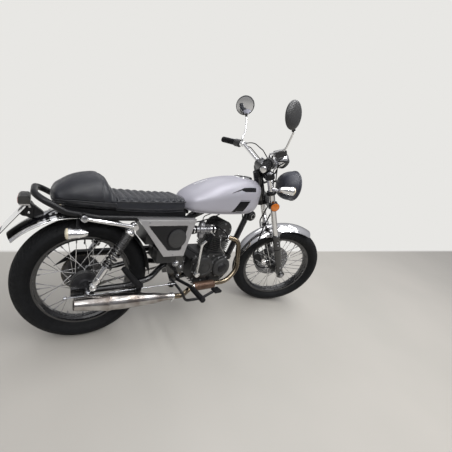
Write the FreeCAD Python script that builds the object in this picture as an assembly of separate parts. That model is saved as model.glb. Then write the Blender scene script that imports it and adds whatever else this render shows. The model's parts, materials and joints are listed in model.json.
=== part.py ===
import FreeCAD, Part
import math
import os

# Cafe racer motorcycle, leaning on its side stand with the front wheel turned to the right.
# The bike is drawn upright and straight, +X forward, +Y to the rider's left, +Z up, with its
# origin on the floor under the rear axle. Front end pieces are drawn in the fork's own frame,
# with its origin at the front axle and +Z up along the fork. Each body is then put at rest.

# Stance
wheelbase = 1294.0
rake_deg = 26.0
fork_offset = 35.0
lean_deg = 8.0
steer_deg = -22.0

# Clearances and overruns
seat_gap = 0.3
running_gap = 0.5
overrun = 5.0

# Rear wheel
rear_width = 116.0
rear_bead_radius = 229.0
rear_tyre_height = 92.0
rear_radius = rear_bead_radius + rear_tyre_height
rear_rim_width = 60.0
rear_rim_depth = 17.0
rear_flange_radius = 52.0
rear_flange_y = 34.0

# Front wheel
front_width = 92.0
front_bead_radius = 218.0
front_tyre_height = 81.0
front_radius = front_bead_radius + front_tyre_height
front_rim_width = 52.0
front_rim_depth = 14.0
front_flange_radius = 38.0
front_flange_y = 30.0

# Tyres, rims and spokes
tyre_wall = 10.0
tyre_shoulder_share = 0.53
tyre_bead_width = 9.0
tyre_side_share = 0.45
tyre_bulge_share = 0.72
rim_wall = 3.0
rim_flange_height = 10.0
rim_flange_wall = 3.5
rim_step_share = 0.55
rim_well_share = 0.33
spoke_radius = 1.9
spoke_pairs = 9
spoke_cross_deg = 46.0
spoke_rim_y = 5.0
hub_flange_wall = 6.0
hub_barrel_radius = 24.0
spoke_hole_inset = 5.0

# Datums: the swingarm's pivot clears the tyre, and the seat and tank ride over its top
pivot_gap = 153.0
pivot_x = rear_radius + pivot_gap
tyre_top = rear_radius * 2
case_front_ahead = 326.0
case_front_x = pivot_x + case_front_ahead

# Rear hub, drum brake and axle
axle_radius = 8.0
rear_axle_half = 142.0
drum_radius = 66.0
drum_width = 26.0
carrier_radius = 46.0
backing_radius = 62.0
backing_width = 12.0
backing_boss_radius = 27.9
backing_dish_radius = 37.2
backing_dish = 4.0
cam_back = 24.8
cam_drop = 31.0
cam_reach = 4.0
cam_radius = 7.0
brake_arm_length = 74.0
brake_arm_width = 16.0
brake_arm_wall = 7.0
nut_radius = 13.0
nut_width = 9.0
nut_overlap = 1.0

# Final drive
chain_y = 72.0
chain_pitch = 12.7
chain_width = 14.0
chain_height = 11.0
rear_teeth = 48
front_teeth = 15
drive_ahead = 86.0
drive_x = pivot_x + drive_ahead
drive_rise = 51.0
drive_z = rear_radius + drive_rise
sprocket_wall = 6.0
sprocket_bore = 28.0
drive_gap_y = 58.0
tooth_gap = 0.8

# Front hub, brake disc and axle
front_axle_half = 118.0
front_axle_bore = 4.5
disc_radius = 120.0
disc_inner_radius = 62.0
disc_wall = 4.0
disc_arm_half = 12.0
disc_arm_count = 5
disc_y = 56.0
front_hub_half = 52.0

# Fork
fork_half = 91.0
stanchion_radius = 16.5
stanchion_top = 716.0
slider_top = 307.0
slider_bottom = -26.0
slider_radius = 22.0
seal_height = 22.0
seal_radius = 25.0
axle_lug_radius = 24.0
lower_yoke_z = 505.0
upper_yoke_z = 684.0
yoke_height = 30.0
yoke_depth = 44.0
yoke_boss_radius = 26.0
yoke_end_radius = 25.5
stem_radius = 14.0

# Head tube, spine and downtube
head_tube_radius = 27.0
spine_radius = 21.0
spine_front_z = 632.0
spine_rear_ahead = 86.0
spine_rear_x = pivot_x + spine_rear_ahead
spine_rear_over = 13.0
spine_rear_z = tyre_top + spine_rear_over
spine_drop_ahead = 12.0
spine_drop_x = pivot_x + spine_drop_ahead
spine_drop_over = -82.0
spine_drop_z = tyre_top + spine_drop_over
spine_foot_rise = 131.0
spine_foot_z = rear_radius + spine_foot_rise
downtube_radius = 18.0
downtube_top_z = 600.0
downtube_foot_from_case = 66.0
downtube_foot_x = case_front_x + downtube_foot_from_case
downtube_foot_rise = 71.0
downtube_foot_z = rear_radius + downtube_foot_rise
frame_bend = 90.0

# Seat rails and rear hoop
rail_radius = 12.5
rail_front_ahead = 81.0
rail_front_x = pivot_x + rail_front_ahead
rail_front_y = 34.0
rail_front_over = 26.0
rail_front_z = tyre_top + rail_front_over
rail_mid_ahead = -4.0
rail_mid_x = pivot_x + rail_mid_ahead
rail_mid_y = 88.0
rail_mid_over = 20.0
rail_mid_z = tyre_top + rail_mid_over
rail_rear_x = 40.0
rail_half = 112.0
rail_rear_over = 34.0
rail_rear_z = tyre_top + rail_rear_over
hoop_foot_x = -90.0
hoop_foot_over = 55.0
hoop_foot_z = tyre_top + hoop_foot_over
hoop_end_x = -214.0
hoop_half = 104.0
hoop_end_over = 132.0
hoop_end_z = tyre_top + hoop_end_over
hoop_bend = 62.0

# Pivot plates
pivot_rise = 74.0
pivot_z = rear_radius + pivot_rise
pivot_plate_y = 50.0
pivot_plate_wall = 6.0
pivot_plate_cut = 20.0
pivot_plate_top = 26.0
pivot_plate_brow = 60.0
pivot_plate_low_rise = -37.0
pivot_plate_low = rear_radius + pivot_plate_low_rise
pivot_plate_high_rise = 179.0
pivot_plate_high = rear_radius + pivot_plate_high_rise
pivot_plate_rear_ahead = -56.0
pivot_plate_rear = pivot_x + pivot_plate_rear_ahead
pivot_plate_front_ahead = 52.0
pivot_plate_front = pivot_x + pivot_plate_front_ahead

# Swingarm
arm_half = 110.0
arm_radius = 15.0
arm_bend_ahead = -168.0
arm_bend_x = pivot_x + arm_bend_ahead
arm_bend_rise = 29.0
arm_bend_z = rear_radius + arm_bend_rise
arm_level_ahead = -284.0
arm_level_x = pivot_x + arm_level_ahead
arm_level_rise = 3.0
arm_level_z = rear_radius + arm_level_rise
arm_end_x = -72.0
arm_end_length = 104.0
arm_end_height = 38.0
arm_end_wall = 22.0
arm_tube_radius = 19.0
arm_tube_half = 48.0
arm_neck_ahead = -70.0
arm_neck_x = pivot_x + arm_neck_ahead
arm_neck_slope_share = 0.3

# Shock absorbers
shock_y = 143.0
shock_top_x = 188.0
shock_top_over = 4.0
shock_top_z = tyre_top + shock_top_over
shock_foot_x = 20.0
shock_foot_rise = 35.0
shock_foot_z = rear_radius + shock_foot_rise
shock_eye_radius = 15.0
shock_eye_width = 20.0
shock_stud_radius = 6.0
damper_radius = 12.0
sleeve_radius = 22.0
sleeve_length = 108.0
sleeve_start = 22.0
spring_radius = 27.0
spring_depth = 7.0
spring_turns = 12
shock_head_radius = 21.0
shock_head_length = 16.0
shock_neck_share = 1.6
shock_neck_radius = 9.0

# Chrome side bars
bar_radius = 8.5
bar_rear_x = -26.0
bar_rear_over = 42.0
bar_rear_z = tyre_top + bar_rear_over
bar_block_radius = 12.0
bar_cap_reach = 11.9

# Seat
seat_rear_x = -40.0
seat_front_ahead = -4.0
seat_front_x = pivot_x + seat_front_ahead
seat_half = 122.0
seat_low_over = 48.0
seat_low = tyre_top + seat_low_over
seat_height = 74.0

# Seat hump
hump_rear_x = -146.0
hump_front_x = 118.0
hump_half = 126.0
hump_low_over = 62.0
hump_low = tyre_top + hump_low_over
hump_height = 142.0
hump_gap = 1.0

# Tank
tank_rear_ahead = 0.0
tank_rear_x = pivot_x + tank_rear_ahead
tank_half = 132.0
tank_nose_rise = 116.0
tank_nose_gap = 45.7785097
tank_low_over = 48.0
tank_low = tyre_top + tank_low_over
tank_height = 194.0
tank_tunnel_half = 34.0
tank_tunnel_gap = 8.0
cap_back = 100.0
cap_radius = 31.0
cap_height = 9.0

# Engine
crank_from_case = -145.0
crank_x = case_front_x + crank_from_case
crank_rise = 51.0
crank_z = rear_radius + crank_rise
case_half = 78.0
case_corner = 39.0
case_brow = 58.5
case_rear_ahead = 92.0
case_rear_x = pivot_x + case_rear_ahead
case_low_rise = -59.0
case_low_z = rear_radius + case_low_rise
case_high_rise = 129.0
case_high_z = rear_radius + case_high_rise
cover_wall = 34.0
clutch_ahead = 138.0
clutch_x = pivot_x + clutch_ahead
clutch_rise = 71.0
clutch_z = rear_radius + clutch_rise
clutch_radius = 66.0
stator_from_case = -88.0
stator_x = case_front_x + stator_from_case
stator_rise = 61.0
stator_z = rear_radius + stator_rise
stator_radius = 60.0
cylinder_tilt_deg = 14.0
cylinder_base = 76.0
cylinder_half = 58.0
cylinder_core = 44.0
fin_count = 8
fin_pitch = 11.0
fin_wall = 3.0
fin_base_gap = 6.0
head_height = 62.0
head_half = 48.0
valve_cap_radius = 19.0
valve_cap_length = 12.0

# Carburettor
carb_y = -46.0
carb_rise = 267.0
carb_z = rear_radius + carb_rise
carb_front_ahead = 174.0
carb_front_x = pivot_x + carb_front_ahead
carb_rear_ahead = 92.0
carb_rear_x = pivot_x + carb_rear_ahead
carb_radius = 24.0
carb_bowl_height = 46.0
carb_stub_radius = 19.0
carb_stub_length = 34.0

# Exhaust
pipe_radius = 15.0
pipe_bend = 60.0
port_from_case = -42.0
port_x = case_front_x + port_from_case
port_y = -34.0
port_rise = 231.0
port_z = rear_radius + port_rise
pipe_top_from_case = 46.0
pipe_top_x = case_front_x + pipe_top_from_case
pipe_top_y = -58.0
pipe_top_rise = 203.0
pipe_top_z = rear_radius + pipe_top_rise
pipe_knee_from_case = 62.0
pipe_knee_x = case_front_x + pipe_knee_from_case
pipe_knee_y = -98.0
pipe_knee_rise = 9.0
pipe_knee_z = rear_radius + pipe_knee_rise
pipe_low_from_case = -10.0
pipe_low_x = case_front_x + pipe_low_from_case
pipe_low_y = -104.0
pipe_low_rise = -53.0
pipe_low_z = rear_radius + pipe_low_rise
box_front_ahead = 238.0
box_front_x = pivot_x + box_front_ahead
box_rear_ahead = 103.0
box_rear_x = pivot_x + box_rear_ahead
box_y = -118.0
box_rise = -45.0
box_z = rear_radius + box_rise
box_radius = 23.0
box_swing = 7.6667
box_front_in = 9.0
box_front_drop = 5.0
box_rear_out = 4.0
muffler_front_ahead = -50.0
muffler_front_x = pivot_x + muffler_front_ahead
muffler_front_y = -164.0
muffler_front_rise = -59.0
muffler_front_z = rear_radius + muffler_front_rise
muffler_rear_x = -66.0
muffler_rear_y = -190.0
muffler_rear_rise = -13.0
muffler_rear_z = rear_radius + muffler_rear_rise
muffler_radius = 38.0
muffler_tail_radius = 25.0
muffler_cone_share = 0.52
muffler_step_share = 0.68
muffler_step = 2.5
muffler_step_length = 10.0
muffler_wall = 3.0
muffler_wall_taper = 1.0
muffler_collar_share = 0.12
muffler_waist_share = 0.88
muffler_waist_place_share = 0.72
muffler_lead = 60.0
muffler_socket = 24.0
tail_hole_radius = 14.0
tail_hole_depth = 60.0

# Kick starter
kick_ahead = 92.0
kick_x = pivot_x + kick_ahead
kick_rise = 41.0
kick_z = rear_radius + kick_rise
kick_mid_ahead = 58.0
kick_mid_x = pivot_x + kick_mid_ahead
kick_mid_rise = 235.0
kick_mid_z = rear_radius + kick_mid_rise
kick_mid_y = -176.0
kick_top_ahead = 104.0
kick_top_x = pivot_x + kick_top_ahead
kick_top_rise = 301.0
kick_top_z = rear_radius + kick_top_rise
kick_top_y = -196.0
kick_radius = 7.0
kick_boss_radius = 15.0
kick_boss_length = 22.0
kick_arm_y = 12.0
kick_bend = 40.0

# Rider's pegs, brake pedal and gear lever
peg_ahead = 58.0
peg_x = pivot_x + peg_ahead
peg_rise = -21.0
peg_z = rear_radius + peg_rise
peg_inner_y = 172.0
peg_outer_y = 286.0
peg_radius = 13.0
peg_bracket_radius = 9.0
peg_arm_lean = 4.0
peg_arm_length = 30.0
peg_arm_depth = 10.0
peg_bend = 30.0
pedal_ahead = -18.0
pedal_x = pivot_x + pedal_ahead
pedal_pivot_rise = -17.0
pedal_pivot_z = rear_radius + pedal_pivot_rise
pedal_y = 190.0
pedal_knee_ahead = 18.0
pedal_knee_x = pivot_x + pedal_knee_ahead
pedal_mid_ahead = 118.0
pedal_mid_x = pivot_x + pedal_mid_ahead
pedal_rise = -79.0
pedal_z = rear_radius + pedal_rise
pedal_toe_ahead = 194.0
pedal_toe_x = pivot_x + pedal_toe_ahead
pedal_toe_rise = -33.0
pedal_toe_z = rear_radius + pedal_toe_rise
pedal_bend = 30.0
pedal_radius = 7.5
lever_ahead = 166.0
lever_x = pivot_x + lever_ahead
lever_length = 90.0
lever_toe_rise = 10.0
lever_crank = 26.0
lever_toe_lead = 2.0
lever_toe_length = 50.0
lever_bend = 14.0
lever_rise = -17.0
lever_z = rear_radius + lever_rise

# Passenger pegs
rest_ahead = -230.0
rest_x = pivot_x + rest_ahead
rest_rise = 17.0
rest_z = rear_radius + rest_rise
rest_y = 158.0
rest_tip_ahead = -326.0
rest_tip_x = pivot_x + rest_tip_ahead
rest_tip_rise = 131.0
rest_tip_z = rear_radius + rest_tip_rise
rest_radius = 12.0
rest_hinge_rise = 6.0
rest_link_back = 16.0
rest_link_rise = 14.0
rest_overlap = 2.0
rest_overlap_drop = 3.0
rest_splay = 10.0
rest_arm_end = 8.0
rest_arm_share = 0.8

# Side panels
panel_y = 118.0
panel_wall = 4.0
panel_bulge = 26.0
panel_border = 31.2
inset_wall = 2.4
panel_top_over = 34.0
panel_top_z = tyre_top + panel_top_over
panel_rear_ahead = -268.0
panel_rear_x = pivot_x + panel_rear_ahead
panel_front_ahead = 32.0
panel_front_x = pivot_x + panel_front_ahead
panel_low_rise = 163.0
panel_low_z = rear_radius + panel_low_rise
panel_low_rear_ahead = -122.0
panel_low_rear_x = pivot_x + panel_low_rear_ahead
panel_low_front_ahead = -12.0
panel_low_front_x = pivot_x + panel_low_front_ahead
panel_disc_ahead = -62.0
panel_disc_x = pivot_x + panel_disc_ahead
panel_disc_rise = 257.0
panel_disc_z = rear_radius + panel_disc_rise
panel_disc_radius = 50.0
panel_disc_wall = 6.4

# Air box between the side panels
air_box_half = 78.0
air_box_front_ahead = -25.0
air_box_front_x = pivot_x + air_box_front_ahead
air_box_rear_ahead = -198.0
air_box_rear_x = pivot_x + air_box_rear_ahead
air_box_low_rise = 203.0
air_box_low_z = rear_radius + air_box_low_rise

# Rear fender and inner mudguard
fender_radius = 385.0
fender_half = 74.0
fender_edge_drop = 26.0
fender_wall = 2.5
fender_start_deg = 92.0
fender_end_deg = 139.0
guard_radius = 338.0
guard_half = 56.0
guard_drop = 14.0
guard_wall = 3.0
guard_start_deg = 4.0
guard_end_deg = 83.0

# Tail lamp, plate bracket and number plate
lamp_rear_x = -258.0
lamp_front_x = -222.0
lamp_low_over = 80.0
lamp_low_z = tyre_top + lamp_low_over
lamp_high_over = 114.0
lamp_high_z = tyre_top + lamp_high_over
lamp_half = 44.0
plate_top_x = -230.0
plate_top_over = 74.0
plate_top_z = tyre_top + plate_top_over
plate_foot_x = -322.0
plate_foot_over = -42.0
plate_foot_z = tyre_top + plate_foot_over
plate_half = 62.0
plate_wall = 2.0
bracket_wall = 4.0
bracket_half = 18.0
bracket_foot = 46.0

# Indicators
blinker_radius = 17.0
blinker_length = 66.0
blinker_stem_radius = 6.0
blinker_stem_lean = 10.0
blinker_stem_drop = 6.0
blinker_rear_x = -54.0
blinker_rear_y = 200.0
blinker_rear_over = -6.0
blinker_rear_z = tyre_top + blinker_rear_over
blinker_front_x = 48.0
blinker_front_y = 178.0
blinker_front_z = 632.0

# Headlight
lamp_radius = 84.0
lamp_depth = 138.0
lamp_x = 232.0
lamp_z = 542.0
lamp_glass = 14.0
lamp_glass_edge = 1.0
lamp_lip = 5.0
lamp_recess = 4.0
lamp_band = 8.0
ear_radius = 6.0
ear_rise = 20.0

# Instrument
gauge_radius = 43.0
gauge_depth = 52.0
gauge_rim = 8.0
gauge_x = 92.0
gauge_z = 748.0
gauge_tilt_deg = 38.0
gauge_arm_radius = 7.0

# Handlebar, grips and levers
bar_tube_radius = 11.0
bar_clamp_x = 0.0
bar_clamp_z = 736.0
bar_clamp_y = 62.0
clamp_y = 40.0
clamp_half = 10.0
clamp_wall = 9.0
post_half = 14.0
post_inset = 2.0
bar_rise_x = -34.0
bar_rise_y = 214.0
bar_rise_z = 828.0
bar_end_x = -126.0
bar_end_y = 379.0
bar_end_z = 859.0
bar_bend = 60.0
grip_radius = 17.0
grip_length = 118.0
grip_inset = 4.0
pod_radius = 22.0
pod_length = 42.0
pod_gap = 2.0
lever_gap = 52.0
lever_radius = 5.0
lever_dip_share = 0.2
lever_root = 10.0
lever_knee = 22.0
lever_knee_out = 20.0
lever_tip = 6.0
lever_turn = 20.0

# Mirrors
mirror_radius = 57.0
mirror_turn_deg = 62.0
mirror_depth = 17.0
mirror_boss = 8.0
mirror_boss_length = 19.2
mirror_foot = 22.0
mirror_foot_rise = 1.5
mirror_bend = 30.0
mirror_boss_radius = 6.5
mirror_stalk_radius = 5.0
mirror_knee_x = 10.0
mirror_knee_y = 292.0
mirror_knee_z = 888.0
mirror_head_x = 36.0
mirror_head_y = 324.0
mirror_head_z = 1030.0

# Front fender
front_fender_radius = 326.0
front_fender_half = 56.0
front_fender_drop = 30.0
front_fender_start_deg = 40.0
front_fender_end_deg = 140.0

# Side reflectors
reflector_radius = 24.0
reflector_depth = 11.0

# Caliper, hose and horn
caliper_length = 92.0
caliper_height = 46.0
caliper_width = 40.0
caliper_reach = 4.0
caliper_rise = 10.0
caliper_gap = 5.0
caliper_gap_out = 6.0
hose_radius = 4.0
hose_bend = 70.0
hose_route = [(-88.0, 62.5, 104.0), (-46.0, 62.5, 190.0), (-40.0, 62.5, 350.0), (30.0, 40.0, 470.0),
              (32.0, 36.0, 620.0), (36.0, 30.0, 730.0), (36.0, -40.0, 768.0), (0.0, -140.0, 800.0),
              (-14.0, -196.0, 842.0)]
cable_route = [(-10.0, -60.0, 34.0), (-130.0, -62.5, 60.0), (-150.0, -62.5, 180.0), (-60.0, -62.5, 370.0),
               (28.0, -40.0, 480.0), (30.0, -26.0, 640.0), (70.0, -14.0, 694.0)]
horn_x = 952.0
horn_y = -36.0
horn_z = 640.0
horn_radius = 30.0
horn_depth = 26.0
horn_stub_x = 943.0
horn_stub_radius = 7.0

# Side stand
stand_ahead = 122.0
stand_x = pivot_x + stand_ahead
stand_y = 112.0
stand_rise = -95.0
stand_z = rear_radius + stand_rise
stand_foot_ahead = 176.0
stand_foot_x = pivot_x + stand_foot_ahead
stand_foot_reach = 284.0
stand_radius = 9.0
stand_boss_radius = 15.0
stand_boss_half = 10.0
stand_pin_radius = 5.0
stand_pin_head_radius = 9.0
stand_arm_y = 40.0
stand_foot_half = 24.0
stand_pad_radius = 24.0
stand_pad_wall = 6.0


def vec(x, y, z):
    return FreeCAD.Vector(x, y, z)


origin = vec(0, 0, 0)
axis_x = vec(1, 0, 0)
axis_y = vec(0, 1, 0)
axis_z = vec(0, 0, 1)
rake = math.radians(rake_deg)
rear_axle = vec(0, 0, rear_radius)
front_axle = vec(wheelbase, 0, front_radius)
fork_forward = vec(math.cos(rake), 0, math.sin(rake))
steer_axis = vec(-math.sin(rake), 0, math.cos(rake))
steer_point = front_axle - fork_forward * fork_offset


# Shapes that many pieces share

def joined(shapes):
    """One solid or a compound of solids from shapes that may touch."""
    return shapes[0].multiFuse(shapes[1:]) if len(shapes) > 1 else shapes[0]


def group(shapes):
    """Solids of one node that don't touch."""
    solids = [solid for shape in shapes for solid in shape.Solids]
    return Part.makeCompound(solids)


def rod(start, end, radius):
    """Round bar from start to end."""
    along = end - start
    return Part.makeCylinder(radius, along.Length, start, along)


def rod_y(x, z, y_from, y_to, radius):
    """Round bar across the bike."""
    return rod(vec(x, y_from, z), vec(x, y_to, z), radius)


def block(x_from, x_to, y_from, y_to, z_from, z_to):
    """Box between two corners."""
    corner = vec(min(x_from, x_to), min(y_from, y_to), min(z_from, z_to))
    return Part.makeBox(abs(x_to - x_from), abs(y_to - y_from), abs(z_to - z_from), corner)


def mirrored(shape):
    """The same piece on the other side of the bike."""
    return shape.mirror(origin, axis_y)


def both_sides(shape):
    """A pair of pieces that don't touch, left and right."""
    return group([shape, mirrored(shape)])


side_share = 0.9
full_deg = 360.0


def spin(points, centre, axis):
    """Turned solid: points are (radius, place along the axis)."""
    side = axis_x if abs(axis.normalize().x) < side_share else axis_z
    side = side - axis * side.dot(axis)
    side.normalize()
    places = [centre + side * r + axis * a for r, a in points]
    face = Part.Face(Part.makePolygon(places + [places[0]]))
    return face.revolve(centre, axis, full_deg)


def spin_y(points, centre=origin):
    """Turned solid about an axis across the bike."""
    return spin(points, centre, vec(0, 1, 0))


def plate(outline, y_from, y_to):
    """Flat plate with its outline in the X, Z plane."""
    places = [vec(x, y_from, z) for x, z in outline]
    face = Part.Face(Part.makePolygon(places + [places[0]]))
    return face.extrude(vec(0, y_to - y_from, 0))


bend_share = 0.48


def bent_wire(points, bend_radius):
    """Straight runs joined by tangent arcs."""
    edges = []
    start = points[0]
    for before, corner, after in zip(points, points[1:], points[2:]):
        arrive = corner - before
        leave = after - corner
        shorter = min(arrive.Length, leave.Length)
        arrive.normalize()
        leave.normalize()
        half_turn = arrive.getAngle(leave) / 2
        trim = min(bend_radius * math.tan(half_turn), shorter * bend_share)
        radius = trim / math.tan(half_turn)
        inward = leave - arrive
        inward.normalize()
        middle = corner + inward * (radius / math.cos(half_turn) - radius)
        first = corner - arrive * trim
        last = corner + leave * trim
        edges.append(Part.LineSegment(start, first).toShape())
        edges.append(Part.Arc(first, middle, last).toShape())
        start = last
    edges.append(Part.LineSegment(start, points[-1]).toShape())
    return Part.Wire(edges)


def bent_tube(points, radius, bend_radius):
    """Round tube along straight runs joined by tangent arcs."""
    spine = bent_wire(points, bend_radius)
    ring = Part.Wire(Part.makeCircle(radius, points[0], points[1] - points[0]))
    return spine.makePipeShell([ring], True, False)


oval_count = 24


def oval(x, half_width, low, middle, high, power):
    """Closed smooth section across the bike; a low power makes it squarer."""
    places = []
    for step in range(oval_count):
        turn = 2 * math.pi * step / oval_count
        across = math.copysign(abs(math.cos(turn)) ** power, math.cos(turn))
        upward = math.copysign(abs(math.sin(turn)) ** power, math.sin(turn))
        reach = high - middle if upward > 0 else middle - low
        places.append(vec(x, half_width * across, middle + reach * upward))
    curve = Part.BSplineCurve()
    curve.interpolate(places, PeriodicFlag=True)
    return Part.Wire(curve.toShape())


def arched_shell(radius, half_width, drop, wall, start_deg, end_deg):
    """Fender: a curved section carried round the wheel's axis, which lies across the bike."""
    def section(outer, half, low):
        crown = vec(outer, 0, 0)
        side = vec(outer - low, half, 0)
        return side, crown, vec(outer - low, -half, 0)
    left, crown, right = section(radius, half_width, drop)
    left_in, crown_in, right_in = section(radius - wall, half_width - wall, drop)
    edges = [Part.Arc(left, crown, right).toShape(),
             Part.LineSegment(right, right_in).toShape(),
             Part.Arc(right_in, crown_in, left_in).toShape(),
             Part.LineSegment(left_in, left).toShape()]
    face = Part.Face(Part.Wire(edges))
    face.rotate(origin, axis_y, -start_deg)
    return face.revolve(origin, vec(0, -1, 0), end_deg - start_deg)


def in_fork(shape):
    """A piece drawn in the fork's frame, put at the upright bike's front end."""
    moved = shape.copy()
    moved.rotate(origin, axis_y, -rake_deg)
    moved.translate(front_axle)
    return moved


# Wheels

def tyre(radius, width, bead_radius, rim_width):
    """Hollow tyre with a round crown, seated between the rim's flanges."""
    half = width / 2
    bead = rim_width / 2 - rim_flange_wall - seat_gap
    foot = bead_radius + seat_gap
    lip = bead_radius + rim_flange_height + running_gap
    shoulder = bead_radius + (radius - bead_radius) * tyre_shoulder_share
    side = lip + (shoulder - lip) * tyre_side_share
    side_half = bead + (half - bead) * tyre_bulge_share
    inner = bead - tyre_bead_width

    def arc(a, b, c):
        return Part.Arc(vec(a[0], a[1], 0), vec(b[0], b[1], 0), vec(c[0], c[1], 0)).toShape()

    def line(a, b):
        return Part.LineSegment(vec(a[0], a[1], 0), vec(b[0], b[1], 0)).toShape()

    edges = [
        line((foot, -bead), (lip, -bead)),
        arc((lip, -bead), (side, -side_half), (shoulder, -half)),
        arc((shoulder, -half), (radius, 0), (shoulder, half)),
        arc((shoulder, half), (side, side_half), (lip, bead)),
        line((lip, bead), (foot, bead)),
        line((foot, bead), (foot, inner)),
        line((foot, inner), (lip, inner)),
        arc((lip, inner), (side, side_half - tyre_wall), (shoulder, half - tyre_wall)),
        arc((shoulder, half - tyre_wall), (radius - tyre_wall, 0), (shoulder, tyre_wall - half)),
        arc((shoulder, tyre_wall - half), (side, tyre_wall - side_half), (lip, -inner)),
        line((lip, -inner), (foot, -inner)),
        line((foot, -inner), (foot, -bead)),
    ]
    return Part.Face(Part.Wire(edges)).revolve(origin, axis_y, full_deg)


def rim(bead_radius, width, depth):
    """Steel rim: two flanges, two bead seats and a well."""
    half = width / 2
    seat = half - rim_flange_wall
    lip = bead_radius + rim_flange_height
    under = bead_radius - rim_wall
    well = bead_radius - depth
    step = half * rim_step_share
    well_half = half * rim_well_share
    upper = [(lip, half), (lip, seat), (bead_radius, seat), (bead_radius, step),
             (well + rim_wall, well_half)]
    lower = [(well, well_half), (under, step), (under, half)]
    left = [(r, -a) for r, a in reversed(upper)] + [(r, -a) for r, a in reversed(lower)]
    return spin_y(upper + left + lower)


def spokes(flange_radius, flange_y, rim_inner):
    """Crossed spokes from both hub flanges to the rim's well."""
    bars = []
    count = spoke_pairs * 2
    for side in (-1, 1):
        for index in range(count):
            turn = 2 * math.pi * (index + (1 / 2 if side > 0 else 0)) / count
            lead = math.radians(spoke_cross_deg) * (1 if index % 2 else -1)
            hub_turn = turn + lead
            hub_place = vec(flange_radius * math.cos(hub_turn), side * flange_y,
                            flange_radius * math.sin(hub_turn))
            rim_place = vec(rim_inner * math.cos(turn), side * spoke_rim_y,
                            rim_inner * math.sin(turn))
            bars.append(rod(hub_place, rim_place, spoke_radius))
    return bars


def rear_tyre():
    return tyre(rear_radius, rear_width, rear_bead_radius, rear_rim_width)


def front_tyre():
    return tyre(front_radius, front_width, front_bead_radius, front_rim_width)


def rear_rim():
    return rim(rear_bead_radius, rear_rim_width, rear_rim_depth)


def front_rim():
    return rim(front_bead_radius, front_rim_width, front_rim_depth)


def rear_hub():
    """Barrel, two flanges, the brake drum on the right and the sprocket carrier on the left."""
    bore = axle_radius + running_gap
    flange_in = rear_flange_y - hub_flange_wall
    drum_end = rear_flange_y + drum_width
    carrier_end = chain_y - sprocket_wall / 2 - seat_gap
    barrel = spin_y([
        (bore, -drum_end + drum_width / 2), (drum_radius - hub_flange_wall, -drum_end + drum_width / 2),
        (drum_radius - hub_flange_wall, -drum_end), (drum_radius, -drum_end),
        (drum_radius, -rear_flange_y), (drum_radius, -flange_in), (hub_barrel_radius, -flange_in),
        (hub_barrel_radius, flange_in), (rear_flange_radius + spoke_hole_inset, flange_in),
        (rear_flange_radius + spoke_hole_inset, rear_flange_y), (carrier_radius, rear_flange_y),
        (carrier_radius, carrier_end), (bore, carrier_end)])
    well = rear_bead_radius - rear_rim_depth - running_gap
    bars = spokes(rear_flange_radius, rear_flange_y - hub_flange_wall / 2, well)
    return joined([barrel] + bars)


def front_hub():
    """Barrel with two flanges, and the seat of the brake disc on the left."""
    bore = axle_radius + running_gap
    flange_in = front_flange_y - hub_flange_wall
    rim_radius = front_flange_radius + spoke_hole_inset
    disc_seat = disc_y - disc_wall / 2 - seat_gap
    barrel = spin_y([
        (bore, -front_hub_half), (hub_barrel_radius, -front_hub_half),
        (hub_barrel_radius, -front_flange_y), (rim_radius, -front_flange_y),
        (rim_radius, -flange_in), (hub_barrel_radius, -flange_in),
        (hub_barrel_radius, flange_in), (rim_radius, flange_in),
        (rim_radius, front_flange_y), (rim_radius, disc_seat), (bore, disc_seat)])
    well = front_bead_radius - front_rim_depth - running_gap
    bars = spokes(front_flange_radius, front_flange_y - hub_flange_wall / 2, well)
    return joined([barrel] + bars)


def brake_disc():
    """Ring on a five-armed carrier, bolted against the hub."""
    low = disc_y - disc_wall / 2
    high = disc_y + disc_wall / 2
    ring = spin_y([(disc_inner_radius, low), (disc_radius, low), (disc_radius, high),
                   (disc_inner_radius, high)])
    bore = axle_radius + running_gap
    carrier = spin_y([(bore, low), (front_flange_radius, low), (front_flange_radius, high),
                      (bore, high)])
    arms = []
    for index in range(disc_arm_count):
        arm = block(0, disc_inner_radius + overrun, low, high, -disc_arm_half, disc_arm_half)
        arm = arm.cut(spin_y([(0, low - overrun), (bore, low - overrun), (bore, high + overrun),
                              (0, high + overrun)]))
        arm.rotate(origin, axis_y, full_deg * index / disc_arm_count)
        arms.append(arm)
    return joined([ring, carrier] + arms)


# Final drive

def pitch_radius(teeth):
    """Radius of the rollers' centres on a sprocket."""
    return chain_pitch / 2 / math.sin(math.pi / teeth)


def rear_sprocket():
    """Plate with teeth whose tips stay inside the chain."""
    low = chain_y - sprocket_wall / 2
    high = chain_y + sprocket_wall / 2
    tip = pitch_radius(rear_teeth) - chain_height / 2 - tooth_gap
    return spin_y([(sprocket_bore, low), (tip, low), (tip, high), (sprocket_bore, high)])


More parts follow.
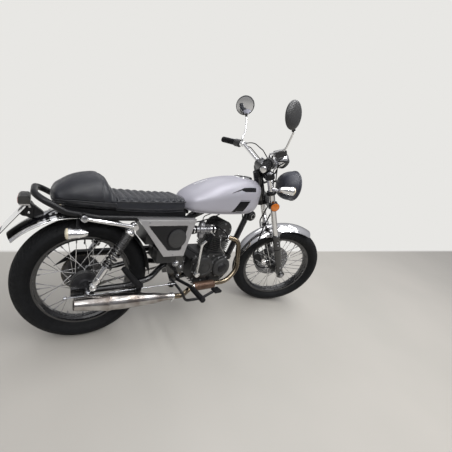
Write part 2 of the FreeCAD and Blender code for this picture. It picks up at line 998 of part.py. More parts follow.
def chain():
    """Closed loop round both sprockets."""
    big = pitch_radius(rear_teeth)
    small = pitch_radius(front_teeth)

    def loop(grow):
        big_r = big + grow
        small_r = small + grow
        line = vec(drive_x, 0, drive_z) - rear_axle
        slope = math.atan2(line.z, line.x)
        spread = math.acos((big_r - small_r) / line.Length)
        up = slope + spread
        down = slope - spread

        def at(centre, radius, angle):
            return centre + vec(radius * math.cos(angle), 0, radius * math.sin(angle))
        front = vec(drive_x, 0, drive_z)
        a = at(rear_axle, big_r, up)
        b = at(front, small_r, up)
        c = at(front, small_r, down)
        d = at(rear_axle, big_r, down)
        return Part.Wire([
            Part.LineSegment(a, b).toShape(),
            Part.Arc(b, at(front, small_r, slope), c).toShape(),
            Part.LineSegment(c, d).toShape(),
            Part.Arc(d, at(rear_axle, big_r, slope + math.pi), a).toShape()])
    band = Part.Face(loop(chain_height / 2)).cut(Part.Face(loop(-chain_height / 2)))
    solid = band.extrude(vec(0, chain_width, 0))
    solid.translate(vec(0, chain_y - chain_width / 2, 0))
    return group([solid])


guard_low_share = 0.35
guard_rear_share = 1.4
guard_knee_share = 0.35
guard_front_share = 3.0
guard_high_share = 2.4
guard_step_share = 3.0
guard_top_share = 2.5


def chain_guard():
    """Bent sheet over the chain's upper run with a pointed tail."""
    outer = chain_y + chain_width + bracket_wall
    top_rear = rear_radius + pitch_radius(rear_teeth) + chain_height
    high = top_rear + chain_height
    low = rear_radius + pitch_radius(rear_teeth) * guard_low_share
    rear = -pitch_radius(rear_teeth) * guard_rear_share
    knee = -pitch_radius(rear_teeth) * guard_knee_share
    front = pivot_x - arm_tube_radius * guard_front_share
    end_high = drive_z + pitch_radius(front_teeth) * guard_high_share
    side = plate([(rear, low), (knee, high), (0, high), (front, end_high),
                  (front, end_high - chain_height * guard_step_share), (0, top_rear - chain_height * guard_top_share),
                  (knee, top_rear - chain_height * guard_step_share)], outer, outer + guard_wall)
    top = plate([(knee, high), (0, high), (front, end_high), (front, end_high - guard_wall),
                 (0, high - guard_wall), (knee, high - guard_wall)],
                chain_y - chain_width / 2, outer)
    return joined([side, top])


# Rear brake and axle

def rear_brake():
    """Backing plate of the drum, its cam lever and the torque stay."""
    inner = rear_flange_y + drum_width + running_gap * 2
    outer = inner + backing_width
    bore = axle_radius + seat_gap
    disc = spin_y([(bore, -outer), (backing_boss_radius, -outer), (backing_dish_radius, -outer + backing_dish),
                   (backing_radius, -outer + backing_width / 2), (backing_radius, -inner), (bore, -inner)])
    arm_y = -outer - brake_arm_wall
    half = brake_arm_width / 2
    cam = rod_y(cam_back, -cam_drop, -outer + overrun, arm_y - cam_reach, cam_radius)
    arm = block(cam_back - brake_arm_length, cam_back + half, arm_y, -outer, -cam_drop - half, -cam_drop + half)
    shape = joined([disc, cam, arm])
    shape.translate(rear_axle)
    return shape


def rear_axle_bar():
    """Axle through the arm ends, with a nut on each side."""
    bar = spin_y([(0, -rear_axle_half), (axle_radius, -rear_axle_half),
                  (axle_radius, rear_axle_half), (0, rear_axle_half)])
    face = arm_half + arm_end_wall / 2 + seat_gap
    nut = spin_y([(axle_radius - nut_overlap, face), (nut_radius, face), (nut_radius, face + nut_width),
                  (axle_radius - nut_overlap, face + nut_width)])
    shape = joined([bar, nut, mirrored(nut)])
    shape.translate(rear_axle)
    return shape


# Frame

def head_tube_span():
    """Ends of the head tube, between the yokes."""
    low = steer_point + steer_axis * (lower_yoke_z + yoke_height + seat_gap)
    high = steer_point + steer_axis * (upper_yoke_z - seat_gap)
    return low, high


def main_frame():
    """Head tube, spine, downtube and pivot plates."""
    low, high = head_tube_span()
    outer = rod(low, high, head_tube_radius)
    inner = rod(low - steer_axis * overrun, high + steer_axis * overrun, stem_radius + running_gap)
    front = steer_point + steer_axis * spine_front_z
    spine = bent_tube([front, vec(spine_rear_x, 0, spine_rear_z), vec(spine_drop_x, 0, spine_drop_z),
                       vec(pivot_x, 0, spine_foot_z)], spine_radius, frame_bend)
    top = steer_point + steer_axis * downtube_top_z
    down = rod(top, vec(downtube_foot_x, 0, downtube_foot_z), downtube_radius)
    cross = rod_y(pivot_x, spine_foot_z, -pivot_plate_y - pivot_plate_wall,
                  pivot_plate_y + pivot_plate_wall, spine_radius)
    cut = pivot_plate_cut
    side = plate([(pivot_plate_rear, pivot_z - arm_tube_radius), (pivot_plate_rear + cut, pivot_plate_high - cut),
                  (pivot_x + pivot_plate_top, pivot_plate_high), (pivot_plate_front, pivot_z + pivot_plate_brow),
                  (pivot_plate_front, pivot_z - cut), (pivot_x + cut * 2, pivot_plate_low),
                  (pivot_x - cut, pivot_plate_low)],
                 pivot_plate_y, pivot_plate_y + pivot_plate_wall)
    tubes = joined([outer, spine, down, cross, side, mirrored(side)])
    return tubes.cut(inner)


rail_brace_share = 0.8


def seat_rails():
    """Seat rails that end in the rear hoop."""
    def side(sign):
        return [vec(rail_front_x, sign * rail_front_y, rail_front_z),
                vec(rail_mid_x, sign * rail_mid_y, rail_mid_z),
                vec(rail_rear_x, sign * rail_half, rail_rear_z),
                vec(hoop_foot_x, sign * rail_half, hoop_foot_z),
                vec(hoop_end_x, sign * hoop_half, hoop_end_z)]
    route = side(1) + side(-1)[::-1]
    loop = bent_tube(route, rail_radius, hoop_bend)
    brace = rod_y(rail_rear_x, rail_rear_z, -rail_half, rail_half, rail_radius * rail_brace_share)
    front = rod_y(rail_mid_x, rail_mid_z, -rail_mid_y, rail_mid_y, rail_radius * rail_brace_share)
    return joined([loop, brace, front])


def swingarm():
    """Pivot tube, two bent arms and their axle ends."""
    tube = rod_y(pivot_x, pivot_z, -arm_tube_half, arm_tube_half, arm_tube_radius)
    parts = [tube]
    for sign in (-1, 1):
        neck_y = arm_tube_half - arm_radius - overrun
        neck_z = pivot_z - (pivot_x - arm_neck_x) * arm_neck_slope_share
        arm = bent_tube([vec(pivot_x, sign * neck_y, pivot_z), vec(arm_neck_x, sign * neck_y, neck_z),
                         vec(arm_bend_x, sign * arm_half, arm_bend_z),
                         vec(arm_level_x, sign * arm_half, arm_level_z),
                         vec(arm_end_x + arm_end_length - overrun, sign * arm_half, rear_radius)],
                        arm_radius, frame_bend)
        end = block(arm_end_x, arm_end_x + arm_end_length, sign * (arm_half - arm_end_wall / 2),
                    sign * (arm_half + arm_end_wall / 2), rear_radius - arm_end_height / 2,
                    rear_radius + arm_end_height / 2)
        lug = block(shock_foot_x - shock_eye_radius, shock_foot_x + shock_eye_radius,
                    sign * (arm_half + arm_end_wall / 2), sign * arm_half,
                    rear_radius, shock_foot_z + shock_eye_radius)
        stud_end = shock_y + shock_eye_width / 2 + nut_width
        stud = rod_y(shock_foot_x, shock_foot_z, sign * arm_half, sign * stud_end, shock_stud_radius)
        parts += [arm, end, lug, stud]
    shape = joined(parts)
    hole = rod_y(0, rear_radius, -rear_axle_half, rear_axle_half, axle_radius + seat_gap)
    return shape.cut(hole)


def shock_line():
    foot = vec(shock_foot_x, shock_y, shock_foot_z)
    top = vec(shock_top_x, shock_y, shock_top_z)
    along = top - foot
    length = along.Length
    along.normalize()
    return foot, top, along, length


def shocks():
    """Damper with its eyes and lower sleeve, on each side."""
    foot, top, along, length = shock_line()
    low = shock_y - shock_eye_width / 2
    high = shock_y + shock_eye_width / 2
    eyes = [rod_y(place.x, place.z, low, high, shock_eye_radius) for place in (foot, top)]
    sleeve = rod(foot + along * sleeve_start, foot + along * (sleeve_start + sleeve_length), sleeve_radius)
    neck = rod(foot, top, shock_neck_radius)
    head_top = top - along * (shock_eye_radius * shock_neck_share)
    damper = rod(foot + along * sleeve_start, head_top, damper_radius)
    head = rod(head_top - along * shock_head_length, head_top, shock_head_radius)
    shape = joined(eyes + [neck, sleeve, damper, head])
    bore = shock_stud_radius + seat_gap
    for place in (foot, top):
        shape = shape.cut(rod_y(place.x, place.z, low - overrun, high + overrun, bore))
    return both_sides(shape)


coil_shares = (0.15, 0.3, 0.7, 0.85)


def shock_springs():
    """Spring coils as rings on a thin sleeve round each damper."""
    foot, top, along, length = shock_line()
    inner = damper_radius + seat_gap
    core = spring_radius - spring_depth
    spring_start = sleeve_start + sleeve_length + seat_gap
    spring_end = length - shock_head_length - shock_eye_radius * shock_neck_share - seat_gap
    pitch = (spring_end - spring_start) / spring_turns
    points = [(inner, 0), (core, 0)]
    for index in range(spring_turns):
        base = index * pitch
        radii = (core, spring_radius, spring_radius, core)
        points += [(radius, base + pitch * share) for radius, share in zip(radii, coil_shares)]
    points += [(core, spring_end - spring_start), (inner, spring_end - spring_start)]
    places = []
    for r, a in points:
        if (r, a) not in places:
            places.append((r, a))
    shape = spin(places, foot + along * spring_start, along)
    return both_sides(shape)


def side_bars():
    """Chrome bar on each side, from a block on the rail to the shock's upper eye."""
    inner = rail_half + rail_radius + seat_gap
    eye_side = shock_y + shock_eye_width / 2 + seat_gap
    bar_y = eye_side + bar_radius
    mount = rod_y(bar_rear_x, bar_rear_z, inner, bar_y + bar_radius, bar_block_radius)
    bar = rod(vec(bar_rear_x, bar_y, bar_rear_z), vec(shock_top_x, bar_y, shock_top_z), bar_radius)
    stud = rod_y(shock_top_x, shock_top_z, rail_half, bar_y, shock_stud_radius)
    head = rod_y(shock_top_x, shock_top_z, eye_side, bar_y + bar_cap_reach, bar_block_radius)
    return both_sides(joined([mount, bar, stud, head]))


# Seat, hump and tank
# Rows of the tables: place along the length, half width, underside, widest height, top

seat_shares = [
    (0.00, 0.90, 0.24, 0.60, 1.00),
    (0.25, 0.99, 0.18, 0.55, 0.99),
    (0.50, 0.95, 0.06, 0.50, 0.97),
    (0.75, 0.87, 0.00, 0.50, 0.96),
    (0.92, 0.78, 0.00, 0.50, 1.00),
    (1.00, 0.68, 0.00, 0.50, 1.02),
]
hump_shares = [
    (0.00, 0.42, 0.16, 0.24, 0.33),
    (0.03, 0.62, 0.12, 0.26, 0.46),
    (0.12, 0.82, 0.09, 0.28, 0.64),
    (0.28, 0.95, 0.06, 0.26, 0.82),
    (0.46, 1.00, 0.04, 0.24, 0.94),
    (0.64, 1.00, 0.02, 0.22, 1.00),
    (0.74, 1.00, 0.01, 0.20, 0.98),
    (0.84, 0.99, 0.00, 0.18, 0.80),
    (0.93, 0.98, 0.00, 0.16, 0.58),
    (1.00, 0.97, 0.00, 0.14, 0.44),
]
tank_shares = [
    (0.000, 0.46, 0.08, 0.22, 0.36),
    (0.035, 0.64, 0.06, 0.26, 0.44),
    (0.110, 0.82, 0.03, 0.30, 0.57),
    (0.240, 0.95, 0.01, 0.36, 0.74),
    (0.400, 1.00, 0.00, 0.40, 0.89),
    (0.580, 0.99, 0.00, 0.42, 0.98),
    (0.740, 0.93, 0.01, 0.45, 1.00),
    (0.860, 0.80, 0.06, 0.50, 0.97),
    (0.940, 0.60, 0.16, 0.55, 0.90),
    (0.985, 0.36, 0.32, 0.60, 0.80),
    (1.000, 0.20, 0.42, 0.60, 0.74),
]
seat_power = 0.42
hump_power = 0.72
tank_power = 0.78


def lofted(rows, x_from, x_to, half, low, height, power):
    """Smooth body through the sections of a table of shares."""
    wires = []
    for along, wide, under, middle, top in rows:
        wires.append(oval(x_from + (x_to - x_from) * along, half * wide, low + height * under,
                          low + height * middle, low + height * top, power))
    return Part.makeLoft(wires, True, False)


def seat_hump():
    return lofted(hump_shares, hump_rear_x, hump_front_x, hump_half, hump_low, hump_height, hump_power)


def seat_pad():
    """Rider's part of the seat, ahead of the hump."""
    body = lofted(seat_shares, seat_rear_x, seat_front_x, seat_half, seat_low, seat_height, seat_power)
    keep = block(hump_front_x + hump_gap, seat_front_x + overrun, -seat_half * 2, seat_half * 2,
                 seat_low - seat_height, seat_low + seat_height * 2)
    return body.common(keep)


def tank_front_x():
    """The tank's nose keeps clear of the steering axis at its own height."""
    rise = tank_low + tank_nose_rise - steer_point.z
    return steer_point.x - rise * math.tan(rake) - tank_nose_gap


def fuel_tank():
    """Tank with the tunnel for the spine cut out of its floor."""
    body = lofted(tank_shares, tank_rear_x, tank_front_x(), tank_half, tank_low, tank_height, tank_power)
    front = steer_point + steer_axis * spine_front_z
    rise = spine_radius + tank_tunnel_gap
    tunnel = plate([(spine_drop_x - overrun, 0), (spine_drop_x - overrun, spine_rear_z + rise),
                    (spine_rear_x, spine_rear_z + rise), (front.x, front.z + rise), (front.x, 0)],
                   -tank_tunnel_half, tank_tunnel_half)
    body = body.cut(tunnel)
    floor = tank_low + tank_height
    middle = vec(tank_front_x() - cap_back, 0, floor)
    tall = axis_z * cap_height
    seat = rod(middle - tall * 2, middle + tall * 2, cap_radius + seat_gap)
    return body.cut(seat)


cap_tall_share = 2.4


def fuel_cap():
    """Round cap let into the tank's top."""
    foot = vec(tank_front_x() - cap_back, 0, tank_low + tank_height - cap_height * 2 + seat_gap)
    return rod(foot, foot + axis_z * (cap_height * cap_tall_share), cap_radius)


# Side panels and air box

panel_corner_shares = (1.6, 1.4, 0.7, 0.6)


def panel_outline(inset):
    """Corners of the side panel, drawn in by an inset."""
    back, front, low_front, low_back = [inset * share for share in panel_corner_shares]
    top = panel_top_z - inset
    low = panel_low_z + inset
    return [(panel_rear_x + back, top), (panel_front_x - front, top),
            (panel_low_front_x - low_front, low), (panel_low_rear_x + low_back, low)]


def side_panels():
    """Four-cornered panel on each side, with a stepped recess."""
    outer = panel_y + panel_bulge
    base = plate(panel_outline(0), panel_y, outer)
    recess = plate(panel_outline(panel_border), outer - panel_wall, outer + overrun)
    return both_sides(base.cut(recess))


def panel_insets():
    """Dark inset with a round cover in each side panel."""
    outer = panel_y + panel_bulge - panel_wall + seat_gap
    outline = panel_outline(panel_border + seat_gap)
    base = plate(outline, outer, outer + inset_wall)
    disc = rod_y(panel_disc_x, panel_disc_z, outer, outer + panel_disc_wall, panel_disc_radius)
    disc = disc.common(plate(outline, outer, outer + panel_disc_wall * 2))
    return both_sides(joined([base, disc]))


def air_box():
    """Closed box between the side panels."""
    return block(air_box_rear_x, air_box_front_x, -air_box_half, air_box_half, air_box_low_z,
                 rail_mid_z - rail_radius * 2)


def rear_fender():
    shape = arched_shell(fender_radius, fender_half, fender_edge_drop, fender_wall,
                         fender_start_deg, fender_end_deg)
    shape.translate(rear_axle)
    return shape


def inner_mudguard():
    shape = arched_shell(guard_radius, guard_half, guard_drop, guard_wall, guard_start_deg, guard_end_deg)
    shape.translate(rear_axle)
    return shape


# Tail

def plate_line():
    """Direction down the number plate and its outward normal."""
    down = vec(plate_foot_x - plate_top_x, 0, plate_foot_z - plate_top_z)
    length = down.Length
    down.normalize()
    return down, length, vec(down.z, 0, -down.x)


def slab(start, down, out, length, half, wall):
    """Flat plate that hangs down from its top edge, centred across the bike."""
    corners = [start + vec(0, -half, 0), start + vec(0, half, 0), start + vec(0, half, 0) + down * length,
               start + vec(0, -half, 0) + down * length]
    face = Part.Face(Part.makePolygon(corners + [corners[0]]))
    return face.extrude(out * wall)


def number_plate():
    down, length, out = plate_line()
    start = vec(plate_top_x, 0, plate_top_z) + out * (bracket_wall + seat_gap)
    return slab(start, down, out, length, plate_half, plate_wall)


bracket_foot_share = 0.8
bracket_back_share = 0.4
bracket_low_share = 0.6
bracket_half_share = 0.8


def plate_bracket():
    """Plate holder with the lamp's arm."""
    down, length, out = plate_line()
    start = vec(plate_top_x, 0, plate_top_z)
    half = plate_half * bracket_half_share
    back = slab(start + down * bracket_wall, down, out, length + bracket_half, half, bracket_wall)
    top = lamp_low_z - seat_gap
    foot_z = rear_radius + fender_radius * bracket_foot_share
    upper = start + out * (bracket_wall / 2)
    lower = upper + down * (length * bracket_low_share)
    arm = plate([(upper.x, upper.z), (lamp_front_x, top), (lamp_front_x + bracket_foot, foot_z),
                 (lamp_front_x - bracket_foot * bracket_back_share, foot_z), (lower.x, lower.z)],
                -bracket_half, bracket_half)
    under = rod_y(0, rear_radius, -fender_half, fender_half, fender_radius + seat_gap)
    return joined([back, arm.cut(under)])


def tail_lamp():
    return block(lamp_rear_x, lamp_front_x, -lamp_half, lamp_half, lamp_low_z, lamp_high_z)


# Rows: radius and place along a lamp, from its lens to its nose
blinker_shares = [(0.5, 1 / 33), (0.95, 2 / 11), (1.0, 10 / 33), (1.0, 0.7), (0.7, 0.88)]


def blinker(place, forward, stem_end):
    """Bullet-shaped lamp on its stem."""
    body = [(blinker_radius * share, blinker_length * along) for share, along in blinker_shares]
    shape = spin([(0, 0)] + body + [(0, blinker_length)], place - forward * (blinker_length / 2),
                 vec(forward.x, forward.y, forward.z))
    stem = rod(place, stem_end, blinker_stem_radius)
    return joined([shape, stem])


def rear_indicators():
    place = vec(blinker_rear_x, blinker_rear_y, blinker_rear_z)
    under_bar = bar_block_radius + seat_gap + blinker_stem_radius
    end = vec(blinker_rear_x + blinker_stem_lean, rail_half, bar_rear_z - under_bar)
    return both_sides(blinker(place, axis_x, end))


# Engine

shaft_share = 0.6


def crankcase():
    """Cases of the engine, with the gap on the left in which the chain runs."""
    corner = case_corner
    body = plate([(case_rear_x, case_low_z + corner), (case_rear_x + corner, case_low_z),
                  (case_front_x - corner * 2, case_low_z), (case_front_x, case_low_z + corner * 2),
                  (case_front_x, case_high_z - case_brow), (case_front_x - corner, case_high_z),
                  (case_rear_x + corner, case_high_z), (case_rear_x, case_high_z - corner)],
                 -case_half, case_half)
    room = pitch_radius(front_teeth) + chain_height
    gap = joined([rod_y(drive_x, drive_z, drive_gap_y, case_half + overrun, room),
                  block(case_rear_x - overrun, drive_x, drive_gap_y, case_half + overrun,
                        drive_z - room, drive_z + room)])
    tip = pitch_radius(front_teeth) - chain_height / 2 - tooth_gap
    sprocket = rod_y(drive_x, drive_z, drive_gap_y - overrun, chain_y + sprocket_wall / 2, tip)
    shaft = rod_y(drive_x, drive_z, 0, chain_y + sprocket_wall / 2, tip * shaft_share)
    return joined([body.cut(gap), sprocket, shaft])


stator_cover_share = 0.8
left_cover_share = 1.15


def engine_covers():
    """Round covers on both sides of the cases, and the sprocket's cover on the left."""
    inner = case_half + seat_gap
    right = joined([rod_y(clutch_x, clutch_z, -inner, -inner - cover_wall, clutch_radius),
                    rod_y(stator_x, stator_z, -inner, -inner - cover_wall * stator_cover_share, stator_radius)])
    left_x = stator_x - cover_wall / 2
    low = chain_y + chain_width / 2 + bracket_wall
    high = low + bracket_wall * 2
    room = pitch_radius(front_teeth) + chain_height * 2
    left = rod_y(left_x, stator_z, inner, inner + cover_wall * stator_cover_share,
                 stator_radius * left_cover_share)
    lid = joined([rod_y(drive_x, drive_z, low, high, room),
                  block(drive_x, left_x, low, high, drive_z - room, drive_z + room)])
    return group([right, joined([left, lid])])


def cylinder_frame(shape):
    """Stand a piece drawn along +Z on the crankcase, tilted forward."""
    shape.rotate(origin, axis_y, cylinder_tilt_deg)
    shape.translate(vec(crank_x, 0, crank_z))
    return shape


valve_place_share = 0.6
valve_rise_share = 0.55


def engine_cylinder():
    """Finned barrel and head."""
    tall = fin_count * fin_pitch
    base = cylinder_base + fin_base_gap
    parts = [Part.makeCylinder(cylinder_core, tall + head_height, vec(0, 0, base))]
    for index in range(fin_count):
        z = base + fin_pitch * index + fin_pitch / 2
        parts.append(block(-cylinder_half, cylinder_half, -cylinder_half, cylinder_half, z, z + fin_wall))
    head = block(-head_half, head_half, -head_half, head_half, base + tall, base + tall + head_height)
    parts.append(head)
    reach = head_half + valve_cap_length
    high = base + tall + head_height * valve_rise_share
    for x in (-head_half * valve_place_share, head_half * valve_place_share):
        parts.append(rod(vec(x, -reach, high), vec(x, reach, high), valve_cap_radius))
    shape = cylinder_frame(joined(parts))
    return shape.cut(block(case_rear_x, case_front_x, -case_half, case_half, 0, case_high_z + seat_gap))


carb_bowl_share = 0.8


def carburettor():
    """Carburettor body with its float bowl and dome, between the head and the air box."""
    body = rod(vec(carb_rear_x, carb_y, carb_z), vec(carb_front_x, carb_y, carb_z), carb_radius)
    middle = vec((carb_rear_x + carb_front_x) / 2, carb_y, carb_z)
    bowl = rod(middle - axis_z * carb_bowl_height, middle + axis_z * carb_bowl_height,
               carb_radius * carb_bowl_share)
    head_low = cylinder_base + fin_base_gap + fin_count * fin_pitch
    stub_z = head_low + carb_stub_radius + seat_gap
    stub = cylinder_frame(rod(vec(-head_half, carb_y, stub_z), vec(-head_half - carb_stub_length, carb_y, stub_z),
                              carb_stub_radius))
    boot = rod(vec(air_box_front_x, carb_y, carb_z), vec(carb_rear_x + overrun, carb_y, carb_z),
               carb_stub_radius)
    return joined([body, bowl, stub, boot])


def kick_starter():
    """Kick lever on its shaft, with the folding foot piece."""
    y_in = -(case_half + cover_wall + seat_gap * 2)
    boss = rod_y(kick_x, kick_z, y_in - kick_boss_length, y_in, kick_boss_radius)
    arm = bent_tube([vec(kick_x, y_in - kick_arm_y, kick_z), vec(kick_mid_x, kick_mid_y, kick_mid_z),
                     vec(kick_top_x, kick_top_y, kick_top_z)], kick_radius, kick_bend)
    return joined([boss, arm])


# Exhaust

def header_pipe():
    """Pipe from the head, round the engine's front and back along the right side."""
    start, along, length = muffler_line()
    route = [vec(port_x, port_y, port_z), vec(pipe_top_x, pipe_top_y, pipe_top_z),
             vec(pipe_knee_x, pipe_knee_y, pipe_knee_z), vec(pipe_low_x, pipe_low_y, pipe_low_z),
             vec(box_rear_x - box_radius, box_y - box_swing, box_z),
             start - along * muffler_lead, start + along * muffler_socket]
    pipe = bent_tube(route, pipe_radius, pipe_bend)
    box = rod(vec(box_front_x, box_y + box_front_in, box_z - box_front_drop),
              vec(box_rear_x, box_y - box_rear_out, box_z), box_radius)
    return joined([pipe, box])


def muffler_line():
    """Start, direction and length of the silencer's axis."""
    start = vec(muffler_front_x, muffler_front_y, muffler_front_z)
    along = vec(muffler_rear_x, muffler_rear_y, muffler_rear_z) - start
    length = along.Length
    along.normalize()
    return start, along, length


def muffler():
    """Silencer: a long cone, a stepped shroud and an open tail."""
    start, along, length = muffler_line()
    end = start + along * length
    cone = length * muffler_cone_share
    step = length * muffler_step_share
    collar = pipe_radius + muffler_wall
    ring = muffler_radius + muffler_step
    body = spin([(0, 0), (collar, 0), (collar + muffler_wall_taper, length * muffler_collar_share),
                 (muffler_radius * muffler_waist_share, cone * muffler_waist_place_share), (muffler_radius, step),
                 (ring, step), (ring, step + muffler_step_length), (muffler_tail_radius, length), (0, length)],
                start, along)
    hole = rod(end - along * tail_hole_depth, end + along * overrun, tail_hole_radius)
    socket = rod(start - along * overrun, start + along * (muffler_socket + seat_gap), pipe_radius + seat_gap)
    return body.cut(hole).cut(socket)


# Foot controls

def rider_pegs():
    """Rubber pegs on brackets from the lower plates."""
    peg = rod_y(peg_x, peg_z, peg_inner_y, peg_outer_y, peg_radius)
    face = pivot_plate_y + pivot_plate_wall + seat_gap
    arm = bent_tube([vec(pivot_x + pivot_plate_top, face, pivot_plate_low + peg_bracket_radius),
                     vec(peg_x - peg_arm_lean, peg_inner_y - peg_arm_length, peg_z),
                     vec(peg_x, peg_inner_y + peg_arm_depth, peg_z)],
                    peg_bracket_radius, peg_bend)
    inside = block(peg_x - wheelbase, peg_x + wheelbase, 0, face, 0, wheelbase)
    return both_sides(joined([peg, arm.cut(inside)]))


def passenger_pegs():
    """Folded pegs on the swingarm's sides."""
    hinge = vec(rest_x, rest_y, rest_z + rest_hinge_rise)
    knuckle = hinge + vec(-rest_link_back, 0, rest_link_rise)
    thin = rest_radius * rest_arm_share
    peg = rod(knuckle + vec(rest_overlap, 0, -rest_overlap_drop), vec(rest_tip_x, rest_y + rest_splay, rest_tip_z),
              rest_radius)
    arm = rod_y(rest_x, hinge.z, arm_half + arm_radius + seat_gap, rest_y + rest_arm_end, thin)
    link = rod(hinge, knuckle, thin)
    return both_sides(joined([peg, arm, link]))


def brake_pedal():
    """Rear brake pedal on the right, round the outside of the exhaust pipe."""
    inner = pivot_plate_y + pivot_plate_wall + seat_gap
    return bent_tube([vec(pedal_x, -inner, pedal_pivot_z), vec(pedal_x, -pedal_y, pedal_pivot_z),
                      vec(pedal_knee_x, -pedal_y, pedal_z), vec(pedal_mid_x, -pedal_y, pedal_z),
                      vec(pedal_toe_x, -pedal_y - pedal_radius, pedal_toe_z)], pedal_radius, pedal_bend)


def gear_lever():
    """Gear lever on the left."""
    shaft_y = case_half + seat_gap
    toe = vec(lever_x + lever_length, peg_inner_y, lever_z + lever_toe_rise)
    return bent_tube([vec(lever_x, shaft_y, lever_z), vec(lever_x, peg_inner_y - lever_crank, lever_z),
                      toe, toe + vec(lever_toe_lead, lever_toe_length, lever_toe_lead)],
                     pedal_radius, lever_bend)


def foot_pegs():
    return group([rider_pegs(), passenger_pegs()])


def foot_levers():
    return group([brake_pedal(), gear_lever()])


def horn():
    """Horn on a stub beside the downtube."""
    body = rod_y(horn_x, horn_z, horn_y, horn_y - horn_depth, horn_radius)
    stub = rod_y(horn_stub_x, horn_z, horn_y, -downtube_radius, horn_stub_radius)
    return joined([body, stub])


# Front end, in the fork's frame

def fork_tubes():
    """Stanchions on both sides."""
    bar = rod(vec(0, fork_half, slider_top - seal_height), vec(0, fork_half, stanchion_top), stanchion_radius)
    return both_sides(bar)


def fork_sliders():
    """Lower legs with their seals and axle lugs."""
    leg = rod(vec(0, fork_half, slider_bottom), vec(0, fork_half, slider_top), slider_radius)
    seal = rod(vec(0, fork_half, slider_top - seal_height), vec(0, fork_half, slider_top), seal_radius)
    lug = rod_y(0, 0, fork_half - slider_radius, fork_half + slider_radius, axle_lug_radius)
    shape = joined([leg, seal, lug])
    shape = shape.cut(rod_y(0, 0, 0, front_axle_half + overrun, axle_radius + seat_gap))
    pocket = rod(vec(0, fork_half, slider_top - seal_height - seat_gap),
                 vec(0, fork_half, slider_top + overrun), stanchion_radius + seat_gap)
    return both_sides(shape.cut(pocket))


def yokes():
    """Upper and lower yoke with the steering stem."""
    parts = []
    for z in (lower_yoke_z, upper_yoke_z):
        bar = block(-yoke_depth / 2, yoke_depth / 2, -fork_half, fork_half, z, z + yoke_height)
        neck = block(-fork_offset, 0, -yoke_depth / 2, yoke_depth / 2, z, z + yoke_height)
        boss = rod(vec(-fork_offset, 0, z), vec(-fork_offset, 0, z + yoke_height), yoke_boss_radius)
        ends = [rod(vec(0, sign * fork_half, z), vec(0, sign * fork_half, z + yoke_height),
                    yoke_end_radius) for sign in (-1, 1)]
        parts += [bar, neck, boss] + ends
    stem = rod(vec(-fork_offset, 0, lower_yoke_z), vec(-fork_offset, 0, upper_yoke_z + yoke_height), stem_radius)
    clamps = []
    for sign in (-1, 1):
        inner = sign * (clamp_y - clamp_half)
        outer = sign * (clamp_y + clamp_half)
        clamps.append(rod_y(bar_clamp_x, bar_clamp_z, inner, outer, bar_tube_radius + clamp_wall))
        clamps.append(block(-post_half, post_half, inner + sign * post_inset, outer - sign * post_inset,
                            upper_yoke_z, bar_clamp_z))
    shape = joined(parts + [stem] + clamps)
    for sign in (-1, 1):
        shape = shape.cut(rod(vec(0, sign * fork_half, lower_yoke_z - overrun),
                              vec(0, sign * fork_half, upper_yoke_z + yoke_height + overrun),
                              stanchion_radius + seat_gap))
    return shape.cut(rod_y(bar_clamp_x, bar_clamp_z, -bar_clamp_y, bar_clamp_y, bar_tube_radius + seat_gap))


def bar_route():
    right = [vec(bar_end_x, bar_end_y, bar_end_z), vec(bar_rise_x, bar_rise_y, bar_rise_z),
             vec(bar_clamp_x, bar_clamp_y, bar_clamp_z)]
    return right + [vec(p.x, -p.y, p.z) for p in reversed(right)]


def handlebar():
    """Bar with the stalks of the mirrors."""
    return group([bent_tube(bar_route(), bar_tube_radius, bar_bend), mirror_stalks()])


def grip_line():
    end = vec(bar_end_x, bar_end_y, bar_end_z)
    inward = vec(bar_rise_x, bar_rise_y, bar_rise_z) - end
    inward.normalize()
    return end, inward


def grips():
    """Grips and switch housings round the bar's ends."""
    end, inward = grip_line()
    grip = rod(end + inward * grip_inset, end + inward * grip_length, grip_radius)
    pod = rod(end + inward * (grip_length + pod_gap), end + inward * (grip_length + pod_length), pod_radius)
    bore = rod(end - inward * overrun, end + inward * (grip_length + pod_length + overrun),
               bar_tube_radius + seat_gap)
    return both_sides(group([grip.cut(bore), pod.cut(bore)]))


def hand_levers():
    """Brake and clutch levers ahead of the grips."""
    end, inward = grip_line()
    forward = vec(1, 0, -lever_dip_share)
    forward.normalize()
    clear = bar_tube_radius + seat_gap + lever_radius
    root = end + inward * (grip_length + pod_length + lever_root) + forward * clear
    knee = root + forward * lever_knee - inward * lever_knee_out
    tip = end + inward * lever_tip + forward * lever_gap
    return both_sides(bent_tube([root, knee, tip], lever_radius, lever_turn))


def mirror_stalks():
    """Bent stalks from the bar to the mirrors."""
    end, inward = grip_line()
    foot = end + inward * (grip_length + pod_length + mirror_foot)
    foot = foot + axis_z * (bar_tube_radius + mirror_foot_rise)
    top = mirror_head_z - mirror_radius - mirror_boss - mirror_stalk_radius / 2
    stalk = bent_tube([foot, foot + axis_z * mirror_foot, vec(mirror_knee_x, mirror_knee_y, mirror_knee_z),
                       vec(mirror_head_x, mirror_head_y, top)], mirror_stalk_radius, mirror_bend)
    return both_sides(stalk)


mirror_right_shares = (0.3, 0.95)


def mirror_normal(side):
    """Direction in which a mirror's glass faces."""
    if side > 0:
        turn = math.radians(mirror_turn_deg)
        return vec(-math.cos(turn), -math.sin(turn), 0)
    return vec(*mirror_right_shares, 0)


# Rows: radius and depth of a mirror's shell
mirror_shares = [(0.9, 0.0), (1.0, 3 / 17), (0.98, 7 / 17), (0.7, 0.85)]


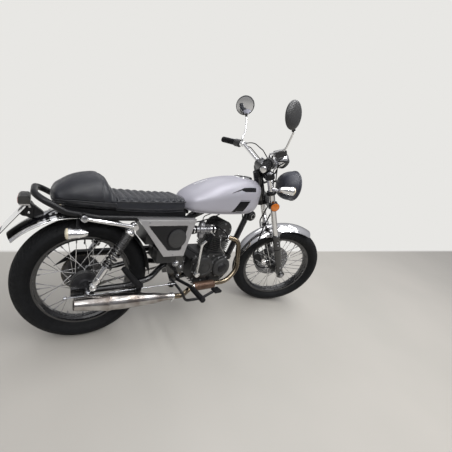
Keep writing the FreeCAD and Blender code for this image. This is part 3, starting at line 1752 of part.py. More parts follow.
def mirror_heads():
    """Round shells with their glass."""
    heads = []
    for side in (-1, 1):
        normal = mirror_normal(side)
        normal.normalize()
        centre = vec(mirror_head_x, side * mirror_head_y, mirror_head_z)
        bowl = [(mirror_radius * share, -mirror_depth * deep) for share, deep in mirror_shares]
        shell = spin([(0, 0)] + bowl + [(0, -mirror_depth)], centre, normal)
        low = centre - vec(0, 0, mirror_radius + mirror_boss)
        boss = rod(low, low + axis_z * mirror_boss_length, mirror_boss_radius)
        heads.append(joined([shell, boss]))
    return group(heads)


# Rows: radius and place along the bucket, and radius and rise of the lens
lamp_shell_shares = [(0.45, 3 / 69), (0.82, 20 / 69), (0.97, 43 / 69)]
lamp_glass_shares = [(0.7, 0.6), (0.35, 0.9)]
ear_place_share = 0.45
ear_end_share = 0.6


def headlight():
    """Bucket of the headlight and its two ears."""
    forward = vec(math.cos(rake), 0, -math.sin(rake))
    front = vec(lamp_x, 0, lamp_z)
    back = front - forward * lamp_depth
    outside = [(lamp_radius * share, lamp_depth * along) for share, along in lamp_shell_shares]
    mouth = [(lamp_radius, lamp_depth - lamp_band), (lamp_radius, lamp_depth), (lamp_radius - lamp_lip, lamp_depth),
             (lamp_radius - lamp_lip, lamp_depth - lamp_recess), (0, lamp_depth - lamp_recess)]
    shell = spin([(0, 0)] + outside + mouth, back, vec(forward.x, 0, forward.z))
    place = front - forward * (lamp_depth * ear_place_share)
    ears = []
    for sign in (-1, 1):
        side_y = sign * (fork_half - stanchion_radius - seat_gap - ear_radius)
        ears.append(rod(vec(0, side_y, place.z + ear_rise),
                        vec(place.x, sign * (lamp_radius * ear_end_share), place.z), ear_radius))
    return joined([shell] + ears)


def headlight_glass():
    """Domed lens in the bucket's mouth."""
    forward = vec(math.cos(rake), 0, -math.sin(rake))
    front = vec(lamp_x, 0, lamp_z)
    edge = lamp_radius - lamp_lip - seat_gap
    dome = [(lamp_radius * share, lamp_glass * rise) for share, rise in lamp_glass_shares]
    return spin([(0, seat_gap - lamp_recess), (edge, seat_gap - lamp_recess), (edge, lamp_glass_edge)] + dome
                + [(0, lamp_glass)], front, vec(forward.x, 0, forward.z))


gauge_shares = [(0.7, 1.0), (0.95, 0.6)]


def instrument():
    """Round speedometer above the headlight."""
    tilt = math.radians(gauge_tilt_deg)
    facing = vec(-math.sin(tilt), 0, math.cos(tilt))
    top = vec(gauge_x, 0, gauge_z)
    side = [(gauge_radius * share, -gauge_depth * deep) for share, deep in gauge_shares]
    cup = spin([(0, -gauge_depth)] + side + [(gauge_radius, -gauge_rim), (gauge_radius, 0), (0, 0)], top, facing)
    arm_z = upper_yoke_z + yoke_height - gauge_arm_radius - seat_gap
    base = top - facing * gauge_depth
    arm = rod(vec(yoke_depth / 2 + seat_gap, 0, arm_z), vec(base.x - gauge_arm_radius / 2, 0, arm_z),
              gauge_arm_radius)
    return joined([cup, arm])


def front_fender():
    shape = arched_shell(front_fender_radius, front_fender_half, front_fender_drop, fender_wall,
                         front_fender_start_deg, front_fender_end_deg)
    return shape


def front_indicators():
    place = vec(blinker_front_x, blinker_front_y, blinker_front_z)
    forward = vec(math.cos(rake), 0, -math.sin(rake))
    end = vec(0, fork_half + stanchion_radius + seat_gap, blinker_front_z - blinker_stem_drop)
    shape = blinker(place, forward * -1, end)
    leg = rod(vec(0, fork_half, 0), vec(0, fork_half, stanchion_top + overrun), stanchion_radius + seat_gap)
    shape = shape.cut(leg)
    return both_sides(shape)


def reflectors():
    """Round side reflectors on the lower yoke's ends."""
    inner = fork_half + yoke_end_radius + seat_gap
    middle = lower_yoke_z + yoke_height / 2
    return both_sides(rod_y(0, middle, inner, inner + reflector_depth, reflector_radius))


def caliper():
    """Brake caliper astride the disc, on the left slider."""
    body = block(-disc_radius - caliper_reach, -disc_radius + caliper_height, disc_y - caliper_width / 2,
                 fork_half - slider_radius - seat_gap, caliper_rise, caliper_rise + caliper_length)
    room = disc_wall / 2 + caliper_gap
    slot = block(-disc_radius * 2, disc_radius, disc_y - room, disc_y + room, -caliper_length, caliper_length * 2)
    ring = slot.common(rod_y(0, 0, 0, disc_y * 2, disc_radius + caliper_gap_out))
    return body.cut(ring)


def front_axle_bar():
    """Hollow axle through both sliders."""
    return spin_y([(front_axle_bore, -front_axle_half), (axle_radius, -front_axle_half),
                   (axle_radius, front_axle_half), (front_axle_bore, front_axle_half)])


def front_cables():
    """Brake hose and speedometer cable, held all the way."""
    hose = bent_tube([vec(x, y, z) for x, y, z in hose_route], hose_radius, hose_bend)
    cable = bent_tube([vec(x, y, z) for x, y, z in cable_route], hose_radius, hose_bend)
    return group([hose, cable])


# Side stand

def tyre_crown(radius, width, bead_radius):
    """Radius of the crown's arc and of the circle on which its centre runs."""
    shoulder = bead_radius + (radius - bead_radius) * tyre_shoulder_share
    rise = radius - shoulder
    crown = ((width / 2) ** 2 + rise ** 2) / (2 * rise)
    return crown, radius - crown


def turned(point, centre, axis, degrees):
    """A point turned about an axis."""
    rotation = FreeCAD.Rotation(axis, degrees)
    return rotation.multVec(point - centre) + centre


def lowest(centre, axle, crown, ring):
    """Height of a tyre's lowest point, from its centre and axle direction."""
    return centre.z - ring * math.sqrt(1 - axle.z ** 2) - crown


stance_rounds = 6


def stance():
    """Pitch angle and lift that put both tyres on the floor."""
    rear_crown, rear_ring = tyre_crown(rear_radius, rear_width, rear_bead_radius)
    front_crown, front_ring = tyre_crown(front_radius, front_width, front_bead_radius)
    pitch = 0.0
    lift = 0.0
    for _ in range(stance_rounds):
        def rest(point):
            leaned = turned(point, origin, axis_x, -lean_deg)
            return turned(leaned, origin, axis_y, pitch)
        steered = turned(front_axle, steer_point, steer_axis, steer_deg)
        front_side = turned(axis_y, origin, steer_axis, steer_deg)
        rear_low = lowest(rest(rear_axle), rest(axis_y), rear_crown, rear_ring)
        front_low = lowest(rest(steered), rest(front_side), front_crown, front_ring)
        pitch += math.degrees(math.atan2(front_low - rear_low, wheelbase))
        lift = -rear_low
    return pitch, lift


pitch_deg, lift = stance()


def at_rest(point):
    """A point of the upright bike, on the leaning one."""
    leaned = turned(point, origin, axis_x, -lean_deg)
    return turned(leaned, origin, axis_y, pitch_deg) + vec(0, 0, lift)


def from_rest(point):
    """A point of the leaning bike, on the upright one."""
    level = turned(point - vec(0, 0, lift), origin, axis_y, -pitch_deg)
    return turned(level, origin, axis_x, lean_deg)


def side_stand():
    """Leg from its pivot to a flat foot on the floor."""
    pivot = vec(stand_x, stand_y, stand_z)
    foot = from_rest(vec(stand_foot_x, stand_foot_reach, stand_pad_wall))
    down = from_rest(vec(stand_foot_x, stand_foot_reach, 0)) - foot
    leg = rod(pivot, foot, stand_radius)
    pad = Part.makeCylinder(stand_pad_radius, stand_pad_wall, foot, down)
    side = stand_axis() * stand_boss_half
    boss = rod(pivot - side, pivot + side, stand_boss_radius)
    bore = rod(pivot - side * 2, pivot + side * 2, stand_pin_radius + running_gap)
    return joined([leg, pad, boss]).cut(bore)


stand_fold_out_share = 0.16
stand_fold_up_share = 0.02


def stand_axis():
    """Hinge axis: the leg swings from down and out to back and up."""
    foot = from_rest(vec(stand_foot_x, stand_foot_reach, stand_pad_wall))
    down = foot - vec(stand_x, stand_y, stand_z)
    folded = vec(-1, stand_fold_out_share, stand_fold_up_share)
    axis = down.cross(folded)
    axis.normalize()
    return axis


def stand_bracket():
    """Bracket under the engine that carries the stand."""
    side = stand_axis()
    pivot = vec(stand_x, stand_y, stand_z)
    cheek = rod(pivot - side * (stand_boss_half + running_gap), pivot - side * (stand_boss_half * 2),
                stand_boss_radius)
    arm = rod(pivot - side * (stand_boss_half * 2), vec(stand_x, stand_arm_y, case_low_z - stand_radius),
              stand_radius)
    pin_end = pivot + side * (stand_boss_half + running_gap)
    pin = rod(pivot - side * (stand_boss_half * 2), pin_end, stand_pin_radius)
    pin_head = rod(pin_end, pin_end + side * stand_pin_radius, stand_pin_head_radius)
    foot = block(stand_x - stand_foot_half, stand_x + stand_foot_half, stand_arm_y - stand_radius,
                 stand_arm_y + stand_radius * 2, case_low_z - stand_radius, case_low_z)
    return joined([cheek, arm, pin, pin_head, foot])


# Bodies and their pieces

pieces = {
    "frame": {
        "main_frame": main_frame, "seat_rails": seat_rails, "swingarm": swingarm, "shocks": shocks,
        "shock_springs": shock_springs, "side_bars": side_bars, "seat_pad": seat_pad, "seat_hump": seat_hump,
        "fuel_tank": fuel_tank, "fuel_cap": fuel_cap, "side_panels": side_panels,
        "panel_insets": panel_insets, "air_box": air_box, "rear_fender": rear_fender,
        "inner_mudguard": inner_mudguard, "number_plate": number_plate, "plate_bracket": plate_bracket,
        "tail_lamp": tail_lamp, "rear_indicators": rear_indicators, "crankcase": crankcase,
        "engine_covers": engine_covers, "engine_cylinder": engine_cylinder, "carburettor": carburettor,
        "kick_starter": kick_starter, "header_pipe": header_pipe, "muffler": muffler,
        "foot_pegs": foot_pegs, "foot_levers": foot_levers, "horn": horn, "chain": chain,
        "chain_guard": chain_guard,
        "rear_brake": rear_brake, "rear_axle": rear_axle_bar, "stand_bracket": stand_bracket,
    },
    "fork": {
        "yokes": yokes, "fork_tubes": fork_tubes, "fork_sliders": fork_sliders, "handlebar": handlebar,
        "grips": grips, "hand_levers": hand_levers, "mirror_heads": mirror_heads, "headlight": headlight,
        "headlight_glass": headlight_glass,
        "instrument": instrument, "front_fender": front_fender, "front_indicators": front_indicators,
        "reflectors": reflectors, "caliper": caliper, "front_axle": front_axle_bar,
        "front_cables": front_cables,
    },
    "front_wheel": {
        "front_tyre": front_tyre, "front_rim": front_rim, "front_hub": front_hub, "brake_disc": brake_disc,
    },
    "rear_wheel": {
        "rear_tyre": rear_tyre, "rear_rim": rear_rim, "rear_hub": rear_hub, "rear_sprocket": rear_sprocket,
    },
    "side_stand": {"side_stand": side_stand},
}


def rested(shape, body):
    """Put a piece on the leaning, steered bike."""
    moved = shape.copy()
    if body in ("fork", "front_wheel"):
        moved = in_fork(moved)
        moved.rotate(steer_point, steer_axis, steer_deg)
    if body == "rear_wheel":
        moved.translate(rear_axle)
    moved.rotate(origin, axis_x, -lean_deg)
    moved.rotate(origin, axis_y, pitch_deg)
    moved.translate(vec(0, 0, lift))
    return moved


def build():
    """All pieces at rest, with the floor under the middle of their box at the origin."""
    shapes = {}
    for body, makers in pieces.items():
        for name, maker in makers.items():
            shapes[name] = rested(maker(), body)
    box = FreeCAD.BoundBox()
    for shape in shapes.values():
        box.add(shape.BoundBox)
    centre = vec(-(box.XMin + box.XMax) / 2, -(box.YMin + box.YMax) / 2, 0)
    for shape in shapes.values():
        shape.translate(centre)
    return shapes, centre


def main():
    os.makedirs("parts", exist_ok=True)
    shapes, centre = build()
    for name, shape in shapes.items():
        shape.exportStep("parts/" + name + ".step")
        print(name, len(shape.Solids), shape.isValid(), round(shape.Volume))
    print("shift", centre, "pitch", pitch_deg, "lift", lift)


main()
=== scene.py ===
import json
import logging
import math
from dataclasses import dataclass, field
from enum import Enum
from typing import Sequence

import bmesh
import bpy
import numpy as np
from mathutils import Matrix


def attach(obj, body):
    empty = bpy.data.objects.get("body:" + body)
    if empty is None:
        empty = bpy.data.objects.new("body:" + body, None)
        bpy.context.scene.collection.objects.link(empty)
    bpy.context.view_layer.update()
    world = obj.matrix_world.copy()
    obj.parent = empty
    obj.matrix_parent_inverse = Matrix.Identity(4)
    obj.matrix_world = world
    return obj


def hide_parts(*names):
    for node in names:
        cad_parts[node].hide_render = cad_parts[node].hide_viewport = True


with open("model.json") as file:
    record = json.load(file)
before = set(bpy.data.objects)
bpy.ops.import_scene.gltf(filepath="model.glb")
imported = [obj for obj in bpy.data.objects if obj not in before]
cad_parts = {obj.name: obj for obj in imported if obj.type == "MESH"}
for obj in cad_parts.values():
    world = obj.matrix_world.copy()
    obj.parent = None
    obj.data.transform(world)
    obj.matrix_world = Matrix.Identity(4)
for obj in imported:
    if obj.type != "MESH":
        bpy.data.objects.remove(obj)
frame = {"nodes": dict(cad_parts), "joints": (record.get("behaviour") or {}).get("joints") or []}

LOG = logging.getLogger("cafe_racer")
MM = 0.001
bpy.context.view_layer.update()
RAKE = math.radians(26.0)
REAR_RADIUS = 321.0
FULL = 2.0 * math.pi


class Body(Enum):
    """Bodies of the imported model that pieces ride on."""

    FRAME = "frame"
    FORK = "fork"
    FRONT = "front_wheel"
    REAR = "rear_wheel"
    STAND = "side_stand"


def vec(x: float, y: float, z: float) -> np.ndarray:
    """Return a point or direction in millimetres as an array."""
    return np.array([x, y, z], float)


def unit(v: np.ndarray) -> np.ndarray:
    """Return v divided by its length, along the last axis."""
    return v / np.linalg.norm(v, axis=-1, keepdims=True)


AHEAD, ACROSS, UP = np.eye(3)


@dataclass(frozen=True)
class Station:
    """A drawing frame in millimetres, with its place in the row frame in metres.

    Attributes:
        origin: The drawing's origin in the row frame.
        axes: Columns are the drawing's X, Y and Z directions.
    """

    origin: np.ndarray
    axes: np.ndarray

    def put(self, points: np.ndarray) -> np.ndarray:
        """Carry drawing points to the row frame: origin plus each coordinate along its axis."""
        return self.origin + (points * MM) @ self.axes.T

    def read(self, points: np.ndarray) -> np.ndarray:
        """Carry row frame points back to the drawing: the reverse of put."""
        return ((points - self.origin) @ self.axes) / MM


def stations() -> dict[Body, Station]:
    """Rebuild the drawing frames of the upright bike and of the steered fork.

    The bike's Y is the rear axle's direction and the fork's forward direction is Y cross
    the steering axis. X and Z are those two turned back by the rake.

    Returns:
        One station for each body.
    """
    joints = {j["name"]: j for j in frame["joints"]}
    rear, steer, front = (joints[n] for n in ("rear_wheel_spin", "steering", "front_wheel_spin"))
    side, up = unit(np.array(rear["axis"], float)), unit(np.array(steer["axis"], float))
    ahead = np.cross(side, up)
    x_axis = math.cos(RAKE) * ahead - math.sin(RAKE) * up
    z_axis = math.sin(RAKE) * ahead + math.cos(RAKE) * up
    axle = np.array(rear["pos_m"], float)
    bike = Station(axle - z_axis * REAR_RADIUS * MM, np.stack([x_axis, side, z_axis], 1))
    rear_wheel = Station(axle, bike.axes)
    turned = unit(np.array(front["axis"], float))
    fork = Station(np.array(front["pos_m"], float), np.stack([np.cross(turned, up), turned, up], 1))
    return {Body.FRAME: bike, Body.FORK: fork, Body.FRONT: fork, Body.REAR: rear_wheel, Body.STAND: bike}


STATIONS = stations()


# Surfaces


@dataclass
class Part:
    """A piece of surface before it becomes a mesh.

    Attributes:
        verts: Points, one row each, in millimetres.
        faces: Corner numbers of each face.
        finish: Number of the material among those of its piece.
    """

    verts: np.ndarray
    faces: list
    finish: int = 0

    def moved(self, turn: np.ndarray, shift: np.ndarray) -> "Part":
        """Return a copy with each point turned and then shifted."""
        return Part(self.verts @ turn.T + shift, self.faces, self.finish)

    def shifted(self, x: float, y: float, z: float) -> "Part":
        """Return a copy moved by x, y, z."""
        return Part(self.verts + vec(x, y, z), self.faces, self.finish)

    def flipped(self) -> "Part":
        """Return the copy on the other side of the bike, with its faces turned round."""
        return Part(self.verts * vec(1, -1, 1), [face[::-1] for face in self.faces], self.finish)

    def dressed(self, finish: int) -> "Part":
        """Return a copy with another material number."""
        return Part(self.verts, self.faces, finish)


def lattice(points: np.ndarray, close_u: bool = False, close_v: bool = False, cap: bool = False) -> Part:
    """Join a grid of points with quads, and close open ends with fans round their middle.

    Args:
        points: Array (rows, columns, 3).
        close_u: Join the last row to the first.
        close_v: Join the last column to the first.
        cap: Close the first and the last row, each a ring.

    Returns:
        The surface.
    """
    rows, cols = points.shape[:2]
    index = np.arange(rows * cols).reshape(rows, cols)
    u_next = np.roll(index, -1, 0) if close_u else index[1:]
    base = index if close_u else index[:-1]
    if close_v:
        quads = np.stack([base, u_next, np.roll(u_next, -1, 1), np.roll(base, -1, 1)], -1)
    else:
        quads = np.stack([base[:, :-1], u_next[:, :-1], u_next[:, 1:], base[:, 1:]], -1)
    verts = points.reshape(-1, 3)
    faces = quads.reshape(-1, 4).tolist()
    if cap:
        ends = np.stack([points[0].mean(0), points[-1].mean(0)])
        verts = np.concatenate([verts, ends])
        for ring, middle in ((index[0][::-1], rows * cols), (index[-1], rows * cols + 1)):
            fan = np.stack([ring, np.roll(ring, -1), np.full(cols, middle)], 1)
            faces += fan.tolist()
    return Part(verts, faces)


def spread(path: np.ndarray, close: bool) -> tuple[np.ndarray, np.ndarray]:
    """Directions across a path: the least used direction made square to each tangent.

    Args:
        path: Points (n, 3).
        close: The path is a ring.

    Returns:
        Two arrays of unit vectors, square to the path and to each other.
    """
    if close:
        tangent = unit(np.roll(path, -1, 0) - np.roll(path, 1, 0))
    else:
        tangent = unit(np.gradient(path, axis=0))
    seldom = np.linalg.svd(tangent)[2][-1]
    first = unit(seldom - (tangent @ seldom)[:, None] * tangent)
    return first, np.cross(tangent, first)


def carried(path: np.ndarray, outline: np.ndarray, size: float | np.ndarray = 1.0,
            close: bool = False) -> Part:
    """Carry a closed outline along a path: path point plus outline times the two cross directions.

    Args:
        path: Points (n, 3).
        outline: Points (m, 2).
        size: One scale, or one for each path point.
        close: The path is a ring.

    Returns:
        A closed surface.
    """
    first, second = spread(path, close)
    scale = np.broadcast_to(np.asarray(size, float), (len(path),))[:, None, None]
    points = path[:, None] + scale * (first[:, None] * outline[None, :, :1]
                                      + second[:, None] * outline[None, :, 1:])
    return lattice(points, close_u=close, close_v=True, cap=not close)


def circle(radius: float = 1.0, count: int = 16) -> np.ndarray:
    """Ring of points: radius times cosine and sine of even turns."""
    turn = np.arange(count) * FULL / count
    return np.stack([np.cos(turn), np.sin(turn)], 1) * radius


def tube(path: np.ndarray, radius: float | np.ndarray, sides: int = 16, close: bool = False) -> Part:
    """Round bar along a path."""
    return carried(np.asarray(path, float), circle(1.0, sides), radius, close)


def route(corners: Sequence[Sequence[float]], radius: float, step: int = 8) -> np.ndarray:
    """Straight runs joined by arcs that touch both runs.

    An arc's point is the corner, moved inwards, plus the two run directions weighted by the
    sine of the part of the turn that is left and that is done.

    Args:
        corners: Points of the route.
        radius: Largest bend radius.
        step: Points on each arc.

    Returns:
        Points along the route.
    """
    points = np.array(corners, float)
    rows = [points[:1]]
    for before, corner, after in zip(points, points[1:], points[2:]):
        arrive, leave = corner - before, after - corner
        shorter = min(np.linalg.norm(arrive), np.linalg.norm(leave))
        arrive, leave = unit(arrive), unit(leave)
        half = math.acos(float(np.clip(arrive @ leave, -1, 1))) / 2
        if half < 1e-3:
            rows.append(corner[None])
            continue
        trim = min(radius * math.tan(half), shorter * 0.48)
        bend = trim / math.tan(half)
        centre = corner + unit(leave - arrive) * (bend / math.cos(half))
        start = corner - arrive * trim - centre
        part = np.linspace(0, 1, step)[:, None]
        whole = 2 * half
        end = corner + leave * trim - centre
        rows.append(centre
                    + (np.sin((1 - part) * whole) * start + np.sin(part * whole) * end) / math.sin(whole))
    rows.append(points[-1:])
    return np.concatenate(rows)


def smooth(values: np.ndarray, at: np.ndarray, where: np.ndarray) -> np.ndarray:
    """Natural cubic curve through table values: second slopes from a banded set of equations.

    Args:
        values: Table (n, k).
        at: Places of the table's rows, rising.
        where: Places to read.

    Returns:
        Array (len(where), k).
    """
    gap = np.diff(at)
    size = len(at)
    band = np.eye(size)
    inner = np.arange(1, size - 1)
    band[inner, inner - 1], band[inner, inner] = gap[:-1], 2 * (gap[:-1] + gap[1:])
    band[inner, inner + 1] = gap[1:]
    right = np.zeros_like(values, float)
    slope = np.diff(values, axis=0) / gap[:, None]
    right[1:-1] = 6 * np.diff(slope, axis=0)
    curve = np.linalg.solve(band, right)
    cell = np.clip(np.searchsorted(at, where) - 1, 0, size - 2)
    near, far = (at[cell + 1] - where)[:, None], (where - at[cell])[:, None]
    wide = gap[cell][:, None]
    bent = (curve[cell] * near**3 + curve[cell + 1] * far**3) / (6 * wide)
    behind = (values[cell] / wide - curve[cell] * wide / 6) * near
    return bent + behind + (values[cell + 1] / wide - curve[cell + 1] * wide / 6) * far


def turned(profile: Sequence[Sequence[float]], centre: np.ndarray, axis: np.ndarray, count: int = 48,
           ring: bool = False) -> Part:
    """Spin a profile about an axis: centre plus axis times height plus radius round it.

    Args:
        profile: Rows of radius and height along the axis.
        centre: Point on the axis.
        axis: Direction of the axis.
        count: Steps round.
        ring: The profile is a closed loop that doesn't meet the axis.

    Returns:
        A closed surface.
    """
    rows = np.array(profile, float)
    along = unit(np.asarray(axis, float))
    helper = UP if abs(along[2]) < 0.9 else AHEAD
    first = unit(np.cross(helper, along))
    second = np.cross(along, first)
    ring_points = circle(1.0, count)
    around = ring_points[:, :1] * first + ring_points[:, 1:] * second
    points = centre + rows[:, None, 1:] * along + rows[:, None, :1] * around[None]
    return lattice(points, close_u=ring, close_v=True, cap=not ring)


def bar(start: np.ndarray, end: np.ndarray, radius: float, sides: int = 16, edge: float = 0.6) -> Part:
    """Straight round bar with slightly rounded ends.

    Args:
        start: First end.
        end: Last end.
        radius: Radius of the bar.
        sides: Steps round.
        edge: Width of the rounding.

    Returns:
        A closed surface.
    """
    length = float(np.linalg.norm(end - start))
    edge = min(edge, length / 3, radius / 2)
    profile = [(radius - edge, 0), (radius, edge), (radius, length - edge), (radius - edge, length)]
    return turned(profile, start, end - start, sides)


def rounded(outline: Sequence[Sequence[float]], radius: float, step: int = 5) -> np.ndarray:
    """Round the corners of a closed outline: each corner is cut by a quadratic curve.

    Args:
        outline: Corners (n, 2).
        radius: Length taken from each side at a corner, at most 0.45 of the side.
        step: Points on each corner.

    Returns:
        Points (n * step, 2).
    """
    corners = np.array(outline, float)
    back = np.roll(corners, 1, 0) - corners
    ahead = np.roll(corners, -1, 0) - corners
    reach = np.minimum(radius, 0.45 * np.minimum(np.linalg.norm(back, axis=1),
                                                 np.linalg.norm(ahead, axis=1)))[:, None]
    start, end = corners + unit(back) * reach, corners + unit(ahead) * reach
    part = np.linspace(0, 1, step)[None, :, None]
    curve = ((1 - part) ** 2 * start[:, None] + 2 * part * (1 - part) * corners[:, None]
             + part ** 2 * end[:, None])
    return curve.reshape(-1, 2)


def slab(outline: np.ndarray, low: float, high: float, edge: float = 0.0) -> Part:
    """Flat plate in the X, Z plane between two Y, with its rims drawn in by an edge.

    Args:
        outline: Points (n, 2) as X and Z.
        low: Lower Y.
        high: Higher Y.
        edge: Width of the chamfer.

    Returns:
        A closed surface.
    """
    middle = outline.mean(0)
    size = np.linalg.norm(outline - middle, axis=1).max()
    inner = middle + (outline - middle) * (1 - edge / size)
    levels = [(inner, low), (outline, low + edge), (outline, high - edge), (inner, high)] if edge else [
        (outline, low), (outline, high)]
    points = np.stack([np.stack([ring[:, 0], np.full(len(ring), y), ring[:, 1]], 1) for ring, y in levels])
    part = lattice(points, close_v=True)
    count = len(outline)
    last = (len(levels) - 1) * count
    part.faces += [list(range(count))[::-1], list(range(last, last + count))]
    return part


def arranged(part: Part, turns: np.ndarray, centre: np.ndarray, axis: np.ndarray) -> Part:
    """Copy a part round an axis, one copy for each turn, by Rodrigues' formula.

    Args:
        part: The part to repeat.
        turns: Angles in radians.
        centre: Point on the axis.
        axis: Direction of the axis.

    Returns:
        All the copies as one part.
    """
    k = unit(np.asarray(axis, float))
    cross = np.array([[0, -k[2], k[1]], [k[2], 0, -k[0]], [-k[1], k[0], 0]])
    spins = (np.eye(3) + np.sin(turns)[:, None, None] * cross
             + (1 - np.cos(turns))[:, None, None] * (cross @ cross))
    local = part.verts - centre
    verts = np.einsum("tij,nj->tni", spins, local) + centre
    size = len(part.verts)
    faces = [[corner + number * size for corner in face] for number in range(len(turns))
             for face in part.faces]
    return Part(verts.reshape(-1, 3), faces, part.finish)


def gathered(parts: Sequence[Part], finish: int = 0) -> Part:
    """Put several parts into one, all with one material number.

    Args:
        parts: Parts to join.
        finish: Their material number.

    Returns:
        One part.
    """
    offsets = np.cumsum([0] + [len(p.verts) for p in parts])
    faces = [[corner + int(start) for corner in face] for p, start in zip(parts, offsets) for face in p.faces]
    return Part(np.concatenate([p.verts for p in parts]), faces, finish)


def both(part: Part) -> list[Part]:
    """A part and its copy on the other side."""
    return [part, part.flipped()]


def bolt(place: np.ndarray, axis: np.ndarray, radius: float, height: float, sides: int = 6) -> Part:
    """Bolt head with a washer, seated with its foot a little inside what it holds.

    Args:
        place: Where the head sits.
        axis: Direction out of what it holds.
        radius: Radius of the head.
        height: Height of the head.
        sides: Corners of the head.

    Returns:
        The head with its washer.
    """
    along = unit(np.asarray(axis, float))
    washer = turned([(radius * 1.35, -0.5), (radius * 1.35, 1.0), (radius * 1.2, 1.3)], place, along, 16)
    head = turned([(radius * 0.98, 1.2), (radius * 0.98, height * 0.85), (radius * 0.8, height)], place,
                  along, sides)
    return gathered([washer, head])


# Finishes


def hue(red: int, green: int, blue: int) -> tuple[float, float, float]:
    """Screen colour values as the linear ones that shaders read."""
    return tuple(((c / 255 + 0.055) / 1.055) ** 2.4 if c > 10 else c / 255 / 12.92
                 for c in (red, green, blue))


class Wiring:
    """A material's node tree, with one call for each node.

    Attributes:
        material: The material.
        tree: Its node tree.
        shader: Its surface shader.
    """

    def __init__(self, name: str) -> None:
        """Start a material with its own shader.

        Args:
            name: Name of the material.
        """
        self.material = bpy.data.materials.new(name)
        self.material.use_nodes = True
        self.tree = self.material.node_tree
        self.shader = self.tree.nodes["Principled BSDF"]

    def node(self, kind: str, settings: dict | None = None, **inputs) -> bpy.types.Node:
        """Add a node and fill or link its inputs.

        Args:
            kind: Node type without its ShaderNode prefix.
            settings: Attributes to set on the node.
            **inputs: Values or output sockets; an underscore stands for a space, and a name like
                i0 for a number.

        Returns:
            The node.
        """
        made = self.tree.nodes.new("ShaderNode" + kind)
        for key, value in (settings or {}).items():
            setattr(made, key, value)
        for key, value in inputs.items():
            numbered = key[0] == "i" and key[1:].isdigit()
            self.feed(made.inputs[int(key[1:]) if numbered else key.replace("_", " ")], value)
        return made

    def feed(self, socket: bpy.types.NodeSocket, value: object) -> None:
        """Link an output to a socket, or write a value on it."""
        if isinstance(value, bpy.types.NodeSocket):
            self.tree.links.new(value, socket)
        elif isinstance(value, tuple) and socket.type == "RGBA":
            socket.default_value = (*value, 1.0)
        else:
            socket.default_value = value

    def place(self, scale: tuple = (1.0, 1.0, 1.0), turn: tuple = (0.0, 0.0, 0.0)) -> bpy.types.NodeSocket:
        """Object coordinates, turned and stretched.

        Args:
            scale: Scale along each axis.
            turn: Turn about each axis.

        Returns:
            The coordinates.
        """
        coordinates = self.node("TexCoord").outputs["Object"]
        if scale == (1.0, 1.0, 1.0) and turn == (0.0, 0.0, 0.0):
            return coordinates
        return self.node("Mapping", Vector=coordinates, Scale=scale, Rotation=turn).outputs[0]

    def noise(self, where: bpy.types.NodeSocket, scale: float, detail: float = 3.0) -> bpy.types.NodeSocket:
        """Soft noise, from 0 to 1."""
        return self.node("TexNoise", Vector=where, Scale=scale, Detail=detail, Roughness=0.55).outputs["Fac"]

    def ranged(self, value: bpy.types.NodeSocket, low: float, high: float, start: float = 0.3,
               end: float = 0.7) -> bpy.types.NodeSocket:
        """A value between start and end, carried to low and high."""
        inputs = {"From_Min": start, "From_Max": end, "To_Min": low, "To_Max": high}
        return self.node("MapRange", {"clamp": True}, Value=value, **inputs).outputs["Result"]

    def mixed(self, share: bpy.types.NodeSocket, first: object, second: object) -> bpy.types.NodeSocket:
        """Mix two colours by a share.

        Args:
            share: 0 for the first colour, 1 for the second.
            first: First colour.
            second: Second colour.

        Returns:
            The colour.
        """
        blend = self.node("Mix", {"data_type": "RGBA"})
        self.feed(blend.inputs[0], share)
        self.feed(blend.inputs[6], first)
        self.feed(blend.inputs[7], second)
        return blend.outputs[2]

    def sums(self, kind: str, first: object, second: object = 0.0) -> bpy.types.NodeSocket:
        """One step of arithmetic."""
        return self.node("Math", {"operation": kind}, i0=first, i1=second).outputs[0]

    def bump(self, height: bpy.types.NodeSocket, depth: float, before: object = None) -> bpy.types.NodeSocket:
        """Relief of a depth in millimetres, over another relief where one is given.

        Args:
            height: Height from 0 to 1.
            depth: Depth in millimetres.
            before: Relief under it, or None.

        Returns:
            The normal.
        """
        made = self.node("Bump", Height=height, Strength=1.0, Distance=depth * MM)
        if before is not None:
            self.feed(made.inputs["Normal"], before)
        return made.outputs[0]


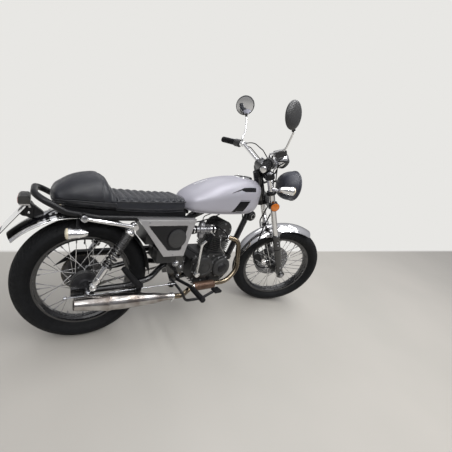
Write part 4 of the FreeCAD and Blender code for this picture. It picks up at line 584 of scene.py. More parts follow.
@dataclass(frozen=True)
class Finish:
    """A surface of one colour with soft patches, uneven gloss and fine relief.

    Attributes:
        name: The material's name.
        colour: Main colour.
        shade: Colour of the patches, or None for a darker main colour.
        patch: Patches per metre.
        metallic: 1 for bare metal.
        rough: Lowest and highest roughness.
        grain: Relief cells per metre.
        relief: Depth of the relief in millimetres.
        stretch: Scale along each axis, for brushed surfaces.
        turn: Turn of the stretched pattern.
        extras: Further values of the shader, by socket name.
    """

    name: str
    colour: tuple[float, float, float]
    shade: tuple[float, float, float] | None = None
    patch: float = 14.0
    metallic: float = 0.0
    rough: tuple[float, float] = (0.35, 0.5)
    grain: float = 600.0
    relief: float = 0.0
    stretch: tuple[float, float, float] = (1.0, 1.0, 1.0)
    turn: tuple[float, float, float] = (0.0, 0.0, 0.0)
    extras: tuple[tuple[str, object], ...] = ()

    def material(self) -> bpy.types.Material:
        """Return the material, built at the first call.

        Returns:
            The material.
        """
        known = bpy.data.materials.get(self.name)
        if known:
            return known
        wires = Wiring(self.name)
        self.dress(wires)
        for socket, value in self.extras:
            wires.feed(wires.shader.inputs[socket], value)
        return wires.material

    def dress(self, wires: Wiring) -> None:
        """Wire colour, roughness and relief to noise on the object's own coordinates.

        Args:
            wires: The material's nodes.
        """
        where = wires.place(self.stretch, self.turn)
        patches = wires.noise(where, self.patch)
        shade = self.shade or tuple(c * 0.82 for c in self.colour)
        share = wires.ranged(patches, 0.0, 1.0)
        wires.feed(wires.shader.inputs["Base Color"], wires.mixed(share, self.colour, shade))
        wires.feed(wires.shader.inputs["Metallic"], self.metallic)
        gloss = wires.noise(where, self.patch * 3.1, 4.0)
        wires.feed(wires.shader.inputs["Roughness"], wires.ranged(gloss, *self.rough))
        if self.relief:
            fine = wires.noise(where, self.grain, 2.0)
            wires.feed(wires.shader.inputs["Normal"], wires.bump(fine, self.relief))


@dataclass(frozen=True)
class Vinyl(Finish):
    """Vinyl with leather grain: creased cells over broad soft folds."""

    def dress(self, wires: Wiring) -> None:
        """Add cell creases and broad soft folds to the plain finish.

        Args:
            wires: The material's nodes.
        """
        super().dress(wires)
        where = wires.place()
        waver = wires.node("TexNoise", Vector=where, Scale=120.0, Detail=2.0).outputs["Color"]
        bent = wires.node("VectorMath", {"operation": "MULTIPLY_ADD"}, i0=waver,
                          i1=(0.004, 0.004, 0.004), i2=where)
        cells = wires.node("TexVoronoi", {"feature": "DISTANCE_TO_EDGE"}, Vector=bent.outputs[0],
                           Scale=self.grain)
        creases = wires.ranged(cells.outputs["Distance"], 0.0, 1.0, 0.0, 0.22)
        broad = wires.noise(where, 28.0, 3.0)
        soft = wires.bump(broad, 1.1)
        wires.feed(wires.shader.inputs["Normal"], wires.bump(creases, self.relief, soft))


@dataclass(frozen=True)
class Lens(Finish):
    """Moulded lens with fine upright flutes."""

    def dress(self, wires: Wiring) -> None:
        """Colour by patches, and flutes from a wave across the piece.

        Args:
            wires: The material's nodes.
        """
        super().dress(wires)
        wave = wires.node("TexWave", Vector=wires.place(), Scale=self.grain, Distortion=0.4)
        wires.feed(wires.shader.inputs["Normal"], wires.bump(wave.outputs["Fac"], self.relief))


CLEAR = (("Coat Weight", 1.0), ("Coat Roughness", 0.03))
DULL = (("Specular IOR Level", 0.22),)
PAINT = Finish("silver_paint", hue(160, 159, 173), hue(150, 149, 163), 5.0, 0.45, (0.2, 0.26), 2600.0, 0.006,
               extras=CLEAR)
PANEL_PAINT = Finish("panel_silver", hue(176, 175, 176), hue(164, 163, 165), 9.0, 0.6, (0.3, 0.38),
                     2600.0, 0.006, extras=CLEAR)
# Flat black for the tank's printed stripes, and for the painted dark reflection band on the rear fender's
# sides.
BLACK_PRINT_AND_PAINTED_REFLECTION = Finish("black_print_and_painted_reflection", hue(14, 14, 18), None, 20.0, 0.0, (0.2, 0.28), extras=DULL)
# Flat white for the gauge's printed marks, and for painted highlights: the streak on the tank and the glints
# of the fender's bolt heads.
WHITE_PRINT_AND_PAINTED_HIGHLIGHT = Finish("white_print_and_painted_highlight", hue(226, 226, 228), None, 20.0, 0.0, (0.25, 0.32), extras=CLEAR)
CHROME = Finish("chrome", hue(226, 226, 228), hue(206, 207, 210), 7.0, 1.0, (0.05, 0.13), 900.0, 0.004)
BRUSHED = Finish("brushed_steel", hue(196, 195, 194), hue(172, 171, 170), 6.0, 1.0, (0.2, 0.34), 500.0, 0.012,
                 (1.0, 14.0, 14.0))
HEATED = Finish("heated_chrome", hue(158, 145, 124), hue(112, 100, 84), 9.0, 1.0, (0.16, 0.28), 600.0, 0.008)
HEAT_BOX = Finish("heat_brown_steel", hue(82, 58, 46), hue(118, 96, 82), 12.0, 0.7, (0.34, 0.5), 500.0, 0.02)
FRAME_BLACK = Finish("frame_black", hue(13, 13, 15), hue(18, 18, 20), 12.0, 0.0, (0.16, 0.3), 700.0, 0.01,
                     extras=CLEAR)
SATIN_BLACK = Finish("satin_black", hue(16, 16, 18), hue(22, 22, 24), 16.0, 0.0, (0.3, 0.44), 900.0, 0.02,
                     extras=(("Specular IOR Level", 0.34),))
ENGINE_BLACK = Finish("engine_black", hue(13, 13, 15), hue(20, 20, 22), 22.0, 0.0, (0.34, 0.54), 1400.0, 0.06,
                      extras=(("Specular IOR Level", 0.28),))
CAST = Finish("cast_aluminium", hue(150, 151, 154), hue(116, 117, 121), 20.0, 0.85, (0.36, 0.55),
              1500.0, 0.05)
POLISHED = Finish("polished_aluminium", hue(196, 197, 200), hue(172, 173, 177), 12.0, 1.0, (0.14, 0.26),
                  900.0, 0.01)
ZINC = Finish("bolt_zinc", hue(178, 178, 180), hue(138, 138, 141), 60.0, 1.0, (0.22, 0.4), 2200.0, 0.02)
STEEL = Finish("dark_steel", hue(108, 107, 108), hue(76, 75, 76), 40.0, 1.0, (0.3, 0.5), 1800.0, 0.03)
TYRE = Finish("tyre_rubber", hue(11, 12, 14), hue(18, 19, 21), 26.0, 0.0, (0.56, 0.74), 2600.0, 0.05,
              extras=DULL)
RUBBER = Finish("black_rubber", hue(15, 15, 17), hue(22, 22, 24), 34.0, 0.0, (0.5, 0.68), 2400.0, 0.03,
                extras=DULL)
PLASTIC = Finish("black_plastic", hue(20, 20, 23), hue(27, 27, 30), 30.0, 0.0, (0.38, 0.5), 2600.0, 0.03,
                 extras=DULL)
SLATE = Finish("slate_lamp_paint", hue(54, 56, 66), hue(46, 48, 57), 10.0, 0.0, (0.42, 0.54), 2200.0, 0.01)
GUARD_BLACK = Finish("mudguard_black", hue(20, 20, 22), hue(30, 30, 32), 12.0, 0.0, (0.48, 0.66),
                     1400.0, 0.04, extras=DULL)
VINYL = Vinyl("seat_vinyl", hue(28, 30, 37), hue(20, 22, 28), 16.0, 0.0, (0.3, 0.44), 520.0, 0.13,
              extras=(("Sheen Weight", 0.12), ("Sheen Roughness", 0.4), ("Specular IOR Level", 0.55)))
PIPING = Finish("seat_piping", hue(30, 31, 35), None, 60.0, 0.0, (0.4, 0.55), 1500.0, 0.05)
AMBER = Lens("amber_lens", hue(232, 132, 30), hue(214, 110, 20), 30.0, 0.0, (0.12, 0.2), 90.0, 0.12,
             extras=(("Coat Weight", 0.8), ("Transmission Weight", 0.15)))
CREAM = Lens("cream_lens", hue(232, 222, 196), hue(214, 200, 166), 40.0, 0.0, (0.14, 0.22), 90.0, 0.1,
             extras=(("Coat Weight", 0.8), ("Transmission Weight", 0.2)))
RED = Lens("red_lens", hue(150, 18, 22), hue(112, 8, 12), 40.0, 0.0, (0.1, 0.2), 90.0, 0.12,
           extras=(("Coat Weight", 0.9), ("Transmission Weight", 0.2)))
GLASS = Lens("lamp_glass", hue(236, 240, 242), hue(226, 231, 234), 12.0, 0.0, (0.03, 0.07), 60.0, 0.12,
             extras=(("Transmission Weight", 1.0), ("IOR", 1.48)))
MIRROR = Finish("mirror_glass", hue(228, 230, 232), hue(222, 224, 227), 5.0, 1.0, (0.01, 0.03))
PLATE = Finish("plate_white", hue(226, 226, 222), hue(212, 212, 206), 20.0, 0.0, (0.4, 0.55), 800.0, 0.01)
CHAIN = Finish("chain_steel", hue(120, 116, 108), hue(70, 66, 60), 120.0, 1.0, (0.3, 0.5), 2400.0, 0.02)
SILENCER = Finish("silencer_chrome", hue(198, 196, 194), hue(132, 123, 116), 16.0, 1.0, (0.1, 0.26),
                  420.0, 0.016)
BRIGHT_CAST = Finish("bright_cast", hue(176, 176, 178), hue(146, 146, 149), 30.0, 0.9, (0.26, 0.42),
                     1500.0, 0.03)
LAMP_GREY = Finish("lamp_grey", hue(62, 61, 59), hue(52, 51, 49), 20.0, 0.1, (0.3, 0.42), 1400.0, 0.01)
PALE_LENS = Lens("pale_lens", hue(206, 176, 170), hue(192, 156, 150), 40.0, 0.0, (0.12, 0.2), 90.0, 0.08,
                 extras=(("Coat Weight", 0.8),))
DARK_CAST = Finish("dark_cast", hue(48, 48, 50), hue(66, 66, 68), 24.0, 0.5, (0.32, 0.46), 1500.0, 0.03)
DISC = Finish("disc_steel", hue(128, 128, 130), hue(104, 104, 107), 30.0, 1.0, (0.22, 0.34), 700.0, 0.01)


class Workshop:
    """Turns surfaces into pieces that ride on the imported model."""

    @staticmethod
    def solid(name: str, parts: Sequence[Part], finishes: Sequence[Finish],
              station: Station) -> bpy.types.Object:
        """Build a mesh object from parts, with its doubles merged and its faces outward.

        Args:
            name: Name of the piece.
            parts: Surfaces in the station's millimetres.
            finishes: Materials, by the parts' numbers.
            station: Drawing frame of the parts.

        Returns:
            The object, at the origin.
        """
        whole = gathered(parts)
        mesh = bpy.data.meshes.new(name)
        mesh.from_pydata(station.put(whole.verts).tolist(), [], whole.faces)
        marks = np.repeat([p.finish for p in parts], [len(p.faces) for p in parts])
        mesh.polygons.foreach_set("material_index", marks.astype(np.int32))
        for finish in finishes:
            mesh.materials.append(finish.material())
        work = bmesh.new()
        work.from_mesh(mesh)
        bmesh.ops.remove_doubles(work, verts=work.verts, dist=2e-6)
        bmesh.ops.recalc_face_normals(work, faces=work.faces)
        work.to_mesh(mesh)
        work.free()
        made = bpy.data.objects.new(name, mesh)
        bpy.context.scene.collection.objects.link(made)
        return made

    @classmethod
    def piece(cls, name: str, parts: Sequence[Part], finishes: Sequence[Finish], body: Body, slot: str,
              replaces: Sequence[str] = (), crease: float = 35.0) -> bpy.types.Object:
        """Args:
            name: Name of the piece.
            parts: Surfaces in the body's drawing frame.
            finishes: Materials, by the parts' numbers.
            body: Body that it rides on.
            slot: The record's material slot; not used.
            replaces: Solids that it stands for.
            crease: Angle in degrees over which an edge stays sharp.

        Returns:
            The object.
        """
        made = cls.solid(name, parts, finishes, STATIONS[body])
        made.data.shade_smooth()
        made.data.set_sharp_from_angle(angle=math.radians(crease))
        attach(made, body.value)
        if replaces:
            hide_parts(*replaces)
        LOG.info("%s: %d faces", name, len(made.data.polygons))
        return made


def dress_node(name: str, finish: Finish) -> None:
    """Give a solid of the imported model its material.

    Args:
        name: Name of the solid.
        finish: Its finish.
    """
    node = frame["nodes"][name]
    node.data.materials.clear()
    node.data.materials.append(finish.material())


# Seat and tank


@dataclass
class Loft:
    """A long body through sections given as shares.

    Attributes:
        rows: Place along, half width, underside, widest height and top, as shares.
        start: X of the rear end.
        end: X of the front end.
        half: Half width.
        low: Lowest height.
        height: Height over the lowest.
        power: Squareness of the sections; 1 is an ellipse.
        under: Squareness below the widest height, or 0 for the same.
    """

    rows: Sequence[Sequence[float]]
    start: float
    end: float
    half: float
    low: float
    height: float
    power: float
    under: float = 0.0

    def levels(self, x: np.ndarray) -> np.ndarray:
        """Half width, underside, widest height and top at each x, by a cubic through the rows.

        Args:
            x: Places along the piece.

        Returns:
            Array (len(x), 4).
        """
        table = np.array(self.rows, float)
        share = np.clip((x - self.start) / (self.end - self.start), 0, 1)
        read = smooth(table[:, 1:], table[:, 0], share)
        return np.column_stack([read[:, 0] * self.half, self.low + self.height * read[:, 1:]])

    def grid(self, x: np.ndarray, turns: np.ndarray) -> np.ndarray:
        """Section points: half width times cosine and reach times sine, each raised to the power.

        Args:
            x: Places along the body.
            turns: Angles round a section, 0 at the widest left point.

        Returns:
            Array (len(x), len(turns), 3).
        """
        wide, under, middle, top = self.levels(x).T[:, :, None]
        power = np.where(np.sin(turns) < 0, self.under or self.power, self.power)
        across = np.sign(np.cos(turns)) * np.abs(np.cos(turns)) ** power
        upward = np.sign(np.sin(turns)) * np.abs(np.sin(turns)) ** power
        reach = np.where(upward[None] > 0, top - middle, middle - under)
        points = np.stack(np.broadcast_arrays(x[:, None], wide * across[None], middle + reach * upward[None]),
                          -1)
        return points

    def side(self, x: np.ndarray, z: np.ndarray) -> np.ndarray:
        """Half width at a height: the widest times the section's curve read at that height.

        Args:
            x: Places along the piece.
            z: Heights.

        Returns:
            Half width at each place.
        """
        wide, under, middle, top = self.levels(x).T
        reach = np.where(z > middle, top - middle, middle - under)
        power = np.where(z > middle, self.power, self.under or self.power)
        share = np.clip(np.abs(z - middle) / reach, 0, 1) ** (2 / power)
        return wide * (1 - share) ** (power / 2)


def puffed(made: bpy.types.Object, cap: float, pressure: float = 4.0, voxel: float = 0.005) -> None:
    """Swell a piece as cloth under pressure, with each point's way capped, and apply the result.

    Args:
        made: The piece, at the origin.
        cap: Longest way of a point in millimetres.
        pressure: Pressure inside.
        voxel: Size of the new mesh's cells in metres.
    """
    remesh = made.modifiers.new("even", "REMESH")
    remesh.mode = "VOXEL"
    remesh.voxel_size = voxel
    apply_modifiers(made)
    mesh = made.data
    before = points_of(mesh)
    cloth = made.modifiers.new("cloth", "CLOTH")
    cloth.settings.use_pressure = True
    cloth.settings.uniform_pressure_force = pressure
    cloth.settings.effector_weights.gravity = 0.0
    cloth.settings.quality = 5
    for number in range(1, 21):
        bpy.context.scene.frame_set(number)
    apply_modifiers(made)
    bpy.context.scene.frame_set(1)
    mesh = made.data
    way = points_of(mesh) - before
    length = np.linalg.norm(way, axis=1, keepdims=True)
    way *= np.minimum(1.0, cap * MM / np.maximum(length, 1e-9))
    put_points(mesh, before + way)
    split = made.modifiers.new("fine", "SUBSURF")
    split.levels = split.render_levels = 1
    apply_modifiers(made)


def apply_modifiers(made: bpy.types.Object) -> None:
    """Replace a piece's mesh by what its modifiers give.

    Args:
        made: The piece.
    """
    graph = bpy.context.evaluated_depsgraph_get()
    new = bpy.data.meshes.new_from_object(made.evaluated_get(graph))
    old = made.data
    made.modifiers.clear()
    made.data = new
    bpy.data.meshes.remove(old)


def points_of(mesh: bpy.types.Mesh) -> np.ndarray:
    """All points of a mesh, one row each.

    Args:
        mesh: The mesh.

    Returns:
        Array (n, 3).
    """
    co = np.empty(len(mesh.vertices) * 3)
    mesh.vertices.foreach_get("co", co)
    return co.reshape(-1, 3)


def put_points(mesh: bpy.types.Mesh, points: np.ndarray) -> None:
    """Write all points of a mesh."""
    mesh.vertices.foreach_set("co", points.ravel())
    mesh.update()


def normals_of(mesh: bpy.types.Mesh) -> np.ndarray:
    """All point normals of a mesh, one row each.

    Args:
        mesh: The mesh.

    Returns:
        Array (n, 3).
    """
    found = np.empty(len(mesh.vertices) * 3)
    mesh.vertex_normals.foreach_get("vector", found)
    return found.reshape(-1, 3)


def valley(gap: np.ndarray, width: float) -> np.ndarray:
    """Depth of a crease at a distance from it: 1 in it, falling by a bell to 0."""
    return np.exp(-((gap / width) ** 2))


@dataclass
class Seat:
    """Padded bench with cross pleats, and the humped tail behind it.

    Attributes:
        pleats: X of each pleat.
        seam_z: Height of the side seam.
        pad: Form of the bench.
        hump: Form of the tail.
    """

    pleats: tuple = (123, 160, 196, 230, 265, 303, 338, 376, 412, 445)
    seam_z: float = 748.0
    pad: Loft = field(default_factory=lambda: Loft(
        ((0.00, 0.90, 0.24, 0.60, 1.00), (0.25, 0.99, 0.18, 0.55, 0.99), (0.50, 0.95, 0.06, 0.50, 0.97),
         (0.75, 0.87, 0.00, 0.50, 0.96), (0.92, 0.78, 0.00, 0.50, 1.00), (1.00, 0.68, 0.00, 0.50, 1.02)),
        -40.0, 470.0, 120.0, 690.0, 73.0, 0.42))
    hump: Loft = field(default_factory=lambda: Loft(
        ((0.00, 0.42, 0.16, 0.24, 0.33), (0.03, 0.62, 0.12, 0.26, 0.46), (0.12, 0.82, 0.09, 0.28, 0.64),
         (0.28, 0.95, 0.06, 0.26, 0.82), (0.46, 1.00, 0.04, 0.24, 0.94), (0.64, 1.00, 0.02, 0.22, 1.00),
         (0.74, 1.00, 0.01, 0.20, 0.98), (0.84, 0.99, 0.00, 0.18, 0.80), (0.93, 0.98, 0.00, 0.16, 0.58),
         (1.00, 0.97, 0.00, 0.14, 0.44)), -146.0, 118.0, 126.0, 704.0, 142.0, 0.72))

    def bench(self) -> None:
        """Swell the bench, then press its pleats, side seam and lower edge into it."""
        x = np.concatenate([[104.0], np.linspace(110, 462, 90), [468.0]])
        turns = np.arange(96) * FULL / 96
        points = self.pad.grid(x, turns)
        points[0] = points[1] * vec(0, 0.96, 0.04) + vec(104.0, 0, 0.96 * 716)
        points[-1] = points[-2] * vec(0, 0.94, 0.06) + vec(468.0, 0, 0.94 * 720)
        made = Workshop.solid("bench_pad", [lattice(points, close_v=True, cap=True)], [VINYL],
                              STATIONS[Body.FRAME])
        puffed(made, 4.0)
        bike = STATIONS[Body.FRAME]
        drawn = bike.read(points_of(made.data))
        normals = normals_of(made.data)
        upward = normals @ bike.axes[:, 2]
        seam = valley(drawn[:, 2] - self.seam_z, 3.0) * (np.abs(drawn[:, 1]) > 60)
        above = np.clip((drawn[:, 2] - self.seam_z) / 6.0, 0, 1)
        gap = np.min(np.abs(drawn[:, 0, None] - np.array(self.pleats)), axis=1)
        roll = 5.0 * np.clip(gap / 17.0, 0, 1) ** 0.5 - 5.0
        scallop = 2.4 * np.clip(gap / 17.0, 0, 1) * valley(drawn[:, 2] - self.seam_z - 8.0, 9.0)
        skirt = 1.8 * valley(drawn[:, 2] - 716.0, 12.0) * (np.abs(drawn[:, 1]) > 60)
        move = above * (roll + scallop) - 3.0 * seam + skirt * (upward > -0.5)
        put_points(made.data, bike.put(drawn) + normals * (move * MM)[:, None])
        self.finish(made, "black_vinyl", ("seat_pad",))
        wrinkle = np.linspace(112, 464, 120)
        level = np.full_like(wrinkle, self.seam_z - 1.5)
        edge = self.pad.side(wrinkle, level) + 0.6
        cord = tube(np.stack([wrinkle, edge, level], 1), 2.1, 8)
        hem = np.full_like(wrinkle, 0.0) + self.pad.levels(wrinkle)[:, 1] + 7.0
        lower = tube(np.stack([wrinkle, self.pad.side(wrinkle, hem) + 0.4, hem], 1), 2.4, 8)
        Workshop.piece("bench_piping", both(cord) + both(lower), [PIPING], Body.FRAME, "black_vinyl")

    def tail(self) -> None:
        """Swell the hump, then press in its side seams and raise the band round its front edge."""
        x = np.concatenate([[-146.0], np.linspace(-142, 112, 80), [117.0]])
        turns = np.arange(96) * FULL / 96
        points = self.hump.grid(x, turns)
        points[-1] = points[-2] * vec(0, 0.97, 0.03) + vec(117.0, 0, 0.97 * 730)
        made = Workshop.solid("tail_hump", [lattice(points, close_v=True, cap=True)], [VINYL],
                              STATIONS[Body.FRAME])
        puffed(made, 4.0, 2.5)
        bike = STATIONS[Body.FRAME]
        drawn = bike.read(points_of(made.data))
        normals = normals_of(made.data)
        rim = np.interp(drawn[:, 0], [-146, -60, 60, 118], [742, 748, 742, 738])
        side_seam = valley(drawn[:, 2] - rim, 2.6) * (np.abs(drawn[:, 1]) > 50)
        band = 3.2 * valley((drawn[:, 0] - 70.0) / 1.0, 13.0) * (drawn[:, 2] > 742)
        groove = 2.6 * valley(drawn[:, 0] - 88.0, 3.0) + 2.2 * valley(drawn[:, 0] - 52.0, 3.0)
        centre = 1.6 * valley(drawn[:, 1], 2.4) * (drawn[:, 2] > 760) * (drawn[:, 0] < 52)
        move = band - groove * (drawn[:, 2] > 742) - 2.6 * side_seam - centre
        put_points(made.data, bike.put(drawn) + normals * (move * MM)[:, None])
        self.finish(made, "black_vinyl", ("seat_hump",))
        along = np.linspace(-140, 112, 90)
        level = np.interp(along, [-146, -60, 60, 118], [742, 748, 742, 738]) - 1.0
        cord = tube(np.stack([along, self.hump.side(along, level) + 0.8, level], 1), 2.0, 8)
        hem = self.hump.levels(along)[:, 1] + 6.0
        lower = tube(np.stack([along, self.hump.side(along, hem) + 0.6, hem], 1), 2.6, 8)
        Workshop.piece("tail_piping", both(cord) + both(lower), [PIPING], Body.FRAME, "black_vinyl")

    def finish(self, made: bpy.types.Object, slot: str, nodes: tuple) -> None:
        """Args:
            made: The piece.
            slot: Its material slot in the record; not used.
            nodes: Solids that it replaces.
        """
        made.data.shade_smooth()
        made.data.materials.clear()
        made.data.materials.append(VINYL.material())
        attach(made, Body.FRAME.value)
        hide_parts(*nodes)
        LOG.info("%s: %d faces", made.name, len(made.data.polygons))

    def build(self) -> None:
        """Make both pads."""
        self.bench()
        self.tail()


@dataclass
class Tank:
    """Fuel tank with its lower lip, side stripes, a painted highlight streak on each side, and cap.

    Attributes:
        shape: Form of the shell.
        cap_x: Middle of the cap.
        cap_z: Height of the cap.
    """

    shape: Loft = field(default_factory=lambda: Loft(
        ((0.000, 0.46, 0.08, 0.22, 0.36), (0.035, 0.64, 0.06, 0.26, 0.44), (0.110, 0.82, 0.03, 0.30, 0.57),
         (0.240, 0.95, 0.01, 0.36, 0.74), (0.400, 1.00, 0.00, 0.40, 0.89), (0.580, 0.99, 0.00, 0.42, 0.98),
         (0.740, 0.93, 0.01, 0.45, 1.00), (0.860, 0.80, 0.06, 0.50, 0.97), (0.940, 0.60, 0.16, 0.55, 0.90),
         (0.985, 0.36, 0.32, 0.60, 0.80), (1.000, 0.20, 0.42, 0.60, 0.74)),
        474.0, 968.0, 132.0, 690.0, 194.0, 0.78, 0.42))
    cap_x: float = 853.0
    cap_z: float = 884.0

    def stripe(self, upper: Sequence, lower: Sequence, lift: float = 0.35, finish: int = 1) -> list[Part]:
        """Thin sheet on the tank's side between two lines.

        A point is mixed between the lines, put on the side's curve at its height, and lifted off it.

        Args:
            upper: X and Z of the upper line.
            lower: X and Z of the lower line.
            lift: Height over the paint.
            finish: Number of the material.

        Returns:
            The sheet on both sides.
        """
        along, down = 40, 9

        def line(rows: Sequence) -> np.ndarray:
            """Even points along a broken line.

            Args:
                rows: Corners of the line, as X and Z.

            Returns:
                The points, one row each.
            """
            rows = np.array(rows, float)
            share = np.linspace(0, 1, along)
            way = np.concatenate([[0], np.cumsum(np.linalg.norm(np.diff(rows, axis=0), axis=1))])
            return np.stack([np.interp(share, way / way[-1], rows[:, k]) for k in (0, 1)], 1)

        mix = np.linspace(0, 1, down)[None, :, None]
        flat = line(upper)[:, None] * (1 - mix) + line(lower)[:, None] * mix
        x, z = flat[..., 0].ravel(), flat[..., 1].ravel()
        y = self.shape.side(x, z)
        outer = np.stack([x, y + lift, z], 1).reshape(along, down, 3)
        inner = np.stack([x, y - 1.2, z], 1).reshape(along, down, 3)
        ring = np.concatenate([outer, inner[:, ::-1]], 1)
        sheet = lattice(ring, close_v=True)
        size = ring.shape[1]
        ends = [list(range(size)), list(range((along - 1) * size, along * size))[::-1]]
        return both(Part(sheet.verts, sheet.faces + ends, finish))

    def cap(self) -> list[Part]:
        """Flush cap in a polished ring, tilted with the tank's top.

        Returns:
            The parts of the cap.
        """
        centre = vec(self.cap_x, 0, self.cap_z - 3.0)
        axis = vec(-0.03, 0, 1)
        ring = turned([(38, -6), (50, -6), (51.5, 0), (50, 4), (46, 6), (41, 5), (38, 1)], centre, axis,
                      64, ring=True)
        dome = turned([(38.5, -5), (38.5, 3), (34, 5.5), (24, 7), (10, 8)], centre, axis, 48)
        lock = turned([(9, 6), (9, 9.5), (7.5, 10.5)], centre, axis, 24)
        bolts = arranged(turned([(3.4, 2), (3.4, 7), (2.6, 8)], centre + vec(44.5, 0, -1.5), axis, 12),
                         np.arange(6) * FULL / 6, centre, axis)
        return [ring.dressed(0), dome.dressed(1), lock.dressed(0), bolts.dressed(2)]

    def build(self) -> None:
        """Make the tank, its lips, its stripes and painted highlight streaks, and the cap."""
        x = 474.0 + 494.0 * (0.5 - 0.5 * np.cos(np.linspace(0, math.pi, 110)))
        points = self.shape.grid(x, np.arange(120) * FULL / 120)
        body = lattice(points, close_v=True, cap=True)
        along = np.linspace(486, 940, 120)
        low = self.shape.levels(along)
        level = low[:, 1] + (low[:, 2] - low[:, 1]) * 0.12
        lip_path = np.stack([along, self.shape.side(along, level) + 0.5, level], 1)
        lip = carried(lip_path, rounded([(-4.5, -1.6), (4.5, -1.6), (4.5, 1.6), (-4.5, 1.6)], 1.4, 4))
        stripes = self.stripe([(701, 813), (784, 841), (830, 844), (873, 843)],
                              [(701, 811), (765, 828), (789, 821), (871, 822)])
        stripes += self.stripe([(763, 771), (800, 772), (837, 772)], [(713, 703), (750, 701), (788, 699)])
        stripes += self.stripe([(764, 777), (802, 778), (840, 778)],
                               [(764, 775.6), (802, 776.6), (840, 776.6)])
        # Thin white sheet on the upper rear of each side: a painted highlight, the streak of a lamp on the
        # glossy paint.
        stripes += self.stripe([(538, 826), (576, 842), (617, 856)],
                               [(538, 822), (576, 838), (617, 852)], finish=2)
        Workshop.piece("tank", [body] + both(lip) + stripes, [PAINT, BLACK_PRINT_AND_PAINTED_REFLECTION, WHITE_PRINT_AND_PAINTED_HIGHLIGHT], Body.FRAME,
                       "silver_paint", ("fuel_tank",), 50.0)
        Workshop.piece("tank_cap", self.cap(), [CHROME, SATIN_BLACK, ZINC], Body.FRAME, "chrome",
                       ("fuel_cap",))


# Wheels and drive


